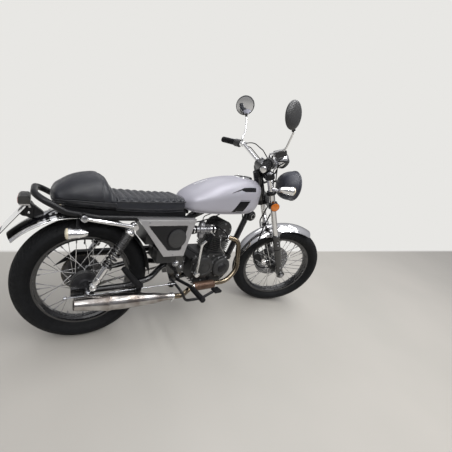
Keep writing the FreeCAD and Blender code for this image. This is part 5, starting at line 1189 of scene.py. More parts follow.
@dataclass
class Wheel:
    """Wire wheel: tyre, rim details, hub and spokes, drawn about the axle.

    Attributes:
        name: First part of the pieces' names.
        body: Body that it rides on.
        radius: Outer radius of the tyre.
        half: Half width of the tyre.
        bead: Bead seat radius of the rim.
        rim_half: Half width of the rim.
        depth: Depth of the rim's well.
        flange: Radius of the spoke holes' circle on the hub.
        flange_y: Outer side of the hub's flanges.
        steps: Cells round the tyre.
        pairs: Crossing pairs of spokes on each side.
        cross: Angle round the wheel between a spoke's two ends.
        wall: Thickness of the tyre.
    """

    name: str
    body: Body
    radius: float
    half: float
    bead: float
    rim_half: float
    depth: float
    flange: float
    flange_y: float
    steps: int
    pairs: int = 9
    cross: float = math.radians(46.0)
    wall: float = 9.0

    def profile(self, count: int = 56) -> tuple[np.ndarray, np.ndarray]:
        """Tyre section: radius and place across, over the crown from bead to bead.

        Two arcs a side, the lower from the rim's edge to the widest place and the crown's over
        the top, as quadratic curves through the same three points as the solid's arcs.

        Args:
            count: Steps across.

        Returns:
            Radius and place across, one row for each step.
        """
        bead = self.rim_half - 3.8
        lip = self.bead + 10.5
        shoulder = self.bead + (self.radius - self.bead) * 0.53
        side = lip + (shoulder - lip) * 0.45
        side_half = bead + (self.half - bead) * 0.72
        crown = self.arc((shoulder, self.half), (self.radius, 0.0), (shoulder, -self.half), count)
        lower = self.arc((lip, bead), (side, side_half), (shoulder, self.half), 12)[:-1]
        foot = np.array([[self.bead + 0.6, bead], [lip - 3.0, bead]])
        mirror = lower[::-1] * [1, -1]
        rows = np.concatenate([foot, lower, crown, mirror, foot[::-1] * [1, -1]])
        share = np.concatenate([np.zeros(2 + len(lower)), np.ones(count), np.zeros(2 + len(lower))])
        return rows, share

    @staticmethod
    def arc(first: tuple, middle: tuple, last: tuple, count: int) -> np.ndarray:
        """Circle's arc through three points: centre from the two middle lines, then even angles.

        Args:
            first: First point.
            middle: Point between.
            last: Last point.
            count: Points to give.

        Returns:
            Array (count, 2).
        """
        a, b, c = (np.array(p, float) for p in (first, middle, last))
        rows = np.stack([b - a, c - a])
        centre = np.linalg.solve(2 * rows, np.array([b @ b - a @ a, c @ c - a @ a]))
        angles = np.unwrap([math.atan2(*(p - centre)[::-1]) for p in (a, b, c)])
        turn = np.linspace(angles[0], angles[2], count)
        return centre + np.linalg.norm(a - centre) * np.stack([np.cos(turn), np.sin(turn)], 1)

    def tread(self, turn: np.ndarray, across: np.ndarray) -> np.ndarray:
        """Groove depth: a middle pair of lines and slanted cuts that change sides.

        A slanted cut lies where the angle less the lean of the cut is a whole number of pitches,
        and is kept between two places across.

        Args:
            turn: Turn of each point.
            across: Place across of each point.

        Returns:
            Depth at each point.
        """
        pitch = FULL / 42
        mirror = np.abs(across)
        lean = turn + np.sign(across) * pitch / 4 - 0.62 * pitch * np.abs(mirror) ** 1.3 * 2.2
        phase = np.abs((lean / pitch + 0.5) % 1.0 - 0.5) * pitch * self.radius
        slant = np.clip(1.35 - (phase / 1.9) ** 2, 0, 1) * ((mirror > 0.2) & (mirror < 0.86))
        short = np.abs(((lean / pitch + 1.0) % 1.0) - 0.5) * pitch * self.radius
        small = np.clip(1.35 - (short / 1.6) ** 2, 0, 1) * ((mirror > 0.46) & (mirror < 0.74))
        wave = 0.1 + 0.018 * np.sin(turn * 84)
        line = np.clip(1.3 - ((mirror - wave) / 0.028) ** 2, 0, 1)
        return np.maximum(np.maximum(slant, small), line) * 3.4

    def tyre(self) -> None:
        """Make the tyre with its tread, side ribs and bead."""
        rows, crown = self.profile()
        turn = np.arange(self.steps) * FULL / self.steps
        across = rows[:, 1] / self.half
        depth = self.tread(turn[:, None], across[None]) * crown[None]
        slope = unit(np.gradient(rows, axis=0))
        normal = np.stack([slope[:, 1], -slope[:, 0]], 1)
        if normal[len(rows) // 2, 0] < 0:
            normal = -normal
        ribs = (0.7 * valley(rows[:, 0] - (self.bead + 20), 1.6)
                + 0.8 * valley(rows[:, 0] - (self.bead + 36), 1.4))
        ribs *= 1 - crown
        radial = rows[None, :, 0] - depth * normal[None, :, 0] + ribs * normal[None, :, 0]
        place = rows[None, :, 1] - depth * normal[None, :, 1] + ribs * normal[None, :, 1]
        inner = rows[::-4].copy()
        inner = np.stack([np.minimum(inner[:, 0], self.radius) - self.wall * (inner[:, 0] > self.bead + 14),
                          inner[:, 1] * (1 - self.wall / self.half)], 1)
        inner_r = np.broadcast_to(inner[:, 0], (self.steps, len(inner)))
        inner_y = np.broadcast_to(inner[:, 1], (self.steps, len(inner)))
        r = np.concatenate([radial, inner_r], 1)
        y = np.concatenate([np.broadcast_to(place, radial.shape), inner_y], 1)
        points = np.stack([r * np.cos(turn)[:, None], y, r * np.sin(turn)[:, None]], -1)
        Workshop.piece(self.name + "_tyre_tread", [lattice(points, close_u=True, close_v=True)],
                       [TYRE], self.body, "tyre", (self.name + "_tyre",), 40.0)

    def spokes(self) -> None:
        """Crossed spokes with nipples in the rim and bent heads in the hub."""
        well = self.bead - self.depth
        parts = []
        for side in (-1, 1):
            for lead in (-1, 1):
                half = FULL / (2 * self.pairs)
                turn = (0.5 if side > 0 else 0.0) * half + (0 if lead < 0 else half)
                angle = turn + lead * self.cross
                y = side * (self.flange_y - 3.0)
                foot = vec(self.flange * math.cos(angle), y, self.flange * math.sin(angle))
                top = vec(well * math.cos(turn), side * 5.0, well * math.sin(turn))
                along = unit(top - foot)
                head = foot + vec(0, -side * 4.5 * lead, 0)
                wire = tube(route([head, foot + vec(0, -side * 0.6 * lead, 0), top + along * 3], 3.0, 4),
                            1.75, 8)
                nipple = turned([(2.6, -15), (3.3, -13), (3.3, 1), (4.4, 2)], top, along, 8)
                button = turned([(3.6, -0.6), (3.6, 0.8), (1.8, 2.0)], head, vec(0, -side * lead, 0), 10)
                turns = np.arange(self.pairs) * FULL / self.pairs
                axis = -ACROSS
                parts += [arranged(wire, turns, vec(0, 0, 0), axis).dressed(0),
                          arranged(gathered([nipple, button]), turns, vec(0, 0, 0), axis).dressed(1)]
        Workshop.piece(self.name + "_spokes", parts, [CHROME, ZINC], self.body, "plain_steel")

    def valve(self) -> list[Part]:
        """Valve stem with its cap, towards the axle from the rim's well."""
        stem = turned([(3.4, 0), (3.4, 4), (2.4, 5), (2.4, 22), (3.2, 23), (3.2, 31), (2.4, 33)],
                      vec(0, 0, self.bead - self.depth + 3), vec(0, 0.25, -1), 14)
        return [stem]

    def rim(self) -> None:
        """Make the rim: rolled edges, bead seats and a well, as one closed section spun round."""
        half, bead = self.rim_half, self.bead
        lip, well = bead + 10.0, bead - self.depth
        outer = [(lip - 2, half - 3.6), (lip, half - 2.6), (lip, half - 0.8), (lip - 2, half),
                 (bead + 3, half), (bead - 3, half - 0.5), (bead - 4, half * 0.62), (well + 1, half * 0.42),
                 (well, half * 0.3)]
        inner = [(well + 3, half * 0.3), (bead, half * 0.6), (bead, half - 3.6)]
        right = [(r, -y) for r, y in outer[::-1]]
        right_in = [(r, -y) for r, y in inner[::-1]]
        loop = rounded(outer + right + right_in + inner, 1.2, 3)
        hoop = turned(loop, vec(0, 0, 0), ACROSS, 144, ring=True)
        Workshop.piece(self.name + "_rim_hoop", [hoop] + [p.dressed(1) for p in self.valve()],
                       [FRAME_BLACK, RUBBER], self.body, "black_steel", (self.name + "_rim",), 40.0)

    def build(self) -> None:
        """Make the wheel's pieces."""
        self.tyre()
        self.rim()
        self.spokes()


@dataclass
class RearWheel(Wheel):
    """Rear wheel with its drum hub and chain wheel.

    Attributes:
        teeth: Teeth of the chain wheel.
    """

    name: str = "rear"
    body: Body = Body.REAR
    radius: float = 321.0
    half: float = 58.0
    bead: float = 229.0
    rim_half: float = 30.0
    depth: float = 17.0
    flange: float = 52.0
    flange_y: float = 34.0
    steps: int = 760
    teeth: int = 48

    def hub(self) -> None:
        """Drum with cooling fins, barrel and sprocket carrier."""
        drum = [(8.6, -47), (60, -47), (60, -59.5), (64, -60), (66, -58), (66, -52), (63.5, -51), (63.5, -48),
                (66, -47), (66, -43), (63.5, -42), (63.5, -39), (66, -38), (66, -30), (62, -28),
                (30, -27), (24, -22), (24, 22), (30, 27), (54, 28), (57, 29), (57, 33), (54, 34), (46, 34),
                (46, 68), (8.6, 68)]
        barrel = turned(rounded(drum, 0.8, 3), vec(0, 0, 0), ACROSS, 96, ring=True)
        studs = arranged(bolt(vec(36, 75, 0), ACROSS, 5.5, 6.5), np.arange(6) * FULL / 6,
                         vec(0, 0, 0), ACROSS)
        Workshop.piece("rear_drum_hub", [barrel, studs.dressed(1)], [ENGINE_BLACK, ZINC], self.body,
                       "cast_aluminium", ("rear_hub",), 30.0)

    def sprocket(self) -> None:
        """Chain wheel: radius falls from tip to root by a sine round each tooth, with raised rings marking
        lightening holes.
        """
        tip, root = 97.4 + 0.6, 92.5
        turn = np.arange(self.teeth * 10) * FULL / (self.teeth * 10)
        wave = 0.5 + 0.5 * np.cos(turn * self.teeth)
        radius = root + (tip - root) * wave ** 0.8
        ring = np.stack([radius * np.cos(turn), radius * np.sin(turn)], 1)
        inner = circle(30.0, len(turn))
        rows = [(inner, 69.4), (ring * 0.985, 69.4), (ring, 70.6), (ring, 73.4), (ring * 0.985, 74.6),
                (inner, 74.6)]
        points = np.stack([np.stack([a[:, 0], np.full(len(a), y), a[:, 1]], 1) for a, y in rows])
        plate = lattice(points, close_u=True, close_v=True)
        marks = arranged(turned([(7.5, -0.2), (9.5, -0.2), (9.5, 1.0), (7.5, 1.0)],
                                vec(66, 74.6, 0), ACROSS, 24,
                                ring=True), (np.arange(8) + 0.5) * FULL / 8, vec(0, 0, 0), ACROSS)
        Workshop.piece("chain_wheel", [plate, marks], [STEEL], self.body, "plain_steel",
                       ("rear_sprocket",), 30.0)

    def build(self) -> None:
        """Make the wheel with its hub and chain wheel."""
        super().build()
        self.hub()
        self.sprocket()


@dataclass
class FrontWheel(Wheel):
    """Front wheel with its hub and brake disc, whose holes are painted shade."""

    name: str = "front"
    body: Body = Body.FRONT
    radius: float = 299.0
    half: float = 46.0
    bead: float = 218.0
    rim_half: float = 26.0
    depth: float = 14.0
    flange: float = 38.0
    flange_y: float = 30.0
    steps: int = 700

    def hub(self) -> None:
        """Slim hub with two flanges and the disc's seat."""
        rows = [(8.6, -52), (22, -52), (24, -50), (24, -32), (30, -30.5), (40, -30), (43, -29),
                (43, -25), (40, -24), (26, -23), (24, -20), (24, 20), (26, 23), (40, 24), (43, 25), (43, 52),
                (40, 53.6), (8.6, 53.6)]
        barrel = turned(rounded(rows, 0.8, 3), vec(0, 0, 0), ACROSS, 80, ring=True)
        bolts = arranged(bolt(vec(31, 58, 0), ACROSS, 4.6, 5.5), np.arange(5) * FULL / 5,
                         vec(0, 0, 0), ACROSS)
        Workshop.piece("front_slim_hub", [barrel, bolts.dressed(1)], [ENGINE_BLACK, ZINC], self.body,
                       "cast_aluminium", ("front_hub",), 30.0)

    def disc(self) -> None:
        """Brake disc: a ring with a wavy inner edge, rows of holes drawn as flat black discs of painted
        shade, and five arms.
        """
        turn = np.arange(240) * FULL / 240
        inner_radius = 70 - 8 * (0.5 + 0.5 * np.cos(turn * 5)) ** 3
        inner = np.stack([np.cos(turn), np.sin(turn)], 1) * inner_radius[:, None]
        outer = circle(120.0, 240)
        rows = [(inner, 54), (outer * 0.995, 54), (outer, 54.6), (outer, 57.4), (outer * 0.995, 58),
                (inner, 58)]
        ring = lattice(np.stack([np.stack([a[:, 0], np.full(len(a), y), a[:, 1]], 1) for a, y in rows]), True,
                       True)
        holes = []
        for count, radius, phase in ((15, 84, 0), (15, 96, 0.33), (15, 108, 0.66)):
            # Each hole is a thin black disc on the face: painted shade for the dark inside of a hole.
            hole_shade = turned([(0.2, 0.05), (3.2, 0.05), (3.9, 0.25), (4.2, -0.4)], vec(radius, 58, 0), ACROSS, 14)
            holes.append(arranged(hole_shade, (np.arange(count) + phase) * FULL / count, vec(0, 0, 0), ACROSS))
        centre = turned([(9, 54), (36, 54), (38, 55), (38, 57), (36, 58), (9, 58)], vec(0, 0, 0), ACROSS,
                        60, ring=True)
        arm = slab(rounded([(30, -13), (66, -6), (66, 6), (30, 13)], 4, 4), 54.2, 57.8, 0.5)
        arms = arranged(arm, np.arange(5) * FULL / 5, vec(0, 0, 0), -ACROSS)
        Workshop.piece("front_disc", [ring, gathered(holes).dressed(1), centre.dressed(2), arms.dressed(2)],
                       [DISC, SATIN_BLACK, CAST], self.body, "plain_steel", ("brake_disc",), 30.0)

    def build(self) -> None:
        """Make the wheel with its hub and disc."""
        super().build()
        self.hub()
        self.disc()


@dataclass
class Drive:
    """Roller chain round both sprockets, drawn on the bike.

    Attributes:
        pitch: Distance of one roller from the next.
        rear: Middle of the rear sprocket, as X and Z.
        front: Middle of the front sprocket.
        teeth: Teeth of the rear and the front sprocket.
        plane: Distance of the chain from the middle of the bike.
    """

    pitch: float = 12.7
    rear: tuple[float, float] = (0.0, 321.0)
    front: tuple[float, float] = (560.0, 372.0)
    teeth: tuple[int, int] = (48, 15)
    plane: float = 72.0

    def loop(self) -> tuple[np.ndarray, np.ndarray]:
        """Roller places and directions: even steps along two arcs and the two lines that touch them.

        Returns:
            Two arrays (n, 2).
        """
        big, small = (self.pitch / 2 / math.sin(math.pi / n) for n in self.teeth)
        rear, front = np.array(self.rear), np.array(self.front)
        line = front - rear
        slope, far = math.atan2(line[1], line[0]), np.linalg.norm(line)
        spread_angle = math.acos((big - small) / far)
        up, down = slope + spread_angle, slope - spread_angle
        front_turn = np.linspace(up, down, 60)
        rear_turn = np.linspace(down, up - FULL, 200)
        rows = np.concatenate([front + small * np.stack([np.cos(front_turn), np.sin(front_turn)], 1),
                               rear + big * np.stack([np.cos(rear_turn), np.sin(rear_turn)], 1)])
        rows = np.concatenate([rows, rows[:1]])
        way = np.concatenate([[0], np.cumsum(np.linalg.norm(np.diff(rows, axis=0), axis=1))])
        count = 2 * round(way[-1] / self.pitch / 2)
        at = np.linspace(0, way[-1], count, endpoint=False)
        points = np.stack([np.interp(at, way, rows[:, k]) for k in (0, 1)], 1)
        return points, np.roll(points, -1, 0) - points

    def build(self) -> None:
        """Make rollers and the inner and outer plates between them."""
        points, steps = self.loop()
        angle = np.arctan2(steps[:, 1], steps[:, 0])
        waist = [(-4.4, 0), (-3.2, 3.6), (0, 4.9), (3.6, 3.3), (6.35, 2.6), (9.1, 3.3), (12.7, 4.9),
                 (15.9, 3.6), (17.1, 0), (15.9, -3.6), (12.7, -4.9), (9.1, -3.3), (6.35, -2.6),
                 (3.6, -3.3), (0, -4.9), (-3.2, -3.6)]
        outline = np.array(waist, float)
        parts = {0: [], 1: []}
        for kind, (low, high) in enumerate(((4.2, 5.6), (2.3, 3.7))):
            plates = [slab(outline, sign * low if sign > 0 else -high, sign * high if sign > 0 else -low)
                      for sign in (1, -1)]
            base = gathered(plates)
            chosen = np.arange(kind, len(points), 2)
            parts[kind] = self.scattered(base, points[chosen], angle[chosen])
        pin = turned([(2.0, -6.6), (2.0, 6.6)], vec(0, 0, 0), ACROSS, 8)
        roller = turned([(3.9, -2.2), (3.9, 2.2)], vec(0, 0, 0), ACROSS, 10)
        pins = self.scattered(gathered([pin, roller]), points, angle)
        Workshop.piece("roller_chain", [parts[0], parts[1].dressed(1), pins.dressed(1)],
                       [CHAIN, STEEL], Body.FRAME, "plain_steel", ("chain",), 30.0)

    def scattered(self, base: Part, places: np.ndarray, angle: np.ndarray) -> Part:
        """Copy a link to each place, turned by its angle about Y.

        Args:
            base: The link.
            places: Places of the links.
            angle: Turn of each link.

        Returns:
            All links as one part.
        """
        zero = np.zeros_like(angle)
        spins = np.stack([np.stack([np.cos(angle), zero, -np.sin(angle)], 1),
                          np.stack([zero, zero + 1, zero], 1),
                          np.stack([np.sin(angle), zero, np.cos(angle)], 1)], 1)
        centre = np.stack([places[:, 0], np.full(len(places), self.plane), places[:, 1]], 1)
        verts = np.einsum("tij,nj->tni", spins, base.verts) + centre[:, None]
        size = len(base.verts)
        faces = [[corner + number * size for corner in face] for number in range(len(places))
                 for face in base.faces]
        return Part(verts.reshape(-1, 3), faces, base.finish)


@dataclass
class Shocks:
    """Spring and damper of each side: eyes, sleeve, open lower coils and close upper ones.

    Attributes:
        foot: Middle of the lower eye, on the left.
        top: Middle of the upper eye.
    """

    foot: tuple[float, float, float] = (20.0, 143.0, 356.0)
    top: tuple[float, float, float] = (188.0, 143.0, 646.0)

    def build(self) -> None:
        """Make the springs, the collars and the rubber bushes."""
        foot, top = np.array(self.foot), np.array(self.top)
        along = unit(top - foot)
        length = float(np.linalg.norm(top - foot))
        start, end = 114.0, length - 41.0
        count = np.linspace(0, 14.5, 1100)
        share = np.interp(count, [0, 0.7, 5.4, 6.1, 13.9, 14.5], [0, 0.015, 0.56, 0.61, 0.985, 1.0])
        height = start + 4 + (end - start - 8) * share
        coils = FULL * count
        side = unit(np.cross(along, ACROSS))
        other = np.cross(along, side)
        path = foot + height[:, None] * along + 20.4 * (np.cos(coils)[:, None] * side
                                                        + np.sin(coils)[:, None] * other)
        spring = carried(path, circle(1.0, 12), np.interp(count, [0, 5.2, 6.4, 14.5], [5.2, 5.2, 3.6, 3.6]))
        collar = turned([(10, start - 7), (24, start - 7), (25.4, start - 5), (25.4, start),
                         (22, start + 1.5), (10, start + 1.5)], foot, along, 40)
        cup = turned([(10, end - 1), (24, end - 1), (25, end + 2), (25, end + 6), (21, end + 14),
                      (12, end + 24)],
                     foot, along, 40)
        sleeve = turned([(10, 14), (14, 17), (15.5, 22), (15.5, 48), (14.6, 49.5), (15.5, 51),
                         (15.5, 106), (13, 110), (10, 112)], foot, along, 40)
        rod = bar(foot + along * 108, top - along * 20, 6.5, 20)
        bush = [turned([(7, -10.6), (11, -10.6), (11, 10.6), (7, 10.6)], p, ACROSS, 28, ring=True)
                for p in (foot, top)]
        eye = [turned([(11, -10.2), (15.6, -10.2), (16.4, -9), (16.4, 9), (15.6, 10.2), (11, 10.2)],
                      p, ACROSS, 32, ring=True) for p in (foot, top)]
        nuts = [gathered([turned([(6.5, 9), (12.5, 9), (13.5, 10.5), (13, 12), (7, 12)], foot, ACROSS, 28),
                          turned([(9.5, 12), (9.5, 17.5), (8, 19), (3, 20)], foot, ACROSS, 6)])]
        parts = both(spring.dressed(0))
        for shape in [collar, cup, rod, sleeve] + eye + nuts:
            parts += both(shape.dressed(1))
        for shape in bush:
            parts += both(shape.dressed(2))
        Workshop.piece("shock_coils", parts, [FRAME_BLACK, CHROME, RUBBER], Body.FRAME, "black_steel",
                       ("shock_springs", "shocks"), 30.0)


# Body, engine and controls


def sheet(outer: np.ndarray, inner: np.ndarray, finish: int = 0) -> Part:
    """Thin closed sheet between two grids of points, each (rows, columns, 3).

    Args:
        outer: Points of the outer face.
        inner: Points of the inner face.
        finish: Material number.

    Returns:
        A closed surface.
    """
    ring = np.concatenate([outer, inner[:, ::-1]], 1)
    made = lattice(ring, close_v=True)
    size, rows = ring.shape[1], ring.shape[0]
    ends = [list(range(size)), list(range((rows - 1) * size, rows * size))[::-1]]
    return Part(made.verts, made.faces + ends, finish)


def bullet(place: np.ndarray, forward: np.ndarray, stem_end: np.ndarray) -> list[Part]:
    """Bullet-shaped indicator: body, domed lens at its wide end, and stem.

    Args:
        place: Middle of the body.
        forward: Direction of its narrow end.
        stem_end: Foot of the stem.

    Returns:
        Body, lens, stem and collar.
    """
    rows = [(20.0, 1.0), (23.6, 4.0), (23.8, 12.0), (21.0, 17.0), (20.4, 24.0), (19.4, 42.0), (15.6, 62.0),
            (9.2, 76.0), (3.0, 80.0)]
    back = place - forward * 40.0
    body = turned(rows, back, forward, 40)
    lens = turned([(21.6, 5.0), (22.2, 1.0), (21.2, -2.5), (17.0, -6.0), (9.0, -8.2)], back, forward, 40)
    stem = bar(place, stem_end, 6.0, 16)
    along = unit(stem_end - place)
    collar = turned([(9.0, 22.0), (9.6, 24.0), (9.6, 34.0), (7.0, 37.0)], place, along, 24)
    return [body, lens.dressed(1), stem.dressed(2), collar.dressed(2)]


@dataclass
class Tail:
    """Rear hoop, fender with a painted dark reflection band on each side, lamp, plate and rear indicators.

    Attributes:
        hub: Middle of the fender's arc, as X and Z.
        radius: Radius of its crown.
        half: Its half width.
        drop: Fall from the crown to the edges.
        plate_top: Middle of the number plate's upper edge.
        plate_fall: Way from there to its lower edge.
        plate_half: Its half width.
    """

    hub: tuple[float, float] = (-40.0, 293.0)
    radius: float = 392.0
    half: float = 74.0
    drop: float = 26.0
    plate_top: tuple[float, float, float] = (-232.0, 0.0, 697.0)
    plate_fall: tuple[float, float, float] = (-92.0, 0.0, -107.0)
    plate_half: float = 62.0

    def arch(self, inner_y: np.ndarray, outer_y: np.ndarray, degrees: np.ndarray, lift: float, wall: float,
             finish: int) -> Part:
        """Sheet round the fender's axis: the crown's circle gives the radius at each place across.

        Args:
            inner_y: One edge across, for each turn.
            outer_y: The other edge.
            degrees: Turns round the hub.
            lift: Height over the fender.
            wall: Thickness.
            finish: Material number.

        Returns:
            A closed surface.
        """
        big = (self.half**2 + self.drop**2) / (2 * self.drop)
        mix = np.linspace(0, 1, 25)[None]
        y = inner_y[:, None] * (1 - mix) + outer_y[:, None] * mix
        crown = self.radius - big + np.sqrt(big**2 - y**2)
        turn = np.radians(degrees)[:, None]

        def grid(radius: np.ndarray) -> np.ndarray:
            """Places at a radius for each turn and each place across."""
            return np.stack([self.hub[0] + radius * np.cos(turn), y, self.hub[1] + radius * np.sin(turn)], -1)
        return sheet(grid(crown + lift), grid(crown + lift - wall), finish)

    def spot(self, degrees: float, y: float, lift: float) -> tuple[np.ndarray, np.ndarray]:
        """Place on the fender and the direction out of it.

        Args:
            degrees: Turn round the hub.
            y: Place across.
            lift: Height over the fender.

        Returns:
            The place and the direction.
        """
        big = (self.half**2 + self.drop**2) / (2 * self.drop)
        radius = self.radius - big + math.sqrt(big**2 - y**2)
        turn = math.radians(degrees)
        radial = vec(math.cos(turn), 0, math.sin(turn))
        out = unit(radial * (radius - self.radius + big) + vec(0, y, 0))
        return vec(self.hub[0], y, self.hub[1]) + radial * radius + out * lift, out

    def fender(self) -> None:
        """Make the chrome fender with rolled edges, the painted reflection band on each side, and its bolts
        with painted white highlights.
        """
        steps = np.linspace(88, 134, 70)
        wide = np.full(70, self.half)
        parts = [self.arch(-wide, wide, steps, 0.0, 2.5, 0)]
        low = self.radius - self.drop
        turn = np.radians(steps)
        for sign in (-1, 1):
            for inset, deep, radius in ((0.0, 0.0, 3.0), (10.0, 5.6, 1.6)):
                r = low + deep
                edge = np.stack([self.hub[0] + r * np.cos(turn), np.full(70, sign * (self.half - inset)),
                                 self.hub[1] + r * np.sin(turn)], 1)
                parts.append(tube(edge, radius, 10))
            # Black sheet along each side of the chrome: a painted reflection, the dark band that the chrome
            # mirrors.
            band = np.linspace(99, 125, 44)
            top = sign * np.interp(band, [99, 110, 125], [27, 31, 47])
            foot = sign * np.interp(band, [99, 112, 125], [52, 53, 51])
            parts.append(self.arch(top, foot, band, 0.5, 1.4, 1))
            # Two domed bolt heads on each side in flat white: their glints painted on as highlights.
            for degrees in (102.4, 105.9):
                place, out = self.spot(degrees, sign * 38.0, 0.0)
                parts.append(turned([(6.5, 0.2), (6.5, 2.4), (4.6, 3.6)], place, out, 24).dressed(2))
        Workshop.piece("chrome_fender", parts, [CHROME, BLACK_PRINT_AND_PAINTED_REFLECTION, WHITE_PRINT_AND_PAINTED_HIGHLIGHT], Body.FRAME, "chrome",
                       ("rear_fender",), 40.0)

    def board(self, start: float, length: float, half: float, near: float, far: float, corner: float) -> Part:
        """Plate that hangs along the number plate's line, between two distances out of it.

        Args:
            start: Distance down from the top edge.
            length: Length from there.
            half: Half width.
            near: Distance out of the line.
            far: The same of the other face.
            corner: Radius of the corners.

        Returns:
            A closed surface.
        """
        top, down = np.array(self.plate_top), unit(np.array(self.plate_fall))
        out = vec(down[2], 0, -down[0])
        outline = rounded([(-half, start), (half, start), (half, start + length), (-half, start + length)],
                          corner)
        return slab(outline, near, far, 0.4).moved(np.stack([ACROSS, out, down], 1), top)

    def lamp(self) -> None:
        """Make the lamp's housing, lens and rim, the plate and its holder."""
        shape = [(-257.6, 704), (-218, 704), (-218, 732.8), (-226.8, 740), (-252.3, 740), (-262, 734.2),
                 (-262, 709.8)]
        housing = slab(rounded(shape, 3.0, 4), -46, 46, 2.4)
        lens = slab(rounded([(-264.5, 711), (-259, 706), (-250, 706), (-250, 716), (-258, 731),
                             (-264.5, 732)], 2.0, 4),
                    -42, 42, 1.5)
        rim = slab(rounded([(-259, 702.4), (-219, 702.4), (-219, 708), (-259, 708)], 1.4, 3),
                   -47.2, 47.2, 1.0)
        base = slab(rounded([(-236, 650), (-214, 640), (-206, 690), (-216, 706), (-240, 706), (-246, 690)],
                            6.0, 4),
                    -30, 30, 3.0)
        bolts = [bolt(vec(x, -30, z), -ACROSS, 3.6, 5.0) for x, z in ((-226, 668), (-222, 694))]
        arm = slab(rounded([(-240, 700), (-214, 700), (-170, 662), (-180, 640), (-252, 650), (-268, 668)],
                           6.0, 4),
                   -18, 18, 2.0)
        Workshop.piece("tail_lamp_shell", [housing, lens.dressed(1), rim.dressed(2), base.dressed(3)]
                       + [p.dressed(2) for q in bolts for p in both(q)],
                       [LAMP_GREY, PALE_LENS, CHROME, SATIN_BLACK], Body.FRAME, "lamp_red",
                       ("tail_lamp",), 30.0)
        Workshop.piece("plate_holder", [arm, self.board(4, 158, 50, 0.0, 4.0, 10.0)],
                       [SATIN_BLACK], Body.FRAME, "black_steel", ("plate_bracket",))
        down = unit(np.array(self.plate_fall))
        out = vec(down[2], 0, -down[0])
        screws = [turned([(5, 0), (5, 1.4), (3.4, 2.4)],
                         np.array(self.plate_top) + y * ACROSS + down * 22 + out
                         * 6.3, out, 18)
                  for y in (-34, 34)]
        Workshop.piece("blank_plate", [self.board(0, 141, self.plate_half, 4.3, 6.3, 7.0)]
                       + [p.dressed(1) for p in screws],
                       [PLATE, ZINC], Body.FRAME, "plate_white", ("number_plate",))

    def base(self) -> None:
        """Make the seat's thin black base between the rails, with its edge turned down."""
        x = np.linspace(-96, 476, 60)
        half = np.interp(x, [-96, 0, 300, 476], [92, 104, 98, 78])
        high = np.interp(x, [-96, 40, 476], [716, 704, 700])
        low = np.interp(x, [-96, 40, 476], [688, 668, 662])
        rows = [np.stack([x, share * half, level], 1) for share, level in
                ((-1, low), (-1, high), (1, high), (1, low), (0.97, low), (0.97, high - 4), (-0.97, high - 4),
                 (-0.97, low))]
        part = lattice(np.stack(rows, 1), close_v=True)
        part.faces += [list(range(8)), list(range(59 * 8, 60 * 8))[::-1]]
        Workshop.piece("seat_base", [part], [RUBBER], Body.FRAME, "black_plastic")

    def build(self) -> None:
        """Make the hoop, the fender, the lamp and the indicators."""
        self.base()
        right = [(555, -34, 668), (470, -88, 661), (40, -112, 674.5), (-90, -112, 697), (-204, -104, 760)]
        left = [(x, -y, z) for x, y, z in right[::-1]]
        hoop = tube(route(right + left, 62.0, 14), 13.5, 24)
        braces = [bar(vec(x, -y, z), vec(x, y, z), 10.8, 18)
                  for x, y, z in ((470, 88, 661), (40, 112, 674.5))]
        lugs = [turned([(16, -9), (17, -7), (17, 7), (16, 9)], vec(-30, 112, 684), vec(1, 0, 0.1), 24)]
        Workshop.piece("rear_hoop", [hoop] + braces + both(lugs[0]), [SATIN_BLACK], Body.FRAME, "black_frame",
                       ("seat_rails",))
        self.fender()
        self.lamp()
        lamps = bullet(vec(-54, 200, 636), AHEAD, vec(-44, 112, 665.7))
        Workshop.piece("rear_bullets", [q for p in lamps for q in both(p)],
                       [CHROME, CREAM, SATIN_BLACK], Body.FRAME, "chrome", ("rear_indicators",), 30.0)


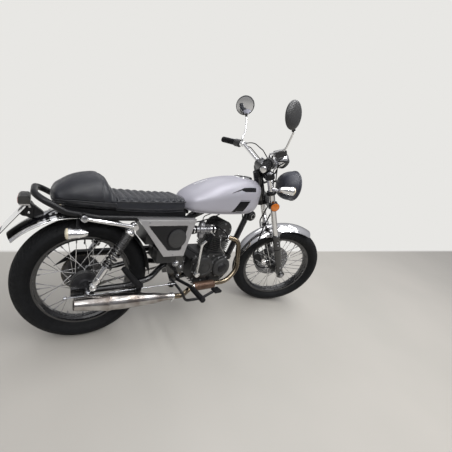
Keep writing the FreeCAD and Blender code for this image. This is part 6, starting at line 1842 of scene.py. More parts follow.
@dataclass
class Panels:
    """Beads, inset frame and round cover of the side panels, and the tray behind them.

    Attributes:
        disc: Middle of the round cover.
        face: Height of the frame's outer face from the middle of the bike.
    """

    disc: tuple[float, float, float] = (412.0, 146.4, 578.0)
    face: float = 144.6

    def outline(self, inset: float) -> np.ndarray:
        """Side panel's corners drawn in by an inset, with round corners."""
        back, front, low_front, low_back = (inset * share for share in (1.6, 1.4, 0.7, 0.6))
        return rounded([(206 + back, 676 - inset), (506 - front, 676 - inset), (462 - low_front, 484 + inset),
                        (352 + low_back, 484 + inset)], 9.0, 6)

    def build(self) -> None:
        """Make the raised frame's soft rim, the recess's bead and the round cover."""
        outer, lip, hole = self.outline(1.5), self.outline(6.0), self.outline(29.0)
        ledge = self.outline(33.0)
        rows = [(outer, 139.0), (lip, self.face), (hole, self.face), (hole, 142.6), (ledge, 142.2),
                (ledge, 139.0)]
        frame_rim = lattice(np.stack([np.stack([r[:, 0], np.full(len(r), y), r[:, 1]], 1) for r, y in rows]),
                            close_u=True, close_v=True)
        bead = self.outline(30.6)
        cord = tube(np.stack([bead[:, 0], np.full(len(bead), 143.4), bead[:, 1]], 1), 1.3, 8, close=True)
        centre = np.array(self.disc)
        dome = turned([(49, -3), (49, 0.2), (46, 1.6), (40, 3.0), (20, 4.6), (6, 5.0)], centre, ACROSS, 64)
        ring = turned([(46.2, 0.6), (48.6, 0.2), (48.6, 1.7), (46.2, 2.3)], centre, ACROSS, 64, ring=True)
        hub = turned([(30, 2.0), (31, 4.4), (33, 4.0), (33, 1.8)], centre, ACROSS, 48, ring=True)
        screws = [turned([(4.4, -1), (4.4, 1.6), (3.0, 2.8)], vec(x, 144.0, z), ACROSS, 16)
                  for x, z in ((262, 661), (470, 661), (400, 497))]
        parts = [frame_rim, cord.dressed(1), dome.dressed(2), ring.dressed(4), hub.dressed(2)]
        parts += [p.dressed(3) for p in screws]
        tray = slab(rounded([(352, 404), (470, 404), (470, 482), (352, 482)], 12.0, 6), 4.0, 62.0, 2.0)
        parts.append(tray.dressed(2))
        Workshop.piece("panel_frames", [q for p in parts for q in both(p)],
                       [PANEL_PAINT, BRUSHED, PLASTIC, ZINC, DARK_CAST],
                       Body.FRAME, "silver_paint")


@dataclass
class Exhaust:
    """Header pipe, ribbed heat box and stepped silencer.

    Attributes:
        port: Where the pipe leaves the head.
        bow: Corners of the pipe between the port and the silencer.
        bend: Radius of its bends.
        bore: Radius of the pipe.
        box: Both ends of the heat box.
        silencer: Both ends of the silencer.
    """

    port: tuple[float, float, float] = (800.0, -30.0, 532.0)
    bow: tuple = ((870, -68, 524), (876, -98, 346), (808, -104, 276), (554, -125.7, 276))
    bend: float = 100.0
    bore: float = 14.2
    box: tuple = ((712.0, -109.0, 271.0), (577.0, -122.0, 276.0))
    silencer: tuple = ((424.0, -164.0, 262.0), (-66.0, -190.0, 308.0))

    def build(self) -> None:
        """Make the pipe with its flange and clamps, and the silencer."""
        start, end = (np.array(place) for place in self.silencer)
        along = unit(end - start)
        length = float(np.linalg.norm(end - start))
        line = [self.port, *self.bow, tuple(start - along * 60), tuple(start + along * 24)]
        pipe = tube(route(line, self.bend, 26), self.bore, 32)
        port = np.array(self.port)
        leave = unit(vec(70, -38, -8))
        flange = turned([(16, 4), (27, 4), (29, 6), (29, 11), (27, 13), (16, 13)], port, leave, 32)
        nut = bolt(port + leave * 13 + unit(np.cross(leave, UP)) * 22, leave, 4.5, 8.0)
        nuts = arranged(nut, np.array([0.4, 0.4 + math.pi]), port, leave)
        head, tail = (np.array(place) for place in self.box)
        way = unit(tail - head)
        far = float(np.linalg.norm(tail - head))
        rows = [(17.5, -6), (23, 2)]
        for at in np.arange(8.0, far - 8.0, 11.0):
            rows += [(23, at), (24.8, at + 1.6), (24.8, at + 4.2), (23, at + 5.8)]
        box = turned(rows + [(23, far - 2), (17.5, far + 6)], head, way, 48)
        clamps = []
        for place, direction, radius in ((tail + way * 9, way, 17.4), (head - way * 9, way, 17.0),
                                         (start + along * 4, along, 21.0)):
            clamps.append(turned([(radius - 2.5, -6), (radius, -5.4), (radius, 5.4), (radius - 2.5, 6)],
                                 place, direction, 36))
            side = unit(np.cross(direction, UP))
            clamps.append(bar(place + vec(0, 0, -radius - 4) - side * 9,
                              place + vec(0, 0, -radius - 4) + side * 9, 3.6, 10))
        Workshop.piece("exhaust_pipe", [pipe, box.dressed(1), gathered([flange, nuts] + clamps).dressed(2)],
                       [HEATED, HEAT_BOX, CHROME], Body.FRAME, "chrome", ("header_pipe",), 40.0)
        cone, step = length * 0.52, length * 0.68
        rows = [(17, 0), (18, 1), (18.6, length * 0.1), (20, length * 0.12), (27, cone * 0.42),
                (33.4, cone * 0.72), (36.6, cone * 0.9), (38, cone * 1.05), (38, step - 1.5),
                (36.8, step - 0.6), (40.5, step), (41, step + 1), (41, step + 9), (40, step + 10),
                (33.8, step + 70), (25.8, length - 2), (25, length), (17, length), (14.5, length - 2),
                (14, length - 58)]
        shell = turned(rows, start, along, 72)
        ring = turned([(40.2, step + 13), (40.9, step + 14), (40.2, step + 18), (38.6, step + 18)],
                      start, along, 64, ring=True)
        strap = slab(rounded([(228, 262), (250, 262), (262, 342), (238, 350)], 5.0, 4), -134.0, -129.0, 0.8)
        lug = bar(start + along * 186 + vec(0, 52, 18), start + along * 186 + vec(0, 20, 12), 7.0, 16)
        Workshop.piece("silencer", [shell, ring, strap.dressed(1), lug.dressed(1)], [SILENCER, SATIN_BLACK],
                       Body.FRAME, "chrome", ("muffler",), 30.0)


@dataclass
class Engine:
    """Upright finned barrel with a round head, covers, carburettor and kick lever.

    Attributes:
        crank: Crankshaft, as X and Z.
        tilt: Lean of the cylinder to the front.
        base: Distance of the cylinder's foot from the crank.
        fins: Number of fins.
        pitch: Distance of one fin from the next.
        drum: Radius of the head.
        fin_half: Half width of a fin.
        right_covers: X, Z, depth and radius of each round cover on the right.
        left_covers: The same on the left.
        wall: Half width of the cases.
        intake: Rear end of the carburettor's body.
        kick: Corners of the kick lever.
    """

    crank: tuple[float, float] = (704.0, 372.0)
    tilt: float = math.radians(13.0)
    base: float = 82.0
    fins: int = 7
    pitch: float = 11.0
    drum: float = 56.0
    fin_half: float = 68.0
    right_covers: tuple = ((632, 376, 27, 66), (752, 370, 34, 60))
    left_covers: tuple = ((718, 370, 27, 68),)
    wall: float = 78.2
    intake: tuple[float, float, float] = (566.0, -46.0, 588.0)
    kick: tuple = ((576, -124, 354), (540, -176, 553), (586, -196, 616))

    def stood(self, part: Part) -> Part:
        """Carry a piece drawn along +Z from the crank to the tilted cylinder."""
        c, s = math.cos(self.tilt), math.sin(self.tilt)
        return part.moved(np.array([[c, 0, s], [0, 1, 0], [-s, 0, c]]), vec(self.crank[0], 0, self.crank[1]))

    @staticmethod
    def pane(half: float, low: float, high: float, corner: float, edge: float = 0.5) -> Part:
        """Flat square plate across the cylinder."""
        outline = rounded([(-half, -half), (half, -half), (half, half), (-half, half)], corner, 6)
        return slab(outline, low, high, edge).moved(np.array([[1.0, 0, 0], [0, 0, 1], [0, 1, 0]]),
                                                    vec(0, 0, 0))

    def barrel(self) -> None:
        """Make the fins, the head's drum and its round caps."""
        base = self.base
        top = base + self.fins * self.pitch
        middle = vec(0, 0, top + self.drum)
        parts = [turned([(50, 60), (50, middle[2])], vec(0, 0, 0), UP, 40), self.pane(60, 70, 84, 14)]
        for index in range(self.fins):
            low = base + self.pitch * index + 4
            parts.append(self.pane(self.fin_half - 1.2 * (index == self.fins - 1), low, low + 3.4, 16))
        parts.append(self.pane(51, middle[2] - 58, middle[2] - 6, 12, 2.0))
        side = ACROSS
        parts.append(turned([(49, -54), (52, -53), (52, 53), (49, 54)], middle, side, 56))
        for y in np.linspace(-54, 54, 7):
            parts.append(turned([(50, y - 1.8), (56, y - 1.5), (56.8, y), (56, y + 1.5), (50, y + 1.8)],
                                middle, side, 64))
        for fin in (-30.0, -15.0, 0.0, 15.0, 30.0):
            rib = slab(rounded([(-50, -2), (-62, -2), (-62, 34), (-46, 44), (-40, 44)], 5.0, 4), fin - 1.6,
                       fin + 1.6, 0.4)
            parts.append(rib.shifted(0, 0, middle[2] - 44))
        caps, bolts = [], []
        for sign in (-1.0, 1.0):
            axis = sign * ACROSS
            caps.append(turned([(30, 54), (45, 54.5), (46.5, 57), (46, 60.5), (42, 62.5),
                                (33, 63), (31, 61.4), (12, 61.4)],
                               middle, axis, 56))
            bolts.append(arranged(bolt(middle + vec(39.5, sign * 61.6, 0), axis, 3.8, 6.0),
                                  np.arange(5) * FULL / 5 + 0.5,
                                  middle, axis))
            bolts.append(turned([(11, 61), (11, 64), (8, 65.5)], middle, axis, 6))
        studs = [turned([(4.6, 0), (4.6, 9), (3, 10)], vec(x, y, top), UP, 6)
                 for x in (-57, 57) for y in (-57, 57)]
        plug = tube(route([(20, -62, 168), (26, -78, 176), (18, -86, 196), (-8, -84, 214), (-60, -60, 232)],
                          16.0),
                    3.6, 12)
        loop = tube(route([(-6, -62, 190), (-18, -82, 166), (-10, -90, 130), (24, -90, 104), (50, -84, 88)],
                          20.0),
                    2.4, 10)
        whole = [gathered(parts + caps), gathered(bolts + studs).dressed(1), plug.dressed(2), loop.dressed(3)]
        Workshop.piece("finned_barrel", [self.stood(p) for p in whole], [ENGINE_BLACK, ZINC, RUBBER, BRUSHED],
                       Body.FRAME, "engine_black", ("engine_cylinder",), 30.0)

    @staticmethod
    def cover(x: float, z: float, inner: float, deep: float, radius: float, sign: float,
              count: int) -> tuple[Part, Part]:
        """Round cover with a soft edge and a stepped middle, and the bolts round its rim.

        Args:
            x: The cover's X.
            z: Its Z.
            inner: Where it starts.
            deep: Its depth.
            radius: Its radius.
            sign: 1 on the left, -1 on the right.
            count: Number of bolts.

        Returns:
            The cover and its bolts.
        """
        shares = [(1.05, 0.0), (1.06, 0.12), (1.0, 0.2), (1.0, 0.45), (0.95, 0.78), (0.84, 0.93), (0.66, 1.0),
                  (0.58, 1.0),
                  (0.56, 0.92), (0.3, 0.92)]
        axis = sign * ACROSS
        body = turned([(radius * r, inner + deep * d) for r, d in shares], vec(x, 0, z), axis, 64)
        lug = turned([(7, inner), (7, inner + deep * 0.3), (5.6, inner + deep * 0.36)],
                     vec(x + radius * 1.03, 0, z), axis, 16)
        head = bolt(vec(x + radius * 1.03, sign * (inner + deep * 0.34), z), axis, 4.0, 5.0)
        turns = (np.arange(count) + 0.5) * FULL / count
        centre = vec(x, 0, z)
        return gathered([body, arranged(lug, turns, centre, axis)]), arranged(head, turns, centre, axis)

    def cases(self) -> None:
        """Make the covers of both sides, the front of the cases and the filler."""
        parts, bolts = [], []
        covers = [(*row, -1.0) for row in self.right_covers] + [(*row, 1.0) for row in self.left_covers]
        for x, z, deep, radius, sign in covers:
            body, heads = self.cover(x, z, self.wall, deep, radius, sign, 8)
            parts.append(body)
            bolts.append(heads)
        lid = slab(rounded([(510, 330), (560, 322), (720, 326), (720, 416), (560, 422), (510, 412)], 22.0, 8),
                   83, 91, 2.0)
        nose = slab(rounded([(690, 266), (772, 264), (812, 300), (812, 388), (778, 446), (700, 450)],
                            18.0, 8),
                    -78.4, 78.4, 6.0)
        mount = [slab(rounded([(792, 372), (868, 380), (876, 404), (800, 424)], 8.0, 4), y, y + 5, 0.6)
                 for y in (-27, 22)]
        rib = slab(rounded([(590, 260), (780, 260), (780, 266), (590, 266)], 1.5, 3), -2, 2, 0.5)
        ribs = [rib.shifted(0, y, 0) for y in (-60, -36, -12, 12, 36, 60)]
        dome = turned([(30, 108), (29, 112), (24, 116.5), (14, 119.5), (5, 120.4)], vec(752, 0, 370),
                      -ACROSS, 48)
        rim = turned([(29.5, 108), (37, 108), (37.4, 111.6), (35, 113.4), (31.5, 113.4), (29.5, 112)],
                     vec(752, 0, 370), -ACROSS, 56, ring=True)
        disc = turned([(24, 102), (24, 105.4), (21, 106.4)], vec(632, 0, 376), -ACROSS, 40)
        filler = gathered([turned([(15, 78), (15, 86), (17, 87), (17, 96), (14, 98)], vec(566, 0, 424),
                                  -ACROSS, 12),
                           turned([(13, 78), (13, 82), (10, 83)], vec(690, 0, 300), -ACROSS, 28)])
        screws = [bolt(vec(x, -78.4, z), -ACROSS, 4.4, 6.0)
                  for x, z in ((582, 300), (640, 286), (700, 276), (776, 290), (800, 330),
                               (700, 436), (770, 436), (580, 440))]
        Workshop.piece("case_covers",
                       [gathered(parts + [lid, nose] + ribs), gathered(bolts + screws).dressed(1),
                        dome.dressed(2), rim.dressed(3), disc.dressed(0), filler.dressed(2),
                        gathered(mount).dressed(4)],
                       [ENGINE_BLACK, ZINC, SATIN_BLACK, DARK_CAST,
                        SATIN_BLACK], Body.FRAME, "engine_black", ("engine_covers",), 30.0)

    def feed(self) -> None:
        """Make the carburettor, its boots and clamps, the kick lever and the thin cables."""
        inlet, axis = np.array(self.intake), AHEAD
        y, z = self.intake[1:]
        body = turned([(17, 0), (22, 1), (22, 8), (19, 10), (19, 24), (24, 27), (24, 52), (19, 56),
                       (19, 68), (23, 70), (23, 80), (17, 82)], inlet, axis, 40)
        bowl = turned([(14, -46), (17, -45), (19, -42), (19, -22), (21, -21), (21, -17), (18, -16),
                       (16, 16), (20, 18), (20, 30), (18.6, 32), (17, 44), (14, 46)], vec(607, y, z), UP, 36)
        flange = turned([(21, 81), (26, 81), (26, 88), (20, 89)], inlet, axis, 24)
        screws = gathered([bolt(vec(607 + dx, y + dy, z - 22), UP, 3, 5) for dx in (-17, 17)
                           for dy in (-14, 14)]
                          + [turned([(4, 0), (4, 10), (2.5, 12)], vec(607, y - 18, z - 4), -ACROSS, 12)])
        boots = gathered([turned([(19, -118), (19, -96), (22, -92), (22, -62), (20, -58), (20, -30),
                                  (24, -26), (24, -2), (22, 2)], inlet, axis, 32),
                          bar(vec(640, y, z), vec(706, y, z), 18.5, 28)])
        bands = gathered([turned([(24, a), (25.4, a + 0.6), (25.4, a + 7.4), (24, a + 8)], inlet, axis, 36)
                          for a in (-18.0, 90.0, 112.0)])
        boss = turned([(13, 112.6), (15, 113.4), (15, 133.4), (13, 134.6), (6, 135)], vec(576, 0, 354),
                      -ACROSS, 32)
        lever = tube(route(self.kick, 40.0, 14), 7.0, 18)
        grip_turn = unit(np.subtract(self.kick[2], self.kick[1]))
        grip = turned([(7.5, 0)] + [(r, a + d) for a in np.arange(4.0, 42.0, 6.0) for r,
                                    d in ((10.2, 0), (10.2, 3.4), (8.6, 4.4))]
                      + [(10.2, 44), (8, 47)], np.array(self.kick[2]) - grip_turn * 50, grip_turn, 24)
        Workshop.piece("carburettor_and_kick",
                       [gathered([body, bowl, flange]), screws.dressed(1), boots.dressed(2),
                        gathered([bands, boss, lever]).dressed(3), grip.dressed(2)],
                       [BRIGHT_CAST, ZINC, RUBBER, CHROME], Body.FRAME, "cast_aluminium",
                       ("carburettor", "kick_starter"), 30.0)
        runs = [([(607, -46, 634), (604, -50, 664), (650, -60, 686), (760, -72, 694), (872, -60, 700)], 2.6),
                ([(520, -86, 640), (560, -92, 650), (640, -88, 668), (700, -70, 690)], 3.2),
                ([(640, -50, 560), (660, -74, 520), (664, -90, 470), (640, -92, 440), (606, -84, 430)], 2.4),
                ([(470, -96, 560), (510, -98, 500), (560, -92, 470), (610, -84, 448)], 3.0),
                ([(860, -52, 694), (880, -50, 640), (872, -44, 560), (850, -30, 480), (842, -24, 420)], 3.0),
                ([(880, -46, 690), (912, -40, 680), (938, -34, 676)], 2.2)]
        lines = [tube(route(points, 30.0), radius, 10) for points, radius in runs]
        top = vec(941, -36, 666.6)
        disc = turned([(24, 0), (30, 2), (31, 6), (30, 12), (24, 20), (14, 25), (6, 26)], top, -ACROSS, 40)
        ring = turned([(12, 23), (15, 23), (15, 27), (12, 27)], top, -ACROSS, 32, ring=True)
        stub = bar(vec(944, 2, 660), top, 6.0, 12)
        Workshop.piece("horn_and_wires", lines + [disc.dressed(1), ring.dressed(2), stub.dressed(1)],
                       [RUBBER, SATIN_BLACK, CHROME], Body.FRAME, "black_plastic", ("horn",), 30.0)

    def build(self) -> None:
        """Make every engine piece."""
        self.barrel()
        self.cases()
        self.feed()


@dataclass
class Feet:
    """Rubber pegs, the brake's rod, and the chain side's bolts."""

    def build(self) -> None:
        """Make the ribs of the pegs, the brake's rod and the frame's bolts."""
        rows = [(11, 178)]
        for at in np.arange(181.0, 280.0, 7.0):
            rows += [(14.6, at), (14.6, at + 3.6), (12.6, at + 4.4), (12.6, at + 6.2)]
        ribs = turned(rows + [(14.6, 284), (13, 286.6)], vec(532, 0, 300), ACROSS, 28)
        hinge, tip = vec(230, 158, 347), vec(148, 168, 452)
        along = unit(tip - hinge)
        rows = [(11, 6)]
        for at in np.arange(8.0, 120.0, 7.5):
            rows += [(13.6, at), (13.6, at + 4), (11.8, at + 5), (11.8, at + 6.6)]
        rest = turned(rows + [(13, 128), (10, 130)], hinge, along, 24)
        pad = slab(rounded([(650, 282), (690, 284), (694, 296), (652, 292)], 3.0, 3), -222, -178, 1.0)
        plates = [p for q in (ribs, rest) for p in both(q)]
        Workshop.piece("peg_rubbers", plates + [pad], [RUBBER], Body.FRAME, "rubber")
        rod = bar(vec(-96, -131, 303.6), vec(452, -121, 309), 3.2, 12)
        nut = turned([(5, 0), (9, 2), (9, 14), (6, 17)], vec(-104, -131, 303.6), AHEAD, 16)
        spring = tube(np.stack([np.linspace(-60, -22, 120), -131 + 6 * np.cos(np.linspace(0, 60, 120)),
                                304 + 6 * np.sin(np.linspace(0, 60, 120))], 1), 1.0, 6)
        axle = turned([(15, 134), (15, 137), (13, 138), (13, 146), (10, 148), (7, 148), (7, 153), (5, 154)],
                      vec(0, 0, 321), -ACROSS, 6)
        parts = [rod, nut, spring, axle]
        for sign in (-1, 1):
            side = sign * ACROSS
            parts += [bolt(vec(474, sign * 56.2, 395), side, 14, 11),
                      bolt(vec(506, sign * 56.2, 372), side, 8, 8),
                      bolt(vec(508, sign * 56.2, 448), side, 8, 8),
                      bolt(vec(470, sign * 56.2, 478), side, 7, 7),
                      bolt(vec(500, sign * 56.2, 316), side, 9, 8)]
        parts += [bolt(vec(x, y, z), -ACROSS, 5.0, 6.0) for x, y, z in ((836, -27, 396), (812, -27, 410))]
        cap = turned([(11, 160.5), (12.6, 161.5), (14.4, 164), (14.4, 168), (9.8, 170), (9.8, 173),
                      (5, 174.4)],
                     vec(-26, 0, 684), ACROSS, 32)
        parts += both(cap)
        Workshop.piece("bright_bolts", parts, [POLISHED], Body.FRAME, "plain_steel", (), 30.0)


@dataclass
class Cockpit:
    """Headlight, speedometer, mirrors, grips, levers and front indicators, on the fork.

    Attributes:
        lamp: Middle of the headlight's front.
        dip: How far it looks down.
        shell: Radius of its shell.
        depth: Depth of its shell.
        gauge_top: Middle of the speedometer's face.
        mirror: Middle of the left mirror's glass.
        bar_end: Left end of the handlebar.
        bar_bend: Where its left grip's run begins.
    """

    lamp: tuple[float, float, float] = (164.0, 0.0, 558.0)
    dip: float = math.radians(20.0)
    shell: float = 86.0
    depth: float = 98.0
    gauge_top: tuple[float, float, float] = (92.0, 0.0, 748.0)
    mirror: tuple[float, float, float] = (36.0, 324.0, 1030.0)
    bar_end: tuple[float, float, float] = (-126.0, 379.0, 859.0)
    bar_bend: tuple[float, float, float] = (-34.0, 214.0, 828.0)

    def headlight(self) -> None:
        """Make the hollow bucket, its rim, reflector, bulb and glass."""
        ahead = vec(math.cos(self.dip), 0, -math.sin(self.dip))
        front = np.array(self.lamp)
        back = front - ahead * self.depth
        shares = [(0.30, 0.02), (0.56, 0.10), (0.70, 0.18), (0.78, 0.26), (0.86, 0.36), (0.92, 0.48),
                  (0.96, 0.60), (0.985, 0.72), (1.0, 0.90)]
        outside = [(self.shell * r, self.depth * a) for r, a in shares] + [(self.shell, 92)]
        inside = [(r - 3, a + 3) for r, a in outside[:0:-1]]
        shell = turned([(10, 0)] + outside + [(82, 93)] + inside + [(10, 5)], back, ahead, 96)
        rim = turned([(84, -9), (88.4, -8), (89, -5), (88.6, 0), (86, 3.4), (82.4, 4), (80.8, 1), (81.4, -7)],
                     front, ahead,
                     96, ring=True)
        trim = turned([(82.4, 3.2), (85.6, 3.6), (85.2, 4.8), (82.6, 4.6)], front, ahead, 96, ring=True)
        bowl = turned([(80, -5), (70, -22), (52, -40), (32, -52), (10, -57), (8, -59), (34, -54.5), (54, -42),
                       (72, -24),
                       (81.2, -6)], front, ahead, 80, ring=True)
        bulb = turned([(7, -58), (7, -34), (4, -28)], front, ahead, 24)
        ears = []
        for sign in (-1, 1):
            y = sign * 68.0
            end = front - ahead * 49 + vec(0, sign * 86, 0)
            leg = vec(0, sign * 91, 600)
            ears += [turned([(16.8, -9), (25, -9), (25.5, -8), (25.5, 8), (25, 9), (16.8, 9)], leg, UP,
                            32, ring=True),
                     tube(route([(4, y, 600), (34, y + sign * 6, 600), tuple(end)], 22.0), 6.5, 14),
                     turned([(13, -7), (13, 5), (9, 7)], end, sign * ACROSS, 24)]
        bolts = [turned([(9.5, 6), (9.5, 12), (7, 13.5)], front - ahead * 49 + vec(0, s * 86, 0),
                        vec(0, s, 0), 6)
                 for s in (-1, 1)]
        Workshop.piece("headlight_bucket", [shell, gathered(ears).dressed(1), rim.dressed(2),
                                            gathered([trim] + bolts).dressed(3),
                                            bowl.dressed(4), bulb.dressed(4)],
                       [SLATE, SATIN_BLACK, SLATE, CHROME, MIRROR], Body.FORK, "black_plastic",
                       ("headlight",), 30.0)
        glass = turned([(80.4, -4), (80.6, 0), (76, 4.4), (66, 7.6), (50, 10.8), (30, 13),
                        (12, 13.8), (12, 11.4), (30, 10.6),
                        (50, 8.4), (66, 5.2), (76, 1.6), (78.6, -2)], front, ahead, 96)
        Workshop.piece("headlight_lens", [glass], [GLASS], Body.FORK, "clear_glass",
                       ("headlight_glass",), 30.0)

    def gauge(self) -> None:
        """Make the speedometer's bezel, face and pointer, the bar's cover, the lock and the fork's caps."""
        tilt = math.radians(38.0)
        facing = vec(-math.sin(tilt), 0, math.cos(tilt))
        top = np.array(self.gauge_top)
        bezel = turned([(43.2, -26), (44.6, -25), (45.4, -20), (45.4, 0), (44, 3), (40, 4), (38.5, 2),
                        (38.5, 0.3)],
                       top, facing,
                       72, ring=True)
        face = turned([(39, 0.2), (39, 1.0), (2, 1.1)], top, facing, 48)
        across = unit(np.cross(facing, ACROSS))
        marks = [bar(top + facing * 1.2 + 29 * d, top + facing * 1.2 + (36 if k % 2 else 33) * d, 0.8, 6)
                 for k in range(13)
                 for d in [math.cos(k * 0.36 - 0.6) * ACROSS + math.sin(k * 0.36 - 0.6) * across]]
        pointer = bar(top + facing * 2.4,
                      top + facing * 2.4 + 27 * unit(vec(0, -0.8, 0) - 0.5 * across), 1.1, 6)
        cover = slab(rounded([(-30, 716), (26, 716), (30, 752), (20, 764), (-20, 764), (-34, 746)], 9.0, 6),
                     -58, 58, 6.0)
        lock = turned([(12, -4), (15, -2), (15, 6), (12.5, 8), (9, 8), (8, 5), (2, 5)], vec(-6, -34, 764),
                      vec(-0.5, -0.1, 0.86), 36)
        caps = [turned([(15.5, 712), (15.5, 719), (13.5, 721), (8, 721), (7, 724), (4, 725)],
                       vec(0, y, 0), UP, 28)
                for y in (-91, 91)]
        clamps = [bolt(vec(x, y, 764), UP, 5.5, 7) for x in (-14, 14) for y in (-42, 42)]
        studs = [bolt(vec(22, y, z + 15), AHEAD, 5, 7) for y in (-91, -70, 70, 91) for z in (505, 684)]
        Workshop.piece("gauge_and_yoke_trim",
                       [bezel, face.dressed(1), gathered(marks).dressed(2), pointer.dressed(2),
                        cover.dressed(1), gathered([lock] + caps + clamps + studs).dressed(3)],
                       [CHROME, PLASTIC, WHITE_PRINT_AND_PAINTED_HIGHLIGHT, POLISHED], Body.FORK, "black_plastic", (), 30.0)

    def mirrors(self) -> None:
        """Make the round mirrors with their glass, turned back and towards the rider."""
        parts = []
        for sign in (-1.0, 1.0):
            normal = unit(vec(-0.5, -0.866, 0) if sign > 0 else vec(-0.58, 0.815, 0))
            centre = np.array(self.mirror) * vec(1, sign, 1)
            shell = turned([(51.6, 0.4), (55.4, 1.2), (57, -1.6), (57, -5), (55.4, -7.6), (48, -12),
                            (34, -15.6), (14, -17)],
                           centre, normal, 64)
            glass = turned([(52.2, -1.0), (52.2, 0.8), (50.4, 1.6), (8, 1.9)], centre, normal, 64)
            boss = turned([(6, 0), (7.5, 1), (7.5, 17), (5.5, 19)], centre + vec(0, 0, -66), UP, 24)
            parts += [shell, glass.dressed(1), boss]
        Workshop.piece("round_mirrors", parts, [PLASTIC, MIRROR], Body.FORK, "mirror_shell",
                       ("mirror_heads",), 30.0)

    def bars(self) -> None:
        """Make ribs and ends of the grips, the switch boxes, lever perches and cables."""
        end, inner = np.array(self.bar_end), np.array(self.bar_bend)
        inward = unit(inner - end)
        rows = []
        for at in np.arange(7.0, 112.0, 5.0):
            rows += [(18.2, at), (18.2, at + 2.6), (17.2, at + 3.0), (17.2, at + 4.6)]
        grip = turned([(16, 4)] + rows + [(20.5, 113), (20.5, 117), (16, 118)], end, inward, 28)
        weight = turned([(9, -0.6), (12.5, 0.4), (14.5, 2), (14.5, 5)], end, inward, 28)
        ahead = unit(vec(1, 0, -0.2))
        pod = end + inward * 141
        box = turned([(20, -20), (23.4, -18), (23.4, -1), (22.4, 0), (23.4, 1), (23.4, 18), (20, 20)],
                     pod, inward, 28)
        perch = turned([(13, -11), (15, -9), (15, 9), (13, 11)], pod + inward * 36, inward, 24)
        pivot = turned([(9, -9), (9, 9), (6, 10)], pod + inward * 34 + ahead * 20, UP, 20)
        button = turned([(5, 18), (5, 27), (3.5, 28)], pod, unit(vec(-0.7, 0, 0.7)), 16)
        run = route([tuple(pod + inward * 30 + ahead * 22), (40, 250, 812), (60, 150, 774), (58, 60, 730),
                     (52, 34, 640)], 50.0, 10)
        second = route([tuple(pod + ahead * 12 + vec(0, 0, -18)), (4, 214, 800), (22, 110, 742),
                        (34, 50, 700), (40, 30, 620)], 40.0, 10)
        lines = [tube(run, 3.0, 10), tube(second, 2.6, 10)]
        parts = [grip.dressed(0), weight.dressed(1), box.dressed(2), perch.dressed(1), pivot.dressed(1),
                 button.dressed(2)]
        parts += [p.dressed(0) for p in lines]
        tank = slab(rounded([(-26, 846), (26, 842), (26, 870), (-24, 874)], 5.0, 4), -262, -226,
                    2.0).shifted(4, 0, 2)
        Workshop.piece("bar_fittings", [q for p in parts for q in both(p)] + [tank.dressed(2)],
                       [RUBBER, CHROME, PLASTIC], Body.FORK, "rubber", (), 30.0)

    def low(self) -> None:
        """Make the front indicators, fender stays, side reflectors' rims, caliper bolts and axle nuts."""
        ahead = vec(math.cos(RAKE), 0, -math.sin(RAKE))
        lamps = bullet(vec(48, 178, 632), -ahead, vec(2, 108, 626))
        lamps.append(tube(route([(2, 112, 627), (18, 150, 630), (36, 172, 631)], 20.0), 9.0, 16))
        parts = [q for p in lamps for q in both(p)]
        Workshop.piece("front_bullets", parts, [CHROME, CREAM, SATIN_BLACK], Body.FORK, "chrome",
                       ("front_indicators",), 30.0)
        rim = turned([(22.4, 127), (25.4, 127.4), (25.6, 117), (22, 117)], vec(0, 0, 520), ACROSS,
                     40, ring=True)
        dome = turned([(22.6, 126), (21, 129), (14, 131), (5, 131.8)], vec(0, 0, 520), ACROSS, 40)
        stay = [tube(route([(0, 69, z), (dx * 0.5, 62, z + 40), (dx, 57, z + rise)], 14.0), 4.0, 10)
                for z, dx, rise in ((252, 46, 46), (252, -46, 46))]
        hoop = slab(rounded([(-52, 282), (52, 282), (46, 304), (-46, 304)], 8.0, 4), 56.5, 59.5, 0.8)
        nut = turned([(13, 114), (13, 124), (10, 126), (6, 126)], vec(0, 0, 0), ACROSS, 6)
        pinch = [bolt(vec(x, 114, z), ACROSS, 4.5, 5.5) for x, z in ((0, 22), (0, 60), (0, 240), (0, 262))]
        band = turned([(22.2, 200), (23.2, 202), (23.2, 206), (22.2, 208)], vec(0, 91, 0), UP, 32, ring=True)
        parts = [(rim, 0), (dome, 1), (hoop, 2), (nut, 2), (band, 0)] + [(p, 2) for p in stay + pinch]
        Workshop.piece("fork_fittings", [q for p, n in parts for q in both(p.dressed(n))],
                       [SATIN_BLACK, AMBER, ZINC], Body.FORK, "plain_steel", (), 30.0)

    def build(self) -> None:
        """Make every piece on the fork."""
        self.headlight()
        self.gauge()
        self.mirrors()
        self.bars()
        self.low()


# Room


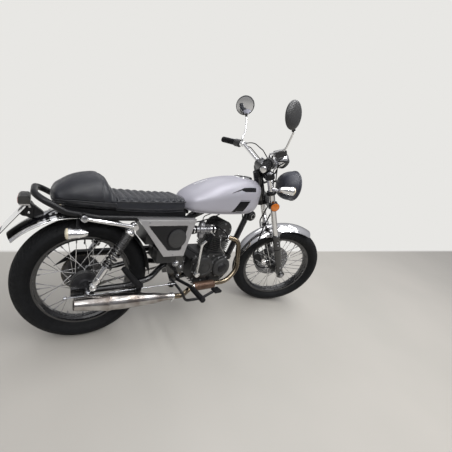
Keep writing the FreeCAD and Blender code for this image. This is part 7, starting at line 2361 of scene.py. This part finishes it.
@dataclass
class Room:
    """Plain floor, soft lamps and the camera.

    Attributes:
        eye: Camera's place in the bike's millimetres.
        yaw: Camera's turn from +Y towards +X, in degrees.
        pitch: Camera's look down, in degrees.
        roll: Camera's roll, in degrees.
        focal: Focal length in pixels.
        middle: Pixel that the camera's axis meets.
        frame_size: Side of the square picture in pixels.
        joint_row: Pixel row at which the floor turns into the pale wall.
    """

    eye: tuple[float, float, float] = (-169.38, -1198.45, 1013.72)
    yaw: float = 27.28
    pitch: float = 19.01
    roll: float = 8.13
    focal: float = 262.4
    middle: tuple[float, float] = (170.96, 233.66)
    frame_size: float = 452.0
    joint_row: float = 251.0

    def view_axes(self) -> tuple[np.ndarray, np.ndarray, np.ndarray]:
        """Right, up and forward directions of the camera in the bike's frame.

        Returns:
            Three directions.
        """
        yaw, pitch, roll = (math.radians(a) for a in (self.yaw, self.pitch, self.roll))
        ahead = vec(math.sin(yaw) * math.cos(pitch), math.cos(yaw) * math.cos(pitch), -math.sin(pitch))
        right = unit(np.cross(ahead, UP))
        up = np.cross(right, ahead)
        return (math.cos(roll) * right + math.sin(roll) * up,
                math.cos(roll) * up - math.sin(roll) * right, ahead)

    def camera(self) -> None:
        """Set the camera at the photograph's angle."""
        right, up, ahead = self.view_axes()
        bike = STATIONS[Body.FRAME]
        local = np.eye(4)
        local[:3, :3] = bike.axes @ np.stack([right, up, -ahead], 1)
        local[:3, 3] = bike.put(np.array(self.eye))
        data = bpy.data.cameras.new("camera")
        data.sensor_width = 36.0
        data.lens = self.focal / self.frame_size * data.sensor_width
        data.shift_x = 0.5 - self.middle[0] / self.frame_size
        data.shift_y = self.middle[1] / self.frame_size - 0.5
        made = bpy.data.objects.new("camera", data)
        made.matrix_world = Matrix(local.tolist())
        bpy.context.scene.collection.objects.link(made)
        bpy.context.scene.camera = made

    def floor_line(self) -> tuple[np.ndarray, float]:
        """Direction across the floor, and the distance along it, at which the wall begins.

        The picture row and the eye make a plane; where it cuts the floor is a straight line.

        Returns:
            The direction and the distance.
        """
        right, up, ahead = self.view_axes()
        axes = STATIONS[Body.FRAME].axes
        drop = (self.middle[1] - self.joint_row) / self.focal
        normal = axes @ np.cross(right, ahead + drop * up)
        eye = STATIONS[Body.FRAME].put(np.array(self.eye))
        across = -normal[:2]
        size = np.linalg.norm(across)
        far = float(normal @ eye) / size
        sign = 1.0 if across @ (axes @ ahead)[:2] > 0 else -1.0
        return sign * across / size, -sign * far

    def floor(self) -> None:
        """Lay the floor, with its colour going to the pale wall's beyond a line."""
        across, start = self.floor_line()
        mesh = bpy.data.meshes.new("floor")
        reach = 60.0
        mesh.from_pydata([(-reach, -reach, 0), (reach, -reach, 0), (reach, reach, 0), (-reach, reach, 0)], [],
                         [(0, 1, 2, 3)])
        wires = Wiring("pale_floor")
        where = wires.node("TexCoord").outputs["Object"]
        along = wires.node("VectorMath", {"operation": "DOT_PRODUCT"}, i0=where,
                           i1=(float(across[0]), float(across[1]), 0.0)).outputs["Value"]
        wall = wires.ranged(along, 0.0, 1.0, start - 0.02, start + 0.03)
        cloud = wires.ranged(wires.noise(where, 0.9), 0.0, 1.0)
        near = wires.mixed(cloud, hue(176, 172, 165), hue(168, 165, 158))
        wires.feed(wires.shader.inputs["Base Color"], wires.mixed(wall, near, hue(232, 231, 228)))
        wires.feed(wires.shader.inputs["Roughness"], 0.55)
        path = wires.node("LightPath")
        seen = wires.sums("MAXIMUM", wires.sums("MAXIMUM", path.outputs["Is Camera Ray"],
                                                path.outputs["Is Glossy Ray"]),
                          path.outputs["Is Transmission Ray"])
        glow = wires.node("Emission", Color=hue(232, 231, 228), Strength=1.0)
        mix = wires.node("MixShader", i0=wires.sums("MULTIPLY", wall, seen), i1=wires.shader.outputs[0],
                         i2=glow.outputs[0])
        wires.tree.links.new(mix.outputs[0], wires.tree.nodes["Material Output"].inputs[0])
        mesh.materials.append(wires.material)
        made = bpy.data.objects.new("floor", mesh)
        bpy.context.scene.collection.objects.link(made)

    def world(self) -> None:
        """Even soft light from all round, a little dimmer near the horizon."""
        world = bpy.data.worlds.new("room")
        bpy.context.scene.world = world
        world.use_nodes = True
        tree = world.node_tree
        back = tree.nodes["Background"]
        where = tree.nodes.new("ShaderNodeTexCoord")
        split = tree.nodes.new("ShaderNodeSeparateXYZ")
        ramp = tree.nodes.new("ShaderNodeValToRGB")
        tree.links.new(where.outputs["Generated"], split.inputs[0])
        tree.links.new(split.outputs[2], ramp.inputs[0])
        stops = ramp.color_ramp.elements
        stops[0].position, stops[0].color = 0.02, (0.1, 0.1, 0.105, 1.0)
        stops[1].position, stops[1].color = 0.9, (0.62, 0.62, 0.65, 1.0)
        middle = stops.new(0.32)
        middle.color = (0.34, 0.34, 0.36, 1.0)
        path = tree.nodes.new("ShaderNodeLightPath")
        mix = tree.nodes.new("ShaderNodeMix")
        mix.data_type = "RGBA"
        tree.links.new(path.outputs["Is Camera Ray"], mix.inputs[0])
        tree.links.new(ramp.outputs[0], mix.inputs[6])
        mix.inputs[7].default_value = (*hue(232, 231, 228), 1.0)
        tree.links.new(mix.outputs[2], back.inputs[0])

    def lamps(self) -> None:
        """Hang soft square lamps and three long tubes over the bike."""
        rows = [
            ("key", (-1.4, -2.6, 3.2), (1.6, 1.2), 30.0),
            ("back", (0.6, 2.8, 3.0), (2.4, 1.4), 14.0),
            ("tube_left", (0.5, -1.1, 3.0), (0.16, 3.4), 26.0),
            ("tube_middle", (1.3, -1.1, 3.0), (0.16, 3.4), 26.0),
            ("tube_right", (2.1, -1.1, 3.0), (0.16, 3.4), 26.0),
        ]
        sun = bpy.data.lights.new("daylight", "SUN")
        sun.energy, sun.angle = 0.9, math.radians(70)
        high = bpy.data.objects.new("daylight", sun)
        high.rotation_euler = (math.radians(24), math.radians(-14), 0)
        bpy.context.scene.collection.objects.link(high)
        for name, place, size, power in rows:
            data = bpy.data.lights.new(name, "AREA")
            data.shape = "RECTANGLE"
            data.size, data.size_y = size
            data.energy = power
            made = bpy.data.objects.new(name, data)
            target = vec(0, 0, 0.5) if "tube" not in name else np.array([place[0], place[1], 0.0])
            back = unit(np.array(place) - target)
            side = unit(np.cross(ACROSS, back))
            turn = np.eye(4)
            turn[:3, :3] = np.stack([side, np.cross(back, side), back], 1)
            turn[:3, 3] = place
            made.matrix_world = Matrix(turn.tolist())
            bpy.context.scene.collection.objects.link(made)

    def build(self) -> None:
        """Set up the whole room."""
        self.camera()
        self.floor()
        self.world()
        self.lamps()
        bpy.context.scene.view_settings.view_transform = "Standard"


NODE_FINISHES = {
    "main_frame": FRAME_BLACK, "seat_rails": SATIN_BLACK, "swingarm": FRAME_BLACK, "shocks": CHROME,
    "shock_springs": FRAME_BLACK, "side_bars": CHROME, "seat_pad": VINYL, "seat_hump": VINYL,
    "fuel_tank": PAINT, "fuel_cap": CHROME, "side_panels": PANEL_PAINT, "panel_insets": SATIN_BLACK,
    "air_box": PLASTIC, "rear_fender": CHROME, "inner_mudguard": GUARD_BLACK, "number_plate": PLATE,
    "plate_bracket": SATIN_BLACK, "tail_lamp": RED, "rear_indicators": CHROME, "crankcase": ENGINE_BLACK,
    "engine_covers": ENGINE_BLACK, "engine_cylinder": ENGINE_BLACK, "carburettor": CAST,
    "kick_starter": POLISHED, "header_pipe": HEATED, "muffler": BRUSHED, "foot_pegs": RUBBER,
    "foot_levers": SATIN_BLACK, "horn": SATIN_BLACK, "chain": CHAIN, "chain_guard": SATIN_BLACK,
    "rear_brake": DARK_CAST, "rear_axle": ZINC, "stand_bracket": SATIN_BLACK, "yokes": SATIN_BLACK,
    "fork_tubes": CHROME, "fork_sliders": FRAME_BLACK, "handlebar": CHROME, "grips": RUBBER,
    "hand_levers": POLISHED, "mirror_heads": PLASTIC, "headlight": SLATE, "headlight_glass": GLASS,
    "instrument": PLASTIC, "front_fender": CHROME, "front_indicators": CHROME, "reflectors": AMBER,
    "caliper": SATIN_BLACK, "front_axle": ZINC, "front_cables": RUBBER, "front_tyre": TYRE,
    "front_rim": FRAME_BLACK, "front_hub": DARK_CAST, "brake_disc": DISC, "rear_tyre": TYRE,
    "rear_rim": FRAME_BLACK, "rear_hub": DARK_CAST, "rear_sprocket": STEEL, "side_stand": SATIN_BLACK,
}
ASSEMBLIES = (Seat, Tank, RearWheel, FrontWheel, Drive, Shocks, Tail, Panels, Exhaust, Engine, Feet, Cockpit)


def main() -> None:
    """Build the room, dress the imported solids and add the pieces."""
    logging.basicConfig(level=logging.INFO, format="%(message)s")
    Room().build()
    for node, finish in NODE_FINISHES.items():
        dress_node(node, finish)
    for assembly in ASSEMBLIES:
        assembly().build()


if __name__ == "__main__":
    main()
